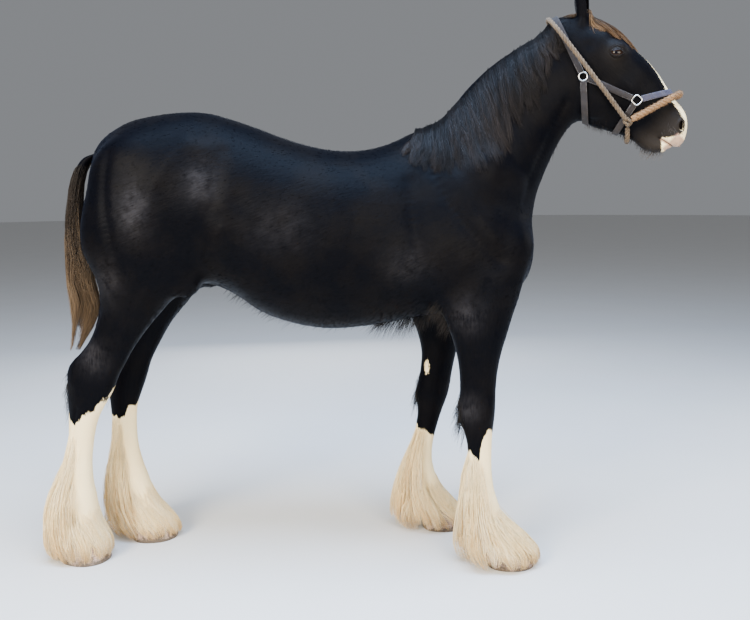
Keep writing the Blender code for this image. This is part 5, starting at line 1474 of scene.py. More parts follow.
    def model(self, skin: bpy.types.Object) -> None:
        """Press the muscle edges, hollows and folds into the skin, and shrink it by the coat's depth."""
        points = mesh_points(skin.data)
        normals = mesh_normals(skin.data)
        shift = np.zeros(len(points))
        for stroke in self.strokes:
            fine = through(stroke.path, 24)
            for side in (RIGHT, LEFT):
                x = fine[:, 0].copy()
                if side == LEFT and fine[:, 1].max() < 1.25:
                    x = x - 0.14 if x.mean() > 0 else x + 0.10 * ease(1.2, 0.8, fine[:, 1])
                box = (points[:, 0] > x.min() - 0.1) & (points[:, 0] < x.max() + 0.1)
                box &= (points[:, 2] > fine[:, 1].min() - 0.1) & (points[:, 2] < fine[:, 1].max() + 0.1)
                box &= points[:, 1] * side > 0.02
                picked = np.nonzero(box)[0]
                if not len(picked):
                    continue
                beyond, above = points[picked, 0, None] - x, points[picked, 2, None] - fine[None, :, 1]
                gap = np.hypot(beyond, above).min(axis=1)
                face = ease(0.15, 0.6, normals[picked, 1] * side)
                shift[picked] += stroke.height * np.exp(-((gap / stroke.width) ** 2)) * face
        points += normals * (shift - COAT_DEPTH)[:, None]
        set_points(skin.data, self.head.sculpt(points))

    def thin_out(self, skin: bpy.types.Object) -> None:
        """Bring the trunk and then the face to their numbers of triangles, sparing the eyes."""
        for face in (False, True):
            local = self.head.local(mesh_points(skin.data))
            on_head = self.head.within(local, 0.08, 0.70, 0.28, 0.16)
            eye = self.head.beside(local, self.head.eye, 0.030, 0.05)
            chosen = on_head & ~eye if face else ~on_head
            corners = mesh_triangles(skin.data)
            total = len(corners)
            ours = int(chosen[corners].all(axis=1).sum())
            target = self.triangles if face else total - ours + self.trunk_triangles
            group = skin.vertex_groups.new(name="spare")
            group.add(np.nonzero(chosen)[0].tolist(), 1.0, "REPLACE")
            thin = skin.modifiers.new("thin", "DECIMATE")
            thin.ratio = min(1.0, target / total)
            thin.vertex_group = "spare"
            settle(skin)
            skin.vertex_groups.clear()

    def region(self, points: np.ndarray) -> np.ndarray:
        """Which part of the body each place is on: 0 trunk, 1 neck and head, 2 to 5 legs."""
        x, y, z = points.T
        s = self.head.local(points)[:, 0]
        low, high = np.array(((0.130, 1.700), (0.640, 1.300)))
        line = high - low
        ahead = (x - low[0]) * line[1] - (z - low[1]) * line[0] < 0
        part = np.where((ahead & (z > 1.30)) | (s > 0), 1, 0)
        fore = (x > 0.0) & (z < 0.93)
        hind = (x < -0.55) & (z < 1.05)
        part = np.where(fore, np.where(y < 0, 2, 3), part)
        return np.where(hind, np.where(y < 0, 4, 5), part)

    def atlas(self, points: np.ndarray) -> np.ndarray:
        """A place on a flat unwrap of the skin's own shape for each point: tubes cut along one side."""
        x, y, z = points.T
        part = self.region(points)
        local = self.head.local(points)
        turn = np.arctan2(y, z - 1.30) / (2 * math.pi) + 0.5
        flat = np.stack((0.02 + 0.94 * (x + 1.15) / 1.85, 0.02 + 0.30 * turn), axis=1)
        neck_run = np.hypot(x - 0.20, z - 1.40)
        neck_turn = np.arctan2(y + 0.02, (z - 1.40) - (x - 0.20) * 0.9) / (2 * math.pi) + 0.5
        on_neck = np.stack((0.02 + 0.44 * neck_run / 1.0, 0.36 + 0.28 * neck_turn), axis=1)
        face_turn = np.arctan2(local[:, 2], local[:, 1] + 0.03) / (2 * math.pi) + 0.5
        on_face = np.stack((0.52 + 0.46 * (local[:, 0] + 0.02) / 0.70, 0.36 + 0.28 * face_turn), axis=1)
        flat = np.where((part == 1)[:, None], on_neck, flat)
        flat = np.where(((part == 1) & (local[:, 0] > 0.0))[:, None], on_face, flat)
        for k, (middle_x, middle_y) in enumerate(self.leg_middles):
            round_leg = np.arctan2(y - middle_y, x - middle_x) / (2 * math.pi) + 0.5
            on_leg = np.stack((0.02 + 0.245 * k + 0.225 * round_leg, 0.67 + 0.31 * z / 1.10), axis=1)
            flat = np.where((part == k + 2)[:, None], on_leg, flat)
        return np.clip(flat, 0.003, 0.997)

    def lie(self, points: np.ndarray, normals: np.ndarray) -> np.ndarray:
        """The way the coat lies at each place, along the skin."""
        x, _y, z = points.T
        along, out, _left = self.head.axes()
        s = self.head.local(points)[:, 0]
        back = np.array((-0.93, 0.0, -0.36))
        down = np.array((-0.25, 0.0, -0.97))
        crest = np.array((-0.55, 0.0, -0.83))
        legs = ease(1.15, 0.95, z)[:, None]
        neck = (ease(0.15, 0.45, x) * ease(1.25, 1.45, z))[:, None]
        face = (ease(-0.02, 0.06, s) * ease(1.4, 1.5, z))[:, None]
        way = back * (1 - legs) + down * legs
        way = way * (1 - neck) + crest * neck
        way = way * (1 - face) + (along - 0.15 * out) * face
        way -= normals * np.sum(way * normals, axis=1)[:, None]
        return unit(way)

    def grain(self, points: np.ndarray) -> np.ndarray:
        """Places turned so that the first axis runs with the coat."""
        x, y, z = points.T
        local = self.head.local(points)
        turned = np.stack((x * 0.93 + z * 0.36, y, -x * 0.36 + z * 0.93), axis=1)
        legs = ease(1.10, 1.00, z)[:, None]
        neck = (ease(0.25, 0.35, x) * ease(1.35, 1.42, z))[:, None]
        face = (ease(-0.01, 0.03, local[:, 0]) * ease(1.4, 1.5, z))[:, None]
        turned = turned * (1 - legs) + np.stack((z, x, y), axis=1) * legs
        turned = turned * (1 - neck) + np.stack((x * 0.55 + z * 0.83, y, -x * 0.83 + z * 0.55), axis=1) * neck
        return turned * (1 - face) + local * face

    def describe(self, mesh: bpy.types.Mesh) -> None:
        """Store the markings, the lie of the coat and the unwrap on the skin."""
        points = mesh_points(mesh)
        for name, values in self.markings.read(self.head, points).items():
            store(mesh, name, values)
        flat = self.atlas(points)
        store(mesh, "root_place", np.column_stack((flat, np.zeros(len(flat)))))
        store(mesh, "lie", self.lie(points, mesh_normals(mesh)))
        store(mesh, "grain", self.grain(points))

    def build(self) -> bpy.types.Object:
        """Make the skin, with its markings stored on it."""
        skin = self.joined()
        self.refine(skin)
        self.model(skin)
        self.thin_out(skin)
        smooth(skin.data)
        self.describe(skin.data)
        skin.data.materials.append(CoatFinish().material())
        return skin


def named(graph: Graph, name: str, kind: str = "FLOAT") -> Value:
    """Read an attribute of the geometry by its name."""
    return graph.node("GeometryNodeInputNamedAttribute", {"data_type": kind}, {"Name": name})


def new_tree(name: str, inputs: Sequence[tuple[str, str]]) -> tuple[Graph, dict[str, Value], Callable]:
    """Start a geometry node tree.

    Args:
        name: its name.
        inputs: name and socket type of each input after the geometry.

    Returns:
        The graph, its inputs by name, and a function that joins a value to the output.
    """
    tree = bpy.data.node_groups.new(name, "GeometryNodeTree")
    tree.interface.new_socket("Geometry", in_out="INPUT", socket_type="NodeSocketGeometry")
    for word, kind in inputs:
        tree.interface.new_socket(word, in_out="INPUT", socket_type=kind)
    tree.interface.new_socket("Geometry", in_out="OUTPUT", socket_type="NodeSocketGeometry")
    graph = Graph(tree)
    start = tree.nodes.new("NodeGroupInput")
    end = tree.nodes.new("NodeGroupOutput")
    given = {socket.name: Value(graph, socket) for socket in start.outputs if socket.name}

    def finish(value: Value) -> None:
        """Join a value to the output."""
        tree.links.new(value.socket, end.inputs[0])

    return graph, given, finish


def run_tree(item: bpy.types.Object, tree: bpy.types.NodeTree, values: dict[str, Any]) -> None:
    """Turn an object into the plain mesh that a node tree makes of it.

    Args:
        item: the object.
        tree: the geometry node tree.
        values: what its named inputs hold.
    """
    step = item.modifiers.new("growth", "NODES")
    step.node_group = tree
    for socket in tree.interface.items_tree:
        if socket.in_out == "INPUT" and socket.name in values:
            step[socket.identifier] = values[socket.name]
    settle(item)


def bake_place(graph: Graph, geometry: Value, across: Value, along: Value, patch: Any) -> Value:
    """Store each tuft's patch round its root's place on the unwrap."""
    inputs = {0: (across - 0.5) * patch, 1: (along - 0.5) * patch, 2: 0.0}
    offset = graph.node("ShaderNodeCombineXYZ", {}, inputs)
    root = named(graph, "root_place", "FLOAT_VECTOR")
    place = graph.node("ShaderNodeVectorMath", {"operation": "ADD"}, {0: root, 1: offset})
    settings = {"data_type": "FLOAT2", "domain": "CORNER"}
    inputs = {0: geometry, "Name": BAKE_MAP, "Value": place}
    return graph.node("GeometryNodeStoreNamedAttribute", settings, inputs)


def strand_tree() -> bpy.types.NodeTree:
    """The tree that gives rows of points the body of tapered hair."""
    held = bpy.data.node_groups.get("hair_strands")
    if held is not None:
        return held
    inputs = (("Sides", "NodeSocketInt"), ("Patch", "NodeSocketFloat"), ("Material", "NodeSocketMaterial"))
    graph, given, finish = new_tree("hair_strands", inputs)
    curve = graph.node("GeometryNodeMeshToCurve", {}, {"Mesh": given["Geometry"]})
    ring = graph.node("GeometryNodeCurvePrimitiveCircle", {}, {"Resolution": given["Sides"], "Radius": 1.0})
    turn = graph.node("GeometryNodeSplineParameter", {}, {}, "Factor")
    settings = {"data_type": "FLOAT", "domain": "POINT"}
    ring = graph.node("GeometryNodeStoreNamedAttribute", settings, {0: ring, "Name": "turn", "Value": turn})
    inputs = {"Curve": curve, "Profile Curve": ring, "Scale": named(graph, "thick"), "Fill Caps": True}
    mesh = graph.node("GeometryNodeCurveToMesh", {}, inputs)
    mesh = bake_place(graph, mesh, named(graph, "turn"), named(graph, "along"), given["Patch"])
    mesh = graph.node("GeometryNodeSetShadeSmooth", {}, {0: mesh})
    mesh = graph.node("GeometryNodeRealizeInstances", {}, {0: mesh})
    finish(graph.node("GeometryNodeSetMaterial", {}, {0: mesh, "Material": given["Material"]}))
    return graph.tree


@dataclass
class Strands:
    """Many strands of hair: paths, thickness and shade, each row one strand."""

    paths: np.ndarray
    thick: np.ndarray
    shade: np.ndarray
    soil: np.ndarray | None = None

    def piece(
        self, name: str, finish: Finish, body: Body, roots: np.ndarray | None = None, sides: int = 3
    ) -> bpy.types.Object:
        """Make the strands one mesh.

        Args:
            name: the piece's name.
            finish: the hair's finish.
            body: the body that the unwrap belongs to.
            roots: places of the roots, when they are not the first points.
            sides: how many sides a strand has.

        Returns:
            The finished mesh object.
        """
        count, steps = self.paths.shape[:2]
        mesh = bpy.data.meshes.new(name)
        mesh.vertices.add(count * steps)
        mesh.vertices.foreach_set("co", self.paths.astype(float).ravel())
        start = (np.arange(count)[:, None] * steps + np.arange(steps - 1)).ravel()
        mesh.edges.add(len(start))
        mesh.edges.foreach_set("vertices", np.stack((start, start + 1), axis=1).ravel())
        along = np.broadcast_to(np.linspace(0, 1, steps), (count, steps))
        soil = np.zeros((count, steps)) if self.soil is None else self.soil
        flat = body.atlas(self.paths[:, 0] if roots is None else roots)
        store(mesh, "thick", self.thick.ravel())
        store(mesh, "along", along.ravel())
        store(mesh, "shade", np.repeat(self.shade, steps))
        store(mesh, "soil", soil.ravel())
        store(mesh, "root_place", np.repeat(np.column_stack((flat, np.zeros(count))), steps, axis=0))
        item = bpy.data.objects.new(name, mesh)
        bpy.context.scene.collection.objects.link(item)
        run_tree(item, strand_tree(), {"Sides": sides, "Patch": PATCH, "Material": finish.material()})
        return item


def eased(value: np.ndarray, start: float, room: float) -> np.ndarray:
    """Slow down what passes start, so that it never goes further than room beyond it."""
    over = np.maximum(value - start, 0)
    return np.minimum(value, start) + room * (1 - np.exp(-over / room))


def taper(count: int, steps: int, radius: Any, tip: float = 0.25, full: float = 0.55) -> np.ndarray:
    """Thickness along strands that narrow to their tips."""
    f = np.linspace(0, 1, steps)
    swell = 0.75 + 0.25 * np.minimum(f / 0.2, 1)
    narrow = 1 - (1 - tip) * (np.maximum(f - full, 0) / (1 - full)) ** 1.3
    shape = np.where(f < full, swell, narrow)
    return np.broadcast_to(np.asarray(radius, dtype=float).reshape(-1, 1) * shape, (count, steps)).copy()


@dataclass
class Relief:
    """Distances read on a grid by rays, then looked up smoothly."""

    first: np.ndarray
    second: np.ndarray
    values: np.ndarray

    @classmethod
    def read(cls, first: np.ndarray, second: np.ndarray, ray: Callable, missing: float) -> "Relief":
        """Read a grid.

        Args:
            first: steps along its first side.
            second: steps along its second side.
            ray: gives the distance at a place, or None.
            missing: what stands where nothing is met.

        Returns:
            The relief.
        """
        values = np.full((len(first), len(second)), missing)
        for i, a in enumerate(first):
            for j, b in enumerate(second):
                found = ray(float(a), float(b))
                if found is not None:
                    values[i, j] = found
        return cls(first, second, values)

    def at(self, a: np.ndarray, b: np.ndarray) -> np.ndarray:
        """The distance at places between the grid's steps."""
        u = np.clip((a - self.first[0]) / (self.first[1] - self.first[0]), 0, len(self.first) - 1.001)
        v = np.clip((b - self.second[0]) / (self.second[1] - self.second[0]), 0, len(self.second) - 1.001)
        i, j = u.astype(int), v.astype(int)
        fu, fv = u - i, v - j
        low = self.values[i, j] * (1 - fu) + self.values[i + 1, j] * fu
        high = self.values[i, j + 1] * (1 - fu) + self.values[i + 1, j + 1] * fu
        return low * (1 - fv) + high * fv


def table_at(rows: np.ndarray, place: np.ndarray) -> np.ndarray:
    """Rows of a fine table read between its steps, place from 0 to 1."""
    spot = np.clip(place, 0, 1) * (len(rows) - 1.001)
    k = spot.astype(int)
    f = (spot - k)[..., None]
    return rows[k] * (1 - f) + rows[k + 1] * f


@dataclass(frozen=True)
class Mane:
    """The mane: roots along the crest, hair down the right side to its fringe."""

    # Crest x, crest z, fringe x, fringe z.
    rows: Rows = (
        (0.165, 1.712, 0.125, 1.580),
        (0.220, 1.735, 0.190, 1.510),
        (0.300, 1.802, 0.320, 1.500),
        (0.360, 1.875, 0.435, 1.505),
        (0.440, 1.952, 0.500, 1.590),
        (0.530, 2.008, 0.575, 1.715),
        (0.600, 2.052, 0.640, 1.800),
        (0.662, 2.080, 0.690, 1.920),
        (0.702, 2.096, 0.728, 1.968),
    )
    pieces: int = 2
    strands: int = 3380
    steps: int = 10
    locks: int = 58
    radius: float = 0.00085
    lift: float = 0.0045
    swell: float = 0.0150
    stray_share: float = 0.06
    hump: float = 0.015
    sink: float = 0.005
    seed: int = 31

    def build(self, tree: BVHTree, body: Body) -> list[bpy.types.Object]:
        """Grow the mane.

        Args:
            tree: the skin.
            body: the body that it belongs to.

        Returns:
            Its pieces.
        """

        def side(x: float, z: float) -> float | None:
            """Where a ray from the right meets the neck."""
            hit = tree.ray_cast(Vector((x, -0.8, z)), Vector((0, 1, 0)), 0.9)
            return None if hit[0] is None else min(hit[0][1], 0.0)

        def top(x: float, _y: float) -> float | None:
            """Where a ray from above meets the crest."""
            hit = tree.ray_cast(Vector((x, -0.004, 3.0)), Vector((0, 0, -1)))
            return None if hit[0] is None else hit[0][2]

        across = np.arange(0.04, 0.90, 0.010)
        flank = Relief.read(across, np.arange(1.40, 2.14, 0.010), side, 0.0)
        crest = Relief.read(across, np.array((0.0, 1.0)), top, 1.7)
        fine = through(self.rows, 160)
        made = []
        for layer in range(self.pieces):
            rng = np.random.default_rng(self.seed + layer)
            paths, shade = self.paths(rng, fine, flank, crest, layer)
            radius = self.radius * rng.uniform(0.7, 1.25, self.strands)
            strands = Strands(paths, taper(self.strands, self.steps, radius, 0.22), shade)
            made.append(strands.piece("mane_%d" % (layer + 1), HAIR[HairKind.MANE], body))
        return made

    def paths(
        self, rng: np.random.Generator, fine: np.ndarray, flank: Relief, crest: Relief, layer: int
    ) -> tuple[np.ndarray, np.ndarray]:
        """Paths and shades of one layer's strands."""
        count, steps = self.strands, self.steps
        t = np.linspace(0, 1, steps)[None, :]
        lock_u = (np.arange(self.locks) + rng.uniform(0.2, 0.8, self.locks)) / self.locks
        lock_long = rng.uniform(0.70, 1.0, self.locks) if layer else rng.uniform(0.80, 1.02, self.locks)
        lock_wave = rng.uniform(0, 2 * math.pi, self.locks)
        lock_sway = rng.normal(0, 0.016, self.locks)
        lock_lift = rng.uniform(0.0, 1.0, self.locks)
        lock_shade = rng.uniform(0.0, 1.0, self.locks)
        u = rng.uniform(0, 1, count)
        lock = np.abs(u[:, None] + rng.normal(0, 0.006, (count, 1)) - lock_u[None, :]).argmin(axis=1)
        pull = (0.10 + 0.74 * t**1.15) * rng.uniform(0.75, 1.0, (count, 1))
        near = u[:, None] + (lock_u[lock][:, None] - u[:, None]) * pull
        near = near + rng.normal(0, 0.004, (count, 1)) * t
        row = table_at(fine, near)
        reach = lock_long[lock] * rng.uniform(0.80, 1.0, count)
        stray = rng.uniform(0, 1, count) > 1 - self.stray_share
        reach = np.where(stray, reach * rng.uniform(0.5, 0.9, count), reach)[:, None]
        g = t * reach
        wave = np.sin(2 * math.pi * t * (1.1 + 0.5 * lock_lift[lock][:, None]) + lock_wave[lock][:, None])
        x = row[..., 0] + (row[..., 2] - row[..., 0]) * g**1.05
        x = x + (lock_sway[lock][:, None] * t**1.5 + wave * 0.0085 * t + rng.normal(0, 0.005, (count, 1)) * t)
        top = crest.at(x[:, :1], np.zeros((count, 1)))
        z = top + (row[..., 3] - top) * g
        depth = (0.35 + 0.65 * lock_lift[lock][:, None]) * rng.uniform(0.3, 1.0, (count, 1))
        bulge = np.sin(math.pi * np.clip(t * 0.9 + 0.10, 0, 1))
        lift = self.lift + self.swell * depth * bulge * (0.6 + 0.4 * layer)
        over = np.exp(-((t / 0.10) ** 2))
        surface = flank.at(x, np.minimum(z, top - 0.004))
        root_y = rng.uniform(-0.012, 0.026, (count, 1))
        y = surface - lift
        y = y * (1 - over) + root_y * over
        hump = np.where(t > 0, self.hump * np.exp(-(((t - 0.09) / 0.09) ** 2)), 0.0)
        z = z + hump * (0.5 + depth) - self.sink * (t == 0)
        shade = np.clip(0.55 * lock_shade[lock] + rng.uniform(-0.1, 0.55, count), 0, 1)
        return np.stack((x, y, z), axis=-1), shade


@dataclass(frozen=True)
class Forelock:
    """Hair from the poll down the forehead, and a lock before the near ear."""

    strands: int = 1500
    steps: int = 9
    locks: int = 15
    radius: float = 0.00075
    near_share: float = 0.20
    lift: float = 0.0030
    swell: float = 0.0155
    sink: float = 0.007
    seed: int = 47

    def build(self, tree: BVHTree, body: Body) -> list[bpy.types.Object]:
        """Grow the forelock on the skin."""
        head = body.head
        along, out, left = head.axes()

        def front(s: float, o: float) -> float | None:
            """How far the forehead stands out at a place."""
            hit = tree.ray_cast(Vector(head.point(s, 0.4, o)), Vector(-out), 0.5)
            return None if hit[0] is None else 0.4 - hit[3]

        face = Relief.read(np.arange(-0.06, 0.36, 0.008), np.arange(-0.10, 0.104, 0.008), front, 0.0)
        rng = np.random.default_rng(self.seed)
        count = self.strands
        t = np.linspace(0, 1, self.steps)[None, :]
        lock_root = np.linspace(-0.036, 0.036, self.locks) + rng.normal(0, 0.003, self.locks)
        lock_drift = -0.010 + lock_root * 0.35 + rng.normal(0, 0.009, self.locks)
        lock_reach = rng.uniform(0.20, 0.300, self.locks) - np.abs(lock_root) * 1.4
        lock_wave = rng.uniform(0, 2 * math.pi, self.locks)
        lock = rng.integers(0, self.locks, count)
        near = rng.uniform(0, 1, count) < self.near_share
        o = lock_root[lock] + rng.normal(0, 0.006, count)
        tip_o = lock_root[lock] + lock_drift[lock] + rng.normal(0, 0.0035, count)
        root_s = rng.uniform(-0.030, 0.028, count)
        reach = lock_reach[lock] * rng.uniform(0.78, 1.0, count)
        o = np.where(near, rng.uniform(-0.044, -0.020, count), o)
        tip_o = np.where(near, -0.064 + rng.normal(0, 0.006, count), tip_o)
        reach = np.where(near, rng.uniform(0.085, 0.135, count), reach)
        wave = np.sin(2 * math.pi * t * 1.2 + lock_wave[lock][:, None]) * 0.0035 * t
        s = root_s[:, None] + (reach - root_s)[:, None] * t
        across = o[:, None] + (tip_o - o)[:, None] * t**0.9 + wave
        depth = rng.uniform(0.1, 1.0, (count, 1))
        bulge = np.sin(math.pi * np.clip(0.16 + 0.84 * t, 0, 1)) ** 0.8
        rise = self.lift + self.swell * depth * bulge - self.sink * (t == 0)
        n = face.at(s, across) + rise
        paths = np.array(head.poll) + s[..., None] * along + n[..., None] * out + across[..., None] * left
        shade = np.clip(rng.uniform(0.0, 0.75, count) + 0.35 * near, 0, 1)
        thick = taper(count, self.steps, self.radius * rng.uniform(0.7, 1.2, count), 0.2)
        return [Strands(paths, thick, shade).piece("forelock", HAIR[HairKind.FORELOCK], body)]


@dataclass(frozen=True)
class Outline:
    """Level outline of hanging hair: middle, half depth and half width by height."""

    heights: np.ndarray
    front: np.ndarray
    back: np.ndarray
    half: np.ndarray
    middle_y: float
    # Rays start this far out, short of the next leg.
    clear: float = 0.18

    @classmethod
    def of_leg(cls, table: Rows, side: int, spread: float) -> "Outline":
        """The outline of one leg's feather."""
        rows = np.array(table)[::-1]
        first = 2 if side == RIGHT else 4
        return cls(rows[:, 0], rows[:, first], rows[:, first + 1], rows[:, 1], side * spread)

    @classmethod
    def of_tail(cls, table: Rows) -> "Outline":
        """The outline of the tail."""
        x, z, depth, half = np.array(table)[::-1].T
        return cls(z, x + depth / 2, x - depth / 2, half, 0.0)

    def at(self, z: Any) -> tuple[Any, Any, Any]:
        """Middle x, half depth and half width at heights."""
        front = np.interp(z, self.heights, self.front)
        back = np.interp(z, self.heights, self.back)
        return (front + back) / 2, (front - back) / 2, np.interp(z, self.heights, self.half)

    def reach(self, angle: Any, z: Any) -> tuple[Any, Any, Any]:
        """How far the outline stands from its middle, and the way there."""
        _x, depth, half = self.at(z)
        dx = np.cos(angle) * depth
        dy = np.sin(angle) * half
        far = np.hypot(dx, dy)
        return far, dx / far, dy / far

    def flesh(self, tree: BVHTree, low: float, high: float) -> Relief:
        """How far the flesh inside stands from the middle, by angle and height."""

        def ray(angle: float, z: float) -> float | None:
            """One ray towards the middle."""
            x = float(self.at(z)[0])
            _far, dx, dy = self.reach(angle, z)
            centre = Vector((x, self.middle_y, z))
            way = Vector((float(dx), float(dy), 0.0))
            hit = tree.ray_cast(centre + way * self.clear, -way, self.clear)
            return None if hit[0] is None else self.clear - hit[3]

        return Relief.read(np.linspace(0, 2 * math.pi, 49), np.arange(low, high, 0.012), ray, 0.012)

    def hang(
        self,
        flesh: Relief,
        angle: np.ndarray,
        start: np.ndarray,
        end: np.ndarray,
        layer: np.ndarray,
        steps: int,
        settle_at: Any,
    ) -> np.ndarray:
        """Paths of hair that leaves the flesh and hangs inside the outline.

        Args:
            flesh: the flesh's reach.
            angle: turn of each point from the front.
            start: root heights.
            end: tip heights.
            layer: how near the outline each strand hangs, from 0 to 1.
            steps: points of a strand.
            settle_at: share of the length where the hair reaches its layer.

        Returns:
            The paths.
        """
        t = np.linspace(0, 1, steps)[None, :]
        z = start[:, None] + (end - start)[:, None] * t
        far, dx, dy = self.reach(angle, z)
        near = flesh.at(np.mod(angle, 2 * math.pi), z) + 0.0025
        out = near + (np.maximum(far * 0.985, near + 0.003) - near) * layer[:, None] * ease(0.0, settle_at, t)
        out = out - 0.008 * (t == 0)
        return np.stack((self.at(z)[0] + out * dx, self.middle_y + out * dy, z), axis=-1)


@dataclass(frozen=True)
class Feather:
    """The long white hair of the lower legs."""

    fore: Rows = (
        (0.485, 0.030, 0.430, 0.350, 0.255, 0.180),
        (0.460, 0.043, 0.449, 0.328, 0.270, 0.152),
        (0.400, 0.058, 0.456, 0.325, 0.250, 0.138),
        (0.320, 0.072, 0.474, 0.322, 0.243, 0.112),
        (0.240, 0.090, 0.498, 0.312, 0.252, 0.088),
        (0.180, 0.110, 0.530, 0.304, 0.276, 0.070),
        (0.120, 0.125, 0.580, 0.294, 0.330, 0.056),
        (0.060, 0.132, 0.630, 0.294, 0.388, 0.052),
        (0.022, 0.126, 0.634, 0.312, 0.396, 0.070),
        (0.008, 0.110, 0.610, 0.340, 0.376, 0.100),
    )
    hind: Rows = (
        (0.565, 0.030, -1.130, -1.200, -1.030, -1.105),
        (0.540, 0.044, -1.106, -1.222, -1.006, -1.130),
        (0.460, 0.058, -1.116, -1.236, -1.006, -1.130),
        (0.380, 0.066, -1.124, -1.266, -0.998, -1.136),
        (0.300, 0.082, -1.122, -1.302, -0.976, -1.148),
        (0.220, 0.090, -1.112, -1.326, -0.948, -1.160),
        (0.150, 0.098, -1.092, -1.333, -0.916, -1.167),
        (0.080, 0.100, -1.058, -1.333, -0.850, -1.160),
        (0.030, 0.098, -1.054, -1.322, -0.828, -1.130),
        (0.008, 0.090, -1.074, -1.290, -0.844, -1.100),
    )
    spread: tuple = (("fore", 0.190, 0.190, 0.455), ("hind", 0.112, 0.106, 0.540))
    strands: int = 3020
    steps: int = 8
    locks: int = 96
    radius: float = 0.00088
    # Share of the locks in the bell, and how far round each kind reaches, in degrees.
    bell_share: float = 0.42
    bell_reach: float = 82
    curtain_reach: float = 102
    short_share: float = 0.40
    # Where strands are slowed down short of the solids' box, and the room beyond.
    room_behind: tuple = (1.310, 0.0165)
    room_beside: tuple = (0.300, 0.0160)
    seed: int = 83

    def build(self, tree: BVHTree, body: Body) -> dict[str, bpy.types.Object]:
        """Grow the feather of the four legs."""
        made = {}
        for word, right, left, top in self.spread:
            for side in (RIGHT, LEFT):
                table = self.fore if word == "fore" else self.hind
                outline = Outline.of_leg(table, side, right if side == RIGHT else left)
                name = "%s_%s" % (word, WORDS[side])
                rng = np.random.default_rng(self.seed + len(made))
                made[name] = self.leg(name, outline, outline.flesh(tree, 0.0, top + 0.12), top, body, rng)
        return made

    def leg(
        self,
        name: str,
        outline: Outline,
        flesh: Relief,
        top: float,
        body: Body,
        rng: np.random.Generator,
    ) -> bpy.types.Object:
        """Grow one leg's feather: a curtain behind, a bell of shorter hair over the foot."""
        count, locks = self.strands, self.locks
        bell = rng.uniform(0, 1, locks) < self.bell_share
        curtain_turn = math.pi + rng.uniform(-1, 1, locks) * math.radians(self.curtain_reach)
        bell_turn = rng.uniform(-1, 1, locks) * math.radians(self.bell_reach)
        lock_turn = np.where(bell, bell_turn, curtain_turn)
        round_foot = np.abs(np.mod(lock_turn + math.pi, 2 * math.pi) - math.pi)
        lock_top = np.where(bell, rng.uniform(0.105, 0.215, locks), rng.uniform(0.14, top, locks))
        lock_tip = np.where(bell, rng.uniform(0.005, 0.026, locks), rng.uniform(0.004, 0.060, locks))
        high = (lock_top > 0.30) & ~bell
        short = high & (rng.uniform(0, 1, locks) < self.short_share)
        lock_tip = np.where(short, rng.uniform(0.05, 0.20, locks), lock_tip)
        lock_tip = lock_tip + np.where(round_foot < 0.5, 0.004, 0.0)
        lock_layer = rng.uniform(0.35, 1.0, locks)
        lock_shade = rng.uniform(0, 1, locks)
        lock_wave = rng.uniform(0, 2 * math.pi, locks)
        lock = rng.integers(0, locks, count)
        t = np.linspace(0, 1, self.steps)[None, :]
        turn = lock_turn[lock] + rng.normal(0, 0.20, count)
        start = lock_top[lock] + rng.normal(0, 0.020, count)
        start = np.clip(start, 0.10, top)
        end = np.clip(lock_tip[lock] + np.abs(rng.normal(0, 0.014, count)), 0.004, None)
        end = np.minimum(end, start - 0.04)
        pull = (0.10 + 0.80 * t) * rng.uniform(0.7, 1.0, (count, 1))
        angle = turn[:, None] + (lock_turn[lock] - turn)[:, None] * pull
        angle = angle + 0.045 * t * np.sin(2 * math.pi * 1.3 * t + lock_wave[lock][:, None])
        layer = np.clip(lock_layer[lock] + rng.normal(0, 0.10, count), 0.05, 1.0)
        settle_at = np.where(bell[lock], 0.42, 0.5)[:, None]
        paths = outline.hang(flesh, angle, start, end, layer, self.steps, settle_at)
        paths[..., :2] += rng.normal(0, 0.0022, (count, 1, 2)) * t[..., None]
        paths[..., 0] = -eased(-paths[..., 0], *self.room_behind)
        paths[..., 1] = np.sign(paths[..., 1]) * eased(np.abs(paths[..., 1]), *self.room_beside)
        shade = np.clip(0.6 * lock_shade[lock] + rng.uniform(-0.1, 0.5, count), 0, 1)
        behind = ease(-0.2, 1.0, -np.cos(angle))
        z = paths[..., 2]
        rear = 0.30 * behind * ease(0.25, 0.02, z) * lock_shade[lock][:, None]
        soil = np.clip(ease(0.085, 0.0, z) * 0.9 + rear, 0, 1)
        thick = taper(count, self.steps, self.radius * rng.uniform(0.7, 1.2, count), 0.25)
        return Strands(paths, thick, shade, soil).piece("feather_" + name, HAIR[HairKind.FEATHER], body)


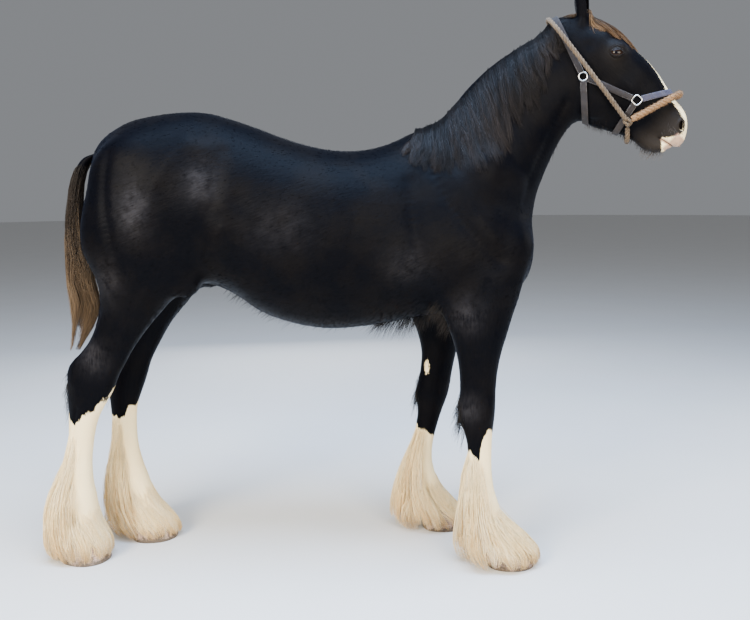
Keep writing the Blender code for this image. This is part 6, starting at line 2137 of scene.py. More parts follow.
@dataclass(frozen=True)
class Tail:
    """The dock and the long hair that falls from it."""

    dock: Rows = (
        (-1.080, 1.612, 0.044, 0.022),
        (-1.130, 1.592, 0.052, 0.030),
        (-1.165, 1.545, 0.050, 0.033),
        (-1.185, 1.480, 0.046, 0.031),
        (-1.190, 1.380, 0.042, 0.028),
        (-1.190, 1.280, 0.028, 0.018),
    )
    hair: Rows = (
        (-1.135, 1.600, 0.056, 0.032),
        (-1.168, 1.545, 0.060, 0.038),
        (-1.186, 1.470, 0.060, 0.042),
        (-1.197, 1.370, 0.066, 0.044),
        (-1.200, 1.260, 0.080, 0.047),
        (-1.188, 1.160, 0.100, 0.050),
        (-1.176, 1.070, 0.118, 0.050),
        (-1.170, 0.990, 0.112, 0.046),
        (-1.176, 0.920, 0.084, 0.037),
        (-1.200, 0.860, 0.050, 0.026),
        (-1.222, 0.815, 0.024, 0.012),
    )
    strands: int = 2350
    steps: int = 14
    locks: int = 26
    radius: float = 0.00090
    # How much slimmer the dock is than its stations, which take in its short hair.
    slim: float = 0.88
    seed: int = 59

    def build(self, body: Body) -> list[bpy.types.Object]:
        """Make the dock and grow its hair."""
        rings = []
        for x, z, depth, half in through(self.dock, 30):
            front = np.array((depth / 2 * self.slim, 0, 0))
            rings.append(section((x, 0, z), (0, 1, 0), half * self.slim, front, -front, points=24))
        dock = make_object("tail_dock", *loft(rings))
        dress(dock, CoatFinish())
        body.describe(dock.data)
        outline = Outline.of_tail(self.hair)
        flesh = outline.flesh(tree_of([dock.data]), 0.80, 1.63)
        rng = np.random.default_rng(self.seed)
        count, locks = self.strands, self.locks
        lock_turn = rng.uniform(0, 2 * math.pi, locks)
        lock_top = rng.uniform(1.30, 1.575, locks)
        lock_tip = 0.815 + 0.26 * rng.uniform(0, 1, locks) ** 1.6
        lock_layer = rng.uniform(0.25, 1.0, locks)
        lock_wave = rng.uniform(0, 2 * math.pi, locks)
        lock_shade = rng.uniform(0, 1, locks)
        lock = rng.integers(0, locks, count)
        t = np.linspace(0, 1, self.steps)[None, :]
        turn = lock_turn[lock] + rng.normal(0, 0.55, count)
        pull = (0.05 + 0.85 * t) * rng.uniform(0.6, 1.0, (count, 1))
        wave = np.sin(2 * math.pi * 2.6 * t + lock_wave[lock][:, None])
        angle = turn[:, None] + (lock_turn[lock] - turn)[:, None] * pull + 0.20 * t * wave
        start = np.clip(lock_top[lock] + rng.normal(0, 0.035, count), 1.26, 1.59)
        end = np.clip(lock_tip[lock] + np.abs(rng.normal(0, 0.03, count)), 0.818, 1.15)
        layer = np.clip(lock_layer[lock] + rng.normal(0, 0.12, count), 0.02, 1.0)
        paths = outline.hang(flesh, angle, start, end, layer, self.steps, 0.25)
        paths[..., 0] += 0.006 * wave * t * layer[:, None] * 0.6
        paths[..., :2] += rng.normal(0, 0.0025, (count, 1, 2)) * t[..., None]
        shade = np.clip(0.9 * lock_shade[lock] * layer + rng.uniform(-0.1, 0.35, count), 0, 1)
        thick = taper(count, self.steps, self.radius * rng.uniform(0.7, 1.25, count), 0.22)
        hair = Strands(paths, thick, shade).piece("tail_hair", HAIR[HairKind.TAIL], body)
        return [dock, hair]


def tuft_tree() -> bpy.types.NodeTree:
    """The tree that sets short tufts over the skin, lying with the coat."""
    held = bpy.data.node_groups.get("coat_tufts")
    if held is not None:
        return held
    inputs = (
        ("Tuft", "NodeSocketObject"),
        ("Density", "NodeSocketFloat"),
        ("Seed", "NodeSocketInt"),
        ("Patch", "NodeSocketFloat"),
        ("Material", "NodeSocketMaterial"),
    )
    graph, given, finish = new_tree("coat_tufts", inputs)
    density = given["Density"] * named(graph, "cover")
    spread = {"Mesh": given["Geometry"], "Density": density, "Seed": given["Seed"]}
    points = graph.node("GeometryNodeDistributePointsOnFaces", {"distribute_method": "RANDOM"}, spread)
    normal = Value(graph, points.socket.node.outputs["Normal"])
    upright = graph.node("FunctionNodeAlignRotationToVector", {"axis": "Z"}, {"Vector": normal})
    inputs = {"Rotation": upright, "Vector": named(graph, "lie", "FLOAT_VECTOR")}
    turned = graph.node("FunctionNodeAlignRotationToVector", {"axis": "X", "pivot_axis": "Z"}, inputs)
    wander = graph.node("FunctionNodeRandomValue", {"data_type": "FLOAT"}, {2: -0.22, 3: 0.22, 8: 5}, 1)
    twist = graph.node("ShaderNodeCombineXYZ", {}, {2: wander})
    twist = graph.node("FunctionNodeEulerToRotation", {}, {0: twist})
    turned = graph.node("FunctionNodeRotateRotation", {"rotation_space": "LOCAL"}, {0: turned, 1: twist})
    grown = graph.node("FunctionNodeRandomValue", {"data_type": "FLOAT"}, {2: 0.7, 3: 1.2, 8: 9}, 1)
    shape = graph.node("GeometryNodeObjectInfo", {}, {"Object": given["Tuft"]}, "Geometry")
    inputs = {"Points": points, "Instance": shape, "Rotation": turned, "Scale": grown * named(graph, "size")}
    tufts = graph.node("GeometryNodeInstanceOnPoints", {}, inputs)
    mesh = graph.node("GeometryNodeRealizeInstances", {}, {0: tufts})
    mesh = bake_place(graph, mesh, named(graph, "across") + 0.5, named(graph, "along"), given["Patch"])
    finish(graph.node("GeometryNodeSetMaterial", {}, {0: mesh, "Material": given["Material"]}))
    return graph.tree


@dataclass(frozen=True)
class Coat:
    """Short tufts that break the skin's outline, densest where the coat stands off the form."""

    length: float = 0.017
    width: float = 0.0014
    rise: float = 0.0013
    hairs: tuple = ((0.0, 0.0, 1.0), (-0.0022, 0.16, 0.85), (0.0024, -0.14, 0.92))
    triangles: int = 97000
    head_share: float = 0.55
    seed: int = 17

    def tuft(self) -> bpy.types.Object:
        """One tuft of thin closed blades, each bent flat towards its tip."""
        verts = []
        faces = []
        for sideways, lean, long in self.hairs:
            start = len(verts)
            half = self.width / 2
            tip_y = sideways + math.sin(lean) * self.length * long
            verts.extend(((0.0, sideways - half, -0.0004), (0.0, sideways + half, -0.0004)))
            verts.append((self.length * long * 0.40, sideways + (tip_y - sideways) * 0.40, -0.0006))
            verts.append((self.length * long, tip_y, self.rise * long))
            blade = ((0, 3, 1), (0, 1, 2), (0, 2, 3), (1, 3, 2))
            faces.extend(tuple(start + k for k in face) for face in blade)
        item = make_object("coat_tuft", verts, faces)
        face_out(item)
        points = mesh_points(item.data)
        store(item.data, "across", points[:, 1] / 0.012)
        store(item.data, "along", points[:, 0] / self.length)
        return item

    def build(self, skin: bpy.types.Object, body: Body) -> list[bpy.types.Object]:
        """Set the tufts over the skin.

        Args:
            skin: the finished skin.
            body: the body that it belongs to.

        Returns:
            The coat's pieces.
        """
        points = mesh_points(skin.data)
        normals = mesh_normals(skin.data)
        x, _y, z = points.T
        head = body.head
        local = head.local(points)
        s, n, _o = local.T
        on_head = (s > 0.0) & (z > 1.4)
        under = ease(0.2, 0.9, -normals[:, 2]) * ((z > 0.85) & (z < 1.25) | on_head)
        legs = ease(1.0, 0.8, z)
        size = 1.0 - 0.35 * legs - 0.45 * on_head * ease(-0.02, 0.10, s)
        size = size - 0.18 * on_head * ease(0.35, 0.55, s) + 0.45 * under
        cover = 0.40 + 0.60 * under + 0.75 * legs + 1.1 * on_head
        cover *= 1 - ease(0.50, 0.57, s) * on_head * 0.55
        bald = head.beside(local, head.eye, 0.030, 0.05) | head.beside(local, head.nostril, 0.024)
        bald |= (s > 0.545) & (np.abs(n + 0.055) < 0.012)
        cover[(on_head & bald) | (z < 0.11)] = 0.0
        store(skin.data, "size", size)
        store(skin.data, "cover", cover)
        tuft = self.tuft()
        finish = CoatFinish(name="coat_tufts", tuft=True)
        made = []
        zones = (("coat_rear", x < -0.30), ("coat_front", (x >= -0.30) & ~on_head), ("coat_head", on_head))
        for k, (name, chosen) in enumerate(zones):
            piece = bpy.data.objects.new(name, skin.data.copy())
            bpy.context.scene.collection.objects.link(piece)
            store_over(piece.data, "cover", cover * chosen)
            share = self.head_share if name == "coat_head" else 1.0
            density = self.triangles * share / (4 * len(self.hairs))
            density /= self.covered(piece.data, cover * chosen)
            values = {"Tuft": tuft, "Density": density, "Seed": self.seed + k, "Patch": PATCH}
            run_tree(piece, tuft_tree(), {**values, "Material": finish.material()})
            made.append(piece)
        bpy.data.objects.remove(tuft, do_unlink=True)
        return made

    @staticmethod
    def covered(mesh: bpy.types.Mesh, cover: np.ndarray) -> float:
        """Area of a mesh, weighted by its cover."""
        corners = mesh_triangles(mesh)
        a, b, c = (mesh_points(mesh)[corners[:, k]] for k in range(3))
        areas = np.linalg.norm(np.cross(b - a, c - a), axis=1) / 2
        return float((areas * cover[corners].mean(axis=1)).sum())


def store_over(mesh: bpy.types.Mesh, name: str, values: np.ndarray) -> None:
    """Replace a stored number for each vertex."""
    mesh.attributes[name].data.foreach_set("value", np.asarray(values, dtype=float))


@dataclass(frozen=True)
class Spray:
    """Loose hair along a line of the body: belly, elbow, jaw, knee and hock."""

    name: str
    # Root x, y, z, then the tip's offset x, y, z.
    rows: Rows
    strands: int
    spread: tuple[float, float, float]
    radius: float = 0.0006
    wave: float = 0.004


@dataclass(frozen=True)
class Fringe:
    """The sprays, with whiskers and lashes."""

    steps: int = 6
    seed: int = 71
    jaw_hairs: int = 420
    ear_hairs: int = 230
    whisker_hairs: int = 150
    lashes: int = 46
    sprays: tuple = (
        Spray("belly", ((0.010, -0.02, 0.93, -0.050, 0.0, -0.045),
                        (0.130, -0.02, 0.95, -0.035, 0.0, -0.085),
                        (0.230, -0.02, 0.97, -0.020, 0.0, -0.070)), 420, (0.03, 0.055, 0.0)),
        Spray("flank", ((-0.100, 0.0, 0.93, -0.030, 0.0, -0.014),
                        (-0.400, 0.0, 0.96, -0.030, 0.0, -0.018),
                        (-0.560, 0.0, 1.06, -0.030, 0.0, -0.034)), 260, (0.04, 0.09, 0.0)),
        Spray("elbow_right", ((0.225, -0.19, 1.03, -0.035, -0.004, -0.050),
                              (0.285, -0.19, 0.93, -0.030, 0.0, -0.050)), 160, (0.012, 0.03, 0.02)),
        Spray("elbow_left", ((0.100, 0.19, 1.03, -0.035, 0.004, -0.050),
                             (0.160, 0.19, 0.93, -0.030, 0.0, -0.050)), 160, (0.012, 0.03, 0.02)),
        Spray("knee_right", ((0.318, -0.19, 0.660, -0.022, 0.0, -0.090),
                             (0.335, -0.19, 0.560, -0.016, 0.0, -0.080)), 190, (0.006, 0.028, 0.03)),
        Spray("knee_left", ((0.180, 0.19, 0.660, -0.020, 0.0, -0.080),
                            (0.175, 0.19, 0.560, -0.014, 0.0, -0.075)), 150, (0.006, 0.028, 0.03)),
        Spray("hock_right", ((-1.196, -0.128, 0.780, -0.012, 0.0, -0.070),
                             (-1.205, -0.124, 0.640, -0.016, 0.0, -0.080)), 150, (0.006, 0.022, 0.03)),
        Spray("hock_left", ((-1.145, 0.128, 0.780, -0.012, 0.0, -0.070),
                            (-1.130, 0.124, 0.640, -0.016, 0.0, -0.080)), 150, (0.006, 0.022, 0.03)),
    )

    def build(self, tree: BVHTree, body: Body) -> list[bpy.types.Object]:
        """Grow the loose hair on the skin."""
        rng = np.random.default_rng(self.seed)
        made = []
        paths, radii, shades = [], [], []
        for spray in self.sprays:
            found, radius, shade = self.spray(spray, tree, rng)
            log.info("spray at the %s: %d hairs", spray.name, spray.strands)
            paths.append(found)
            radii.append(radius)
            shades.append(shade)
        paths.append(self.jaw(tree, body, rng))
        radii.append(np.full(len(paths[-1]), 0.00050))
        shades.append(rng.uniform(0, 1, len(paths[-1])))
        whole = np.concatenate(paths)
        thick = taper(len(whole), self.steps, np.concatenate(radii), 0.2, 0.3)
        strands = Strands(whole, thick, np.concatenate(shades))
        made.append(strands.piece("fringe", HAIR[HairKind.FRINGE], body))
        made.append(self.whiskers(tree, body, rng))
        return made

    def spray(self, spray: Spray, tree: BVHTree, rng: np.random.Generator) -> tuple:
        """Paths, thickness and shade of one spray."""
        count = spray.strands
        row = table_at(through(spray.rows, 40), rng.uniform(0, 1, count))
        start = row[:, :3] + rng.normal(0, 1, (count, 3)) * np.array(spray.spread) * 0.6
        for k in range(count):
            hit = tree.find_nearest(Vector(start[k]))
            start[k] = np.array(hit[0]) - np.array(hit[1]) * 0.002
        tip = row[:, 3:] * rng.uniform(0.45, 1.1, (count, 1)) + rng.normal(0, 0.008, (count, 3))
        t = np.linspace(0, 1, self.steps)[None, :, None]
        bend = np.sin(2 * math.pi * t + rng.uniform(0, 6.28, (count, 1, 1))) * spray.wave * t
        paths = start[:, None] + tip[:, None] * t + bend * np.array((1.0, 0.6, 0.0))
        paths[..., 2] -= 0.25 * np.linalg.norm(tip, axis=1)[:, None] * (t[..., 0] ** 2 - t[..., 0])
        return paths, spray.radius * rng.uniform(0.7, 1.2, count), rng.uniform(0, 1, count)

    def jaw(self, tree: BVHTree, body: Body, rng: np.random.Generator) -> np.ndarray:
        """Hair along the jaw and in the cups of the ears."""
        head = body.head
        along, out, left = head.axes()
        paths = []
        t = np.linspace(0, 1, self.steps)[:, None]
        for _ in range(self.jaw_hairs):
            s = rng.uniform(0.15, 0.60)
            o = rng.normal(0, 0.020)
            hit = tree.ray_cast(Vector(head.point(s, -0.4, o)), Vector(out), 0.5)
            if hit[0] is None:
                continue
            way = along * rng.uniform(0.1, 0.6) - out * rng.uniform(0.4, 0.9) + left * rng.normal(0, 0.25)
            long = rng.uniform(0.008, 0.022)
            base = np.array(hit[0]) + out * 0.002
            paths.append(base + unit(way) * long * t + np.array((0, 0, -0.25 * long)) * t**2)
        for side in (RIGHT, LEFT):
            axis, facing, across = head.ear_axes(side)
            for _ in range(self.ear_hairs):
                rise = rng.uniform(0.05, 0.70)
                base = head.ear_base(side) + axis * Ear.length * rise
                base = base + across * rng.normal(0, 0.010) - facing * 0.012
                way = facing * rng.uniform(0.5, 1.0) + axis * rng.uniform(0.3, 1.0)
                way = way + across * rng.normal(0, 0.5)
                long = rng.uniform(0.014, 0.030) * (1.1 - rise * 0.5)
                paths.append(base + unit(way) * long * t)
        return np.array(paths)

    def whiskers(self, tree: BVHTree, body: Body, rng: np.random.Generator) -> bpy.types.Object:
        """Whiskers of the muzzle and chin, and the lashes."""
        head = body.head
        along, out, left = head.axes()
        t = np.linspace(0, 1, self.steps)[:, None]
        paths, radii = [], []
        for _ in range(self.whisker_hairs):
            low = rng.uniform(0, 1) < 0.6
            side = rng.choice((RIGHT, LEFT))
            if low:
                start = head.point(rng.uniform(0.54, 0.61), -0.4, rng.uniform(-0.035, 0.035))
                hit = tree.ray_cast(Vector(start), Vector(out), 0.5)
                way = -out + along * rng.uniform(-0.1, 0.5) + left * rng.normal(0, 0.3)
            else:
                start = head.point(rng.uniform(0.54, 0.62), rng.uniform(-0.045, 0.0), side * 0.3)
                hit = tree.ray_cast(Vector(start), Vector(-left * side), 0.4)
                way = left * side + along * rng.uniform(0.0, 0.8) - out * rng.uniform(0.0, 0.6)
            if hit[0] is None:
                continue
            long = rng.uniform(0.012, 0.040)
            paths.append(np.array(hit[0]) + unit(way) * long * t + np.array((0, 0, -0.25 * long)) * t**2)
            radii.append(0.00028)
        length, height = head.eye_opening
        first, second = head.tilted(head.eye_tilt)
        for side in (RIGHT, LEFT):
            for f in np.linspace(-0.75, 0.75, self.lashes):
                a = f * length / 2
                b = height * head.lid_shares[0] * (1 - f * f)
                far = head.eye[2] + float(head.ball_height(np.array(a), np.array(b))) + 0.0022
                base = head.point(head.eye[0], head.eye[1], side * far) + first * a + second * b
                way = left * side * 0.9 - second * rng.uniform(0.15, 0.45)
                way = way + first * (0.35 * f + rng.normal(0, 0.06))
                long = rng.uniform(0.012, 0.019) * (1 - 0.35 * f * f)
                paths.append(base + unit(way) * long * t + second * 0.20 * long * t**2)
                radii.append(0.00032)
        whole = np.array(paths)
        thick = taper(len(whole), self.steps, np.array(radii), 0.3, 0.2)
        strands = Strands(whole, thick, rng.uniform(0, 1, len(whole)))
        return strands.piece("whiskers", HAIR[HairKind.WHISKER], body)


@dataclass(frozen=True)
class Ear:
    """One ear: a thin cup that narrows to its tip, with a rolled edge."""

    length: float = 0.190
    wall: float = 0.0042
    # Share of the length, radius, half angle of the wall.
    stations: Rows = (
        (0.00, 0.0235, 172),
        (0.15, 0.0270, 150),
        (0.35, 0.0310, 128),
        (0.55, 0.0300, 118),
        (0.75, 0.0225, 112),
        (0.90, 0.0120, 110),
        (1.00, 0.0035, 108),
    )
    rows: int = 34
    turns: int = 23

    def build(self, side: int, body: Body) -> bpy.types.Object:
        """Make the ear.

        Args:
            side: which ear.
            body: the body that it stands on.

        Returns:
            The ear, with the coat's markings stored on it.
        """
        head = body.head
        axis, facing, across = head.ear_axes(side)
        rings = []
        for rise, radius, spread in through(self.stations, self.rows):
            wall = min(self.wall, radius * 0.6)
            angles = np.radians(np.linspace(-spread, spread, self.turns))
            sway = -facing * 0.010 * math.sin(math.pi * rise)
            centre = head.ear_base(side) + axis * (self.length * rise - 0.010 * (1 - rise)) + sway
            ring = []
            for reach, turns in ((radius - 0.0010, angles), (radius - wall, angles[::-1])):
                for a in turns:
                    edge = abs(a) / max(math.radians(spread), 0.01)
                    ripple = 0.0009 * math.sin(9 * a + 20 * rise) * (1 - edge)
                    roll = 0.0016 * ease(0.82, 1.0, edge)
                    way = across * 0.92 * math.sin(a) - facing * math.cos(a)
                    ring.append(centre + (reach + float(ripple) - float(roll) * 0.5) * way)
            rings.append(ring)
        verts, faces = self.strip(rings, self.turns)
        item = make_object("ear_cup_" + WORDS[side], verts, faces)
        face_out(item)
        rounder = item.modifiers.new("round", "SUBSURF")
        rounder.levels = 1
        rounder.render_levels = 1
        settle(item)
        smooth(item.data)
        body.describe(item.data)
        store_over(item.data, "white", np.full(len(item.data.vertices), -0.05))
        store_over(item.data, "shade", np.full(len(item.data.vertices), 0.9))
        item.data.materials.append(CoatFinish().material())
        return item

    @staticmethod
    def strip(rings: Sequence, count: int) -> Shape:
        """A closed skin through rings made of an outer and an inner row of points."""
        total = 2 * count
        verts = [tuple(p) for ring in rings for p in ring]
        faces = walls(len(rings), total)
        last = (len(rings) - 1) * total
        for k in range(count - 1):
            faces.append((total - 1 - k, total - 2 - k, k + 1, k))
            faces.append((last + k, last + k + 1, last + total - 2 - k, last + total - 1 - k))
        return verts, faces


@dataclass(frozen=True)
class Eye:
    """One eye: a ball with a level pupil, and the moist edge of its lids."""

    segments: int = 48
    rings: int = 28
    pupil: tuple[float, float] = (0.0095, 0.0048)
    iris: float = 0.0175
    edge: float = 0.0011
    # Turn of the pupil against the opening, and how far the ball draws in behind the lids.
    level: float = math.radians(8)
    drawn_in: float = 0.12

    def build(self, side: int, head: Head) -> tuple[bpy.types.Object, bpy.types.Object]:
        """Make the ball and the lids' edge.

        Args:
            side: which eye.
            head: the head that it sits in.

        Returns:
            The ball and the edge.
        """
        return self.ball(side, head), self.lid(side, head)

    def ball(self, side: int, head: Head) -> bpy.types.Object:
        """The ball, drawn in behind the lids, with its pupil and rim stored on it."""
        place = (head.eye[0], head.eye[1], head.eye[2] * side)
        shape = head.egg(place, head.eye_ball, head.eye_tilt, self.segments, self.rings)
        ball = make_object("eyeball_" + WORDS[side], *shape)
        dress(ball, EyeFinish())
        points = mesh_points(ball.data)
        a, b, inside = head.almond(head.local(points))
        middle = head.point(*place)
        sunk = 1 - self.drawn_in * ease(-0.0010, -0.0060, inside)
        set_points(ball.data, middle + (points - middle) * sunk[:, None])
        first, second = turned(a, b, (0.0, 0.0), self.level)
        hole = np.abs(first / self.pupil[0]) ** 2.6 + np.abs(second / self.pupil[1]) ** 2.6
        store(ball.data, "pupil", ease(1.25, 0.85, hole))
        store(ball.data, "rim", ease(self.iris, self.iris + 0.004, np.hypot(a, b)))
        return ball

    def lid(self, side: int, head: Head) -> bpy.types.Object:
        """The moist edge of the lids, a thin ring on the ball."""
        length, height = head.eye_opening
        left = head.axes()[2]
        way_a, way_b = head.tilted(head.eye_tilt)
        spin = np.linspace(0, 2 * math.pi, 8, endpoint=False)
        rings = []
        for turn in np.linspace(0, 2 * math.pi, 72, endpoint=False):
            f = math.cos(turn)
            tall = height * head.lid_shares[0 if math.sin(turn) > 0 else 1]
            a = f * length / 2
            b = math.copysign(tall * (1 - f * f), math.sin(turn))
            far = head.eye[2] + float(head.ball_height(np.array(a), np.array(b))) + 0.0010
            centre = head.point(head.eye[0], head.eye[1], side * far) + way_a * a + way_b * b
            outward = unit(way_a * a + way_b * b * 1.6)
            ways = [outward * math.cos(k) + left * side * math.sin(k) for k in spin]
            rings.append([centre + way * self.edge for way in ways])
        return closed_ring("lid_edge_" + WORDS[side], rings, LidFinish())


@dataclass(frozen=True)
class Hoof:
    """A hoof wall with growth rings and a hollow sole, flat on the floor."""

    ground_depth: float = 0.186
    ground_half: float = 0.088
    crown_depth: float = 0.150
    crown_half: float = 0.072
    back: float = 0.022
    crown_z: float = 0.090
    # Middle x, distance from the midline, outward turn in degrees.
    places: tuple = (
        ("fore_right", RIGHT, 0.518, 0.190, 4),
        ("fore_left", LEFT, 0.288, 0.190, 0),
        ("hind_right", RIGHT, -1.160, 0.112, 20),
        ("hind_left", LEFT, -0.942, 0.106, 6),
    )

    def build(self, name: str, side: int, x: float, spread: float, turn: float) -> bpy.types.Object:
        """Make one hoof.

        Args:
            name: which leg it belongs to.
            side: which side it is on.
            x: its middle along the horse.
            spread: its distance from the midline.
            turn: how far its toe points outwards, in degrees.

        Returns:
            The hoof.
        """
        angle = math.radians(turn) * side
        front = np.array((math.cos(angle), math.sin(angle), 0))
        across = np.array((-math.sin(angle), math.cos(angle), 0))
        rings = []
        for level in np.linspace(0.0, 1.0, 26):
            ring_wave = 0.0007 * math.sin(level * 46.0)
            swell = ring_wave * math.sin(math.pi * min(level * 1.2, 1.0))
            depth = self.ground_depth + (self.crown_depth - self.ground_depth) * level + 2 * swell
            half = self.ground_half + (self.crown_half - self.ground_half) * level + swell
            depth -= 0.004 * ease(0.05, 0.0, level)
            half -= 0.002 * ease(0.05, 0.0, level)
            centre = np.array((x, side * spread, self.crown_z * level)) - front * self.back * level
            toe = front * depth / 2
            rings.append(section(centre, across, half, toe, -toe, 2.1, 2.6, points=56))
        sole = []
        middle = np.array((x, side * spread, 0.0))
        for share, height in ((0.90, 0.0), (0.84, 0.006), (0.40, 0.010)):
            sole.append(middle + (rings[0] - middle) * share + np.array((0, 0, height)))
        item = make_object("horn_" + name, *loft(sole[::-1] + rings))
        dress(item, HornFinish())
        return item


def hull(points: Iterable) -> np.ndarray:
    """The convex outline round points in a plane, anticlockwise."""
    points = sorted(set((round(float(x), 6), round(float(y), 6)) for x, y in points))

    def chain(row: list) -> list:
        """One side of the outline."""
        kept: list = []
        for p in row:
            while len(kept) > 1:
                (ax, ay), (bx, by) = kept[-2], kept[-1]
                if (bx - ax) * (p[1] - ay) - (by - ay) * (p[0] - ax) > 0:
                    break
                kept.pop()
            kept.append(p)
        return kept[:-1]

    return np.array(chain(points) + chain(points[::-1]))


@dataclass
class Girth:
    """The body's outline in a plane, as a taut strap or rope would follow it."""

    tree: BVHTree
    head: Head
    start: tuple[float, float]
    over: tuple[float, float]

    def frame(self) -> tuple[np.ndarray, np.ndarray, np.ndarray, np.ndarray]:
        """The plane's middle, its way over the head, its way to the left, and its normal."""
        _along, _out, left = self.head.axes()
        centre = self.head.point(*self.start)
        first = unit(self.head.point(*self.over) - centre)
        return centre, first, left, np.cross(first, left)

    def outline(self, centre: np.ndarray, count: int = 120) -> tuple[np.ndarray, np.ndarray]:
        """Angles and reaches of the taut outline round a middle."""
        _centre, first, second, _across = self.frame()
        found = []
        for angle in np.linspace(0, 2 * math.pi, count, endpoint=False):
            way = first * math.cos(angle) + second * math.sin(angle)
            hit = self.tree.ray_cast(Vector(centre + way * 0.5), Vector(-way))
            if hit[0] is not None:
                found.append((0.5 - hit[3]) * np.array((math.cos(angle), math.sin(angle))))
        ring = hull(found)
        after = np.roll(ring, -1, axis=0)
        dense = np.concatenate([ring + (after - ring) * f for f in np.linspace(0, 1, 12, endpoint=False)])
        angle = np.arctan2(dense[:, 1], dense[:, 0])
        order = np.argsort(angle)
        return angle[order], np.linalg.norm(dense[order], axis=1)

    @staticmethod
    def arc(outline: tuple, count: int, trim: float, lift: float) -> tuple[np.ndarray, np.ndarray]:
        """Points and outward ways from one side over to the other, short of the ends."""
        angle, radius = outline
        fine = np.linspace(-math.pi / 2, math.pi / 2, 240)
        reach = np.interp(fine, angle, radius, period=2 * math.pi)
        around = np.clip(np.arange(len(fine))[:, None] + np.arange(-4, 5), 0, len(fine) - 1)
        reach = reach[around].max(axis=1)[around].mean(axis=1)
        path = np.stack((reach * np.cos(fine), reach * np.sin(fine)), axis=1)
        run = lengths(path)
        points = points_at(path, run, np.linspace(trim, run[-1] - trim, count))
        tangent = unit(np.gradient(points, axis=0))
        out = np.stack((tangent[:, 1], -tangent[:, 0]), axis=1)
        return points + out * lift, out


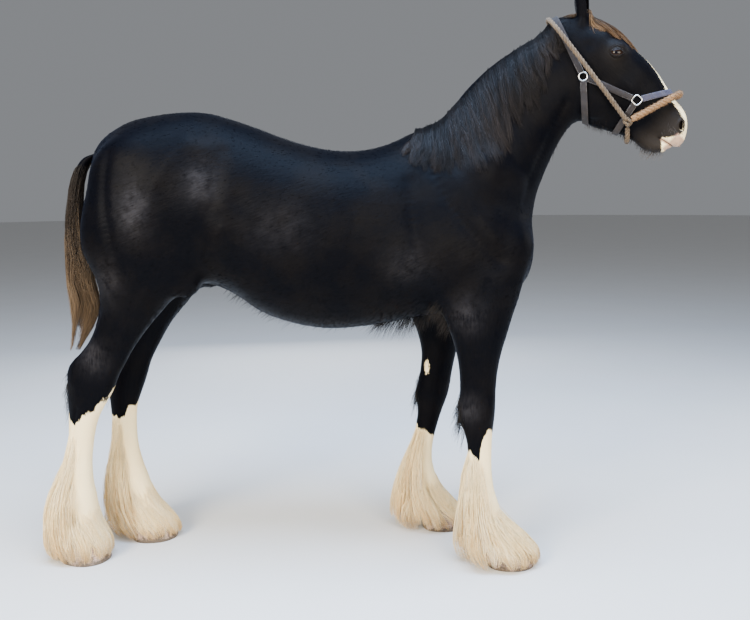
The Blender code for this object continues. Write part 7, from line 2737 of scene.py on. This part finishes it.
@dataclass(frozen=True)
class Headcollar:
    """Flat web straps joined by plated rings."""

    nose_ring: tuple[float, float] = (0.399, -0.020)
    throat_ring: tuple[float, float] = (0.192, -0.090)
    straps: tuple = (
        ("noseband", "nose", (0.468, 0.090)),
        ("chin_strap", "nose", (0.428, -0.160)),
        ("throat_strap", "throat", (0.316, -0.205)),
        ("crown_strap", "throat", (-0.045, 0.000)),
    )
    width: float = 0.024
    thick: float = 0.0030
    clear: float = 0.0060
    ring_radius: float = 0.0165
    wire: float = 0.0026
    trim: float = 0.0175
    fold: float = 0.042
    # Distance from one stitch to the next, and a stitch's length.
    stitch: tuple[float, float] = (0.0040, 0.0026)

    def web(self, name: str, rows: np.ndarray, outs: np.ndarray) -> bpy.types.Object:
        """A strap of web with soft edges, doubled at its ends.

        Args:
            name: the piece's name.
            rows: three lines of points across the strap, along its length.
            outs: outward way at each step.

        Returns:
            The strap.
        """
        steps = rows.shape[1]
        run = lengths(rows[1])
        end = np.minimum(run, run[-1] - run)
        double = 1.0 + 0.75 * ease(self.fold + 0.0015, self.fold - 0.0015, end)
        levels = np.array((-1.0, -0.96, -0.5, 0.0, 0.5, 0.96, 1.0))
        rings, places = [], []
        for k in range(steps):
            low, mid, high = rows[0][k], rows[1][k], rows[2][k]
            base = [mid + (high - mid) * f if f > 0 else mid + (low - mid) * -f for f in levels]
            edge = [0.30, 0.0, 0.0, 0.0, 0.0, 0.0, 0.30]
            inner = [p + outs[k] * self.thick * e for p, e in zip(base, edge)]
            outer = [p + outs[k] * self.thick * (double[k] - e) for p, e in zip(base, edge)]
            rings.append(inner + outer[::-1])
            across = levels * self.width / 2
            places.append([(run[k], v) for v in across] + [(run[k], v) for v in across[::-1]])
        item = make_object(name, *loft(rings))
        flat = np.array(places).reshape(-1, 2)
        flat = np.concatenate((flat, [(0.0, 0.0), (run[-1], 0.0)]))
        layer = item.data.uv_layers.new(name="weave")
        corner = np.empty(len(item.data.loops), dtype=np.int64)
        item.data.loops.foreach_get("vertex_index", corner)
        layer.data.foreach_set("uv", flat[corner].ravel())
        face_out(item)
        smooth(item.data)
        return item

    def around(
        self, name: str, tree: BVHTree, head: Head, start: tuple, over: tuple, count: int = 84
    ) -> bpy.types.Object:
        """A strap from the right side over a point of the profile to the left side."""
        girth = Girth(tree, head, start, over)
        centre, first, left, across = girth.frame()
        rows, outs = [], None
        for level in (-0.5, 0.0, 0.5):
            middle = centre + across * self.width * level
            points, ways = girth.arc(girth.outline(middle), count, self.trim, self.clear)
            rows.append(middle + points[:, :1] * first + points[:, 1:] * left)
            if level == 0.0:
                outs = ways[:, :1] * first + ways[:, 1:] * left
        return self.web(name, np.array(rows), outs)

    def cheek(self, name: str, tree: BVHTree, head: Head, side: int, count: int = 40) -> bpy.types.Object:
        """The strap between the two rings of one side."""
        _along, _out, left = head.axes()
        start, end = np.array(self.throat_ring), np.array(self.nose_ring)
        span = float(np.linalg.norm(end - start))
        step = (end - start) / span
        square = np.array((-step[1], step[0]))
        rows = []
        for level in (-0.5, 0.0, 0.5):
            line = []
            for run in np.linspace(self.trim, span - self.trim, count):
                s, n = start + step * run + square * self.width * level
                hit = tree.ray_cast(Vector(head.point(s, n, side * 0.4)), Vector(-left * side))
                line.append((s, n, 0.4 - hit[3] + self.clear))
            rows.append(np.array(line))
        rows[1][:, 2] = np.max([row[:, 2] for row in rows], axis=0)
        kernel = np.ones(7) / 7
        for row in rows:
            row[:, 2] = np.convolve(np.pad(row[:, 2], 3, mode="edge"), kernel, mode="valid") + 0.0004
        lines = [[head.point(s, n, side * far) for s, n, far in row] for row in rows]
        return self.web(name, np.array(lines), np.tile(left * side, (count, 1)))

    def ring(
        self, name: str, tree: BVHTree, head: Head, place: tuple, side: int, power: float
    ) -> bpy.types.Object:
        """A plated ring against the cheek, rounder or squarer by its power."""
        along, out, left = head.axes()
        far = side_reach(tree, head, place, self.ring_radius + self.wire, side) + self.wire + self.clear
        centre = head.point(place[0], place[1], side * far)
        turns = np.linspace(0, 2 * math.pi, 64, endpoint=False)
        corner = np.array([self.bend(turn, power) for turn in turns]) * self.ring_radius
        path = centre + corner[:, :1] * along + corner[:, 1:] * out
        spin = np.linspace(0, 2 * math.pi, 12, endpoint=False)
        rings = []
        for spot in path:
            way = unit(spot - centre)
            rings.append([spot + (way * math.cos(a) + left * math.sin(a)) * self.wire for a in spin])
        return closed_ring(name, rings, SteelFinish())

    @staticmethod
    def bend(turn: float, power: float) -> tuple[float, float]:
        """A place on a ring that is squarer as its power grows."""
        cosine, sine = math.cos(turn), math.sin(turn)
        far = (abs(cosine) ** power + abs(sine) ** power) ** (-1 / power)
        return cosine * far * 0.97, sine * far * 0.97

    def build(self, skin_tree: BVHTree, head: Head) -> dict[str, bpy.types.Object]:
        """Make the headcollar.

        Args:
            skin_tree: the skin that it lies on.
            head: the head that wears it.

        Returns:
            Its pieces by the CAD nodes' names.
        """
        taupe = WebFinish("web_taupe", (0.014, 0.0115, 0.0125), (0.034, 0.029, 0.028))
        lilac = WebFinish("web_lilac", (0.033, 0.032, 0.060), (0.070, 0.067, 0.090))
        made = {}
        for name, start, over in self.straps:
            place = self.nose_ring if start == "nose" else self.throat_ring
            strap = self.around("collar_web_" + name, skin_tree, head, place, over)
            strap.data.materials.append((lilac if name == "noseband" else taupe).material())
            made["collar_" + name] = strap
        for side in (RIGHT, LEFT):
            word = WORDS[side]
            strap = self.cheek("collar_web_cheek_" + word, skin_tree, head, side)
            strap.data.materials.append(taupe.material())
            made["collar_cheek_" + word] = strap
            for name, place, power in (("nose", self.nose_ring, 3.6), ("throat", self.throat_ring, 2.0)):
                key = "collar_ring_%s_%s" % (name, word)
                made[key] = self.ring("plated_ring_%s_%s" % (name, word), skin_tree, head, place, side, power)
        return made

    def stitches(self, straps: Iterable[bpy.types.Object], body: Body) -> bpy.types.Object:
        """Box stitching over the doubled ends of the straps."""
        paths = []
        for strap in straps:
            points = mesh_points(strap.data)
            total = (len(points) - 2) // 14
            grid = points[:-2].reshape(total, 14, 3)
            outer = grid[:, 7:14][:, ::-1]
            run = lengths(outer[:, 3])
            lift = unit(outer[:, 3] - grid[:, 3]) * 0.0003
            for low, high in ((0.006, self.fold - 0.004), (run[-1] - self.fold + 0.004, run[-1] - 0.006)):
                for lane in (1, 5):
                    line = outer[:, lane] * 0.86 + outer[:, 3] * 0.14 + lift
                    for a in np.arange(low, high, self.stitch[0]):
                        start, end = points_at(line, run, np.array((a, a + self.stitch[1])))
                        paths.append((start, (start + end) / 2, end))
        paths = np.array(paths)
        thick = np.broadcast_to(np.array((0.00025, 0.00045, 0.00025)), paths.shape[:2]).copy()
        thread = RopeFinish("stitch_thread", (0.30, 0.28, 0.26), (0.16, 0.15, 0.14), (0.12, 0.10, 0.08))
        return Strands(paths, thick, np.zeros(len(paths))).piece("collar_stitches", thread, body)


def side_reach(tree: BVHTree, head: Head, place: tuple, radius: float, side: int) -> float:
    """How far a disc round a profile place stands from the head's middle, touching its side."""
    _along, _out, left = head.axes()
    reach = []
    for angle in np.linspace(0, 2 * math.pi, 16, endpoint=False):
        for share in (0, 0.5, 1):
            s = place[0] + radius * share * math.cos(angle)
            n = place[1] + radius * share * math.sin(angle)
            hit = tree.ray_cast(Vector(head.point(s, n, side * 0.4)), Vector(-left * side))
            reach.append(0.4 - hit[3])
    return max(reach)


def closed_ring(name: str, rings: Sequence, finish: Finish) -> bpy.types.Object:
    """A ring-shaped piece from its cross sections in order."""
    verts = [p for ring in rings for p in ring]
    item = make_object(name, verts, walls(len(rings), len(rings[0]), closed=True))
    dress(item, finish)
    return item


@dataclass(frozen=True)
class RopeHalter:
    """Laid rope over the poll and under the chin, a fleecy rope over the nose, and two knots."""

    knot: tuple[float, float] = (0.432, -0.100)
    poll: tuple[float, float] = (-0.047, -0.022)
    nose: tuple[float, float] = (0.490, 0.085)
    chin: tuple[float, float] = (0.472, -0.140)
    radius: float = 0.0095
    fleece: float = 0.0135
    knot_size: tuple[float, float, float] = (0.019, 0.017, 0.013)
    knot_rope: float = 0.0052
    # Start and tilt of each turn of a knot, in radians.
    knot_turns: Rows = ((0.0, 0.55), (2.1, -0.65), (4.2, 0.05))
    clear: float = 0.0060
    trim: float = 0.014
    fibres: int = 2600
    seed: int = 91

    def path(self, tree: BVHTree, head: Head, over: tuple, radius: float, count: int) -> np.ndarray:
        """The middle line of a rope from knot to knot over a point of the profile."""
        girth = Girth(tree, head, self.knot, over)
        centre, first, left, across = girth.frame()
        even = np.linspace(-math.pi, math.pi, 361)
        reach = []
        for level in (-1.0, -0.5, 0.0, 0.5, 1.0):
            angle, far = girth.outline(centre + across * radius * level)
            reach.append(np.interp(even, angle, far, period=2 * math.pi))
        lift = radius + self.clear - COAT_DEPTH
        points, _ways = girth.arc((even, np.max(reach, axis=0)), count, self.trim, lift)
        return centre + points[:, :1] * first + points[:, 1:] * left

    @staticmethod
    def strands_of(path: np.ndarray, radius: float, lay: float, count: int = 3) -> np.ndarray:
        """Paths of the strands laid round a rope's middle line.

        Args:
            path: the middle line.
            radius: the rope's radius.
            lay: length of one turn of the lay.
            count: how many strands.

        Returns:
            One path for each strand.
        """
        run = lengths(path)
        steps = max(12, int(run[-1] / lay * 10))
        at = np.linspace(0, run[-1], steps)
        line = points_at(path, run, at)
        tangent = unit(np.gradient(line, axis=0))
        side = unit(np.cross(tangent, (0.31, 0.17, 0.93)))
        rise = np.cross(tangent, side)
        found = []
        for k in range(count):
            turn = (2 * math.pi * (at / lay + k / count))[:, None]
            found.append(line + (side * np.cos(turn) + rise * np.sin(turn)) * radius * 0.50)
        return np.array(found)

    def laid(
        self, name: str, path: np.ndarray, radius: float, finish: Finish, body: Body
    ) -> bpy.types.Object:
        """A rope of three laid strands."""
        paths = self.strands_of(path, radius, radius * 5.2)
        thick = np.full(paths.shape[:2], radius * 0.52)
        thick[:, (0, -1)] *= 0.8
        return Strands(paths, thick, np.zeros(3)).piece(name, finish, body, sides=9)

    def fleecy(self, name: str, path: np.ndarray, finish: Finish, body: Body) -> bpy.types.Object:
        """A rope wound in fleece, its loose fibres standing off."""
        rng = np.random.default_rng(self.seed)
        core = self.strands_of(path, self.fleece * 0.86, self.fleece * 3.4)
        thick = np.full(core.shape[:2], self.fleece * 0.46)
        inner = Strands(core, thick, np.zeros(3)).piece(name, finish, body, sides=9)
        line = points_at(path, np.linspace(0, 1, len(path)), np.linspace(0.02, 0.98, 400))
        tangent = unit(np.gradient(line, axis=0))
        pick = rng.integers(0, len(line), self.fibres)
        way = rng.normal(0, 1, (len(pick), 3))
        way = unit(way - tangent[pick] * np.sum(way * tangent[pick], axis=1)[:, None])
        t = np.linspace(0, 1, 4)[None, :, None]
        curl = np.cross(tangent[pick], way) * rng.normal(0, 0.0035, (len(pick), 1))
        curl = curl + tangent[pick] * rng.normal(0, 0.003, (len(pick), 1))
        long = rng.uniform(0.0035, 0.0078, (len(pick), 1))
        reach = way[:, None] * (self.fleece * 0.62 + long[:, None] * t)
        fuzz = line[pick][:, None] + reach + curl[:, None] * t**2
        fuzz_thick = taper(len(pick), 4, np.full(len(pick), 0.00048), 0.3, 0.2)
        outer = Strands(fuzz, fuzz_thick, np.zeros(len(pick))).piece(name + "_fibres", finish, body)
        return join((inner, outer), name)

    def knotted(
        self, name: str, tree: BVHTree, side: int, finish: Finish, body: Body
    ) -> bpy.types.Object:
        """A knot of crossing turns of rope."""
        head = body.head
        left = head.axes()[2]
        far = side_reach(tree, head, self.knot, self.knot_size[0], side) + self.knot_size[2] + 0.001
        centre = head.point(self.knot[0], self.knot[1], side * far)
        turns = np.linspace(0, 1, 90)
        wide, tall, deep = self.knot_size
        thin = self.knot_rope
        loops = []
        for spin, tilt in self.knot_turns:
            first, second = head.tilted(tilt)
            a = turns * 2 * math.pi * 1.02 + spin
            shape = first[None] * (np.cos(a) * (wide - thin))[:, None]
            shape = shape + second[None] * (np.sin(a) * (tall - thin) * 0.62)[:, None]
            shape = shape + (left * side)[None] * (np.sin(2 * a + spin) * (deep - thin) * 0.75)[:, None]
            loops.append(centre + shape)
        pieces = []
        for k, loop in enumerate(loops):
            paths = self.strands_of(loop, thin, thin * 6)
            thick = np.full(paths.shape[:2], thin * 0.55)
            turn = Strands(paths, thick, np.zeros(3))
            pieces.append(turn.piece("%s_turn_%d" % (name, k), finish, body, sides=7))
        return join(pieces, name)

    def build(self, tree: BVHTree, body: Body) -> dict[str, bpy.types.Object]:
        """Make the halter.

        Args:
            tree: the skin with the headcollar over it.
            body: the body that wears it.

        Returns:
            Its pieces by the CAD nodes' names.
        """
        head = body.head
        rope = RopeFinish("halter_rope", (0.125, 0.088, 0.055), (0.058, 0.041, 0.027), (0.042, 0.031, 0.023))
        fleece = RopeFinish(
            "halter_fleece", (0.255, 0.140, 0.064), (0.125, 0.068, 0.032), (0.085, 0.050, 0.029)
        )
        made = {}
        crown = self.path(tree, head, self.poll, self.radius, 60)
        made["halter_crown_rope"] = self.laid("halter_rope_crown", crown, self.radius, rope, body)
        chin = self.path(tree, head, self.chin, self.radius, 40)
        made["halter_chin_rope"] = self.laid("halter_rope_chin", chin, self.radius, rope, body)
        nose = self.path(tree, head, self.nose, self.fleece, 40)
        made["halter_nose_rope"] = self.fleecy("halter_rope_nose", nose, fleece, body)
        for side in (RIGHT, LEFT):
            word = WORDS[side]
            knot = self.knotted("halter_rope_knot_" + word, tree, side, rope, body)
            made["halter_knot_" + word] = knot
        return made


def join(items: Sequence[bpy.types.Object], name: str) -> bpy.types.Object:
    """Bring several mesh objects of one finish into one object."""
    work = bmesh.new()
    for item in items:
        work.from_mesh(item.data)
    mesh = bpy.data.meshes.new(name)
    work.to_mesh(mesh)
    work.free()
    for material in items[0].data.materials:
        mesh.materials.append(material)
    for item in items:
        bpy.data.objects.remove(item, do_unlink=True)
    made = bpy.data.objects.new(name, mesh)
    bpy.context.scene.collection.objects.link(made)
    return made


@dataclass(frozen=True)
class Studio:
    """The floor, the soft lights and the camera."""

    # The photograph's view: distance, height, tilt down and roll in degrees, focal length in pixels.
    distance: float = 3.40
    height: float = 1.467
    tilt: float = 5.0
    roll: float = 0.55
    focal: float = 850.0
    picture: tuple[int, int] = (750, 620)
    middle_row: float = 261.4
    sensor: float = 36.0
    # Lights: name, place, aim, width, height, power, colour.
    lights: tuple = (
        ("sky_soft", (0.2, -0.9, 4.6), (0.0, 0.0, 1.0), 4.4, 2.6, 820.0, (0.46, 0.66, 1.0)),
        ("front_soft", (1.9, -4.6, 2.5), (0.0, 0.0, 1.0), 2.6, 2.2, 360.0, (1.0, 0.91, 0.75)),
        ("near_soft", (-3.0, -4.0, 3.1), (-0.4, 0.0, 0.9), 2.2, 2.0, 540.0, (1.0, 0.91, 0.75)),
        ("far_soft", (-0.6, 4.4, 1.7), (0.0, 0.0, 0.9), 2.6, 2.0, 60.0, (0.94, 0.97, 1.0)),
        ("nose_soft", (4.2, 0.6, 2.2), (0.6, 0.0, 1.4), 2.4, 2.4, 70.0, (1.0, 0.99, 0.97)),
    )
    sky: Colour = (0.80, 0.83, 0.88)
    sky_strength: float = 0.30
    floor_reach: float = 40.0
    floor_sides: int = 48

    def floor(self) -> None:
        """Lay the floor."""
        turns = np.linspace(0, 2 * math.pi, self.floor_sides, endpoint=False)
        ring = [(math.cos(a) * self.floor_reach, math.sin(a) * self.floor_reach, 0.0) for a in turns]
        floor = make_object("studio_floor", ring, [tuple(range(self.floor_sides))])
        floor.data.materials.append(FloorFinish().material())

    def light(self) -> None:
        """Hang the soft lights and fill the room with even light."""
        for name, place, aim, wide, tall, power, colour in self.lights:
            lamp = bpy.data.lights.new(name, "AREA")
            lamp.shape = "RECTANGLE"
            lamp.size = wide
            lamp.size_y = tall
            lamp.energy = power
            lamp.color = colour
            item = bpy.data.objects.new(name, lamp)
            item.location = place
            item.rotation_euler = (Vector(aim) - Vector(place)).to_track_quat("-Z", "Y").to_euler()
            bpy.context.scene.collection.objects.link(item)
        world = bpy.data.worlds.new("studio_air")
        world.use_nodes = True
        air = world.node_tree.nodes["Background"]
        air.inputs["Color"].default_value = (*self.sky, 1.0)
        air.inputs["Strength"].default_value = self.sky_strength
        bpy.context.scene.world = world

    def camera(self) -> None:
        """Set the camera at the photograph's viewing angle."""
        wide, tall = self.picture
        lens = bpy.data.cameras.new("view")
        lens.sensor_width = self.sensor
        lens.lens = self.focal / wide * self.sensor
        lens.shift_y = (self.middle_row - tall / 2) / wide
        lens.dof.use_dof = False
        lens.clip_start = 0.05
        tilt, roll = math.radians(self.tilt), math.radians(self.roll)
        front = np.array((0.0, math.cos(tilt), -math.sin(tilt)))
        right = np.array((1.0, 0.0, 0.0))
        up = np.cross(right, front)
        side = math.cos(roll) * right - math.sin(roll) * up
        rise = math.sin(roll) * right + math.cos(roll) * up
        item = bpy.data.objects.new("view", lens)
        place = (-MIDDLE_X, -self.distance, self.height)
        rows = [[side[k], rise[k], -front[k], place[k]] for k in range(3)]
        item.matrix_world = Matrix(rows + [[0, 0, 0, 1]])
        bpy.context.scene.collection.objects.link(item)
        bpy.context.scene.camera = item


def set_down(item: bpy.types.Object, nodes: Sequence[str], slot: str) -> None:
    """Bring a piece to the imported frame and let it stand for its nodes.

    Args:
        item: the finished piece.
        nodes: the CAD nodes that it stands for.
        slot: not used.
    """
    item.data.transform(Matrix.Translation((-MIDDLE_X, 0.0, 0.0)))
    item.data.update()
    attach(item, BODY)
    if nodes:
        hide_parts(*nodes)
    item.data.calc_loop_triangles()
    log.info("%s: %d triangles", item.name, len(item.data.loop_triangles))


def both(*words: str) -> list[str]:
    """Names of the right and left nodes of each word."""
    return ["%s_%s" % (word, WORDS[side]) for word in words for side in (RIGHT, LEFT)]


def main() -> None:
    """Build the horse, its tack and the studio."""
    logging.basicConfig(level=logging.INFO, format="%(message)s")
    body = Body()
    head = body.head
    skin = body.build()
    log.info("skin made")
    skin_tree = tree_of([skin.data])
    hoof = Hoof()
    hooves = {name: hoof.build(name, *place) for name, *place in hoof.places}
    foot_tree = tree_of([skin.data] + [item.data for item in hooves.values()])
    collar = Headcollar()
    web = collar.build(skin_tree, head)
    stitches = collar.stitches([item for key, item in web.items() if "ring" not in key], body)
    rope = RopeHalter().build(tree_of([skin.data] + [item.data for item in web.values()]), body)
    mane = Mane().build(skin_tree, body)
    forelock = Forelock().build(skin_tree, body)
    tail = Tail().build(body)
    feather = Feather().build(foot_tree, body)
    fringe = Fringe().build(skin_tree, body)
    coat = Coat().build(skin, body)
    log.info("hair made")
    legs = both("foreleg_upper", "hindleg_upper", "foreleg_lower", "hindleg_lower")
    set_down(skin, ["torso", "neck", "head", *legs], "torso")
    grown = ((coat, "torso"), (fringe, "head"), (mane, "neck"), (forelock, "head"), (tail, "tail"))
    for pieces, node in grown:
        for piece in pieces:
            set_down(piece, [node], node)
    for name, piece in feather.items():
        node = name.replace("fore_", "foreleg_lower_").replace("hind_", "hindleg_lower_")
        set_down(piece, [node], node)
    for name, piece in hooves.items():
        set_down(piece, ["hoof_" + name], "hoof_" + name)
    for side in (RIGHT, LEFT):
        word = WORDS[side]
        set_down(Ear().build(side, body), ["ear_" + word], "ear_" + word)
        ball, edge = Eye().build(side, head)
        set_down(ball, ["eye_" + word], "eye_" + word)
        set_down(edge, ["head"], "head")
    for name, piece in {**web, **rope}.items():
        set_down(piece, [name], name)
    set_down(stitches, ["collar_noseband"], "collar_noseband")
    studio = Studio()
    studio.floor()
    studio.light()
    studio.camera()


if __name__ == "__main__":
    main()
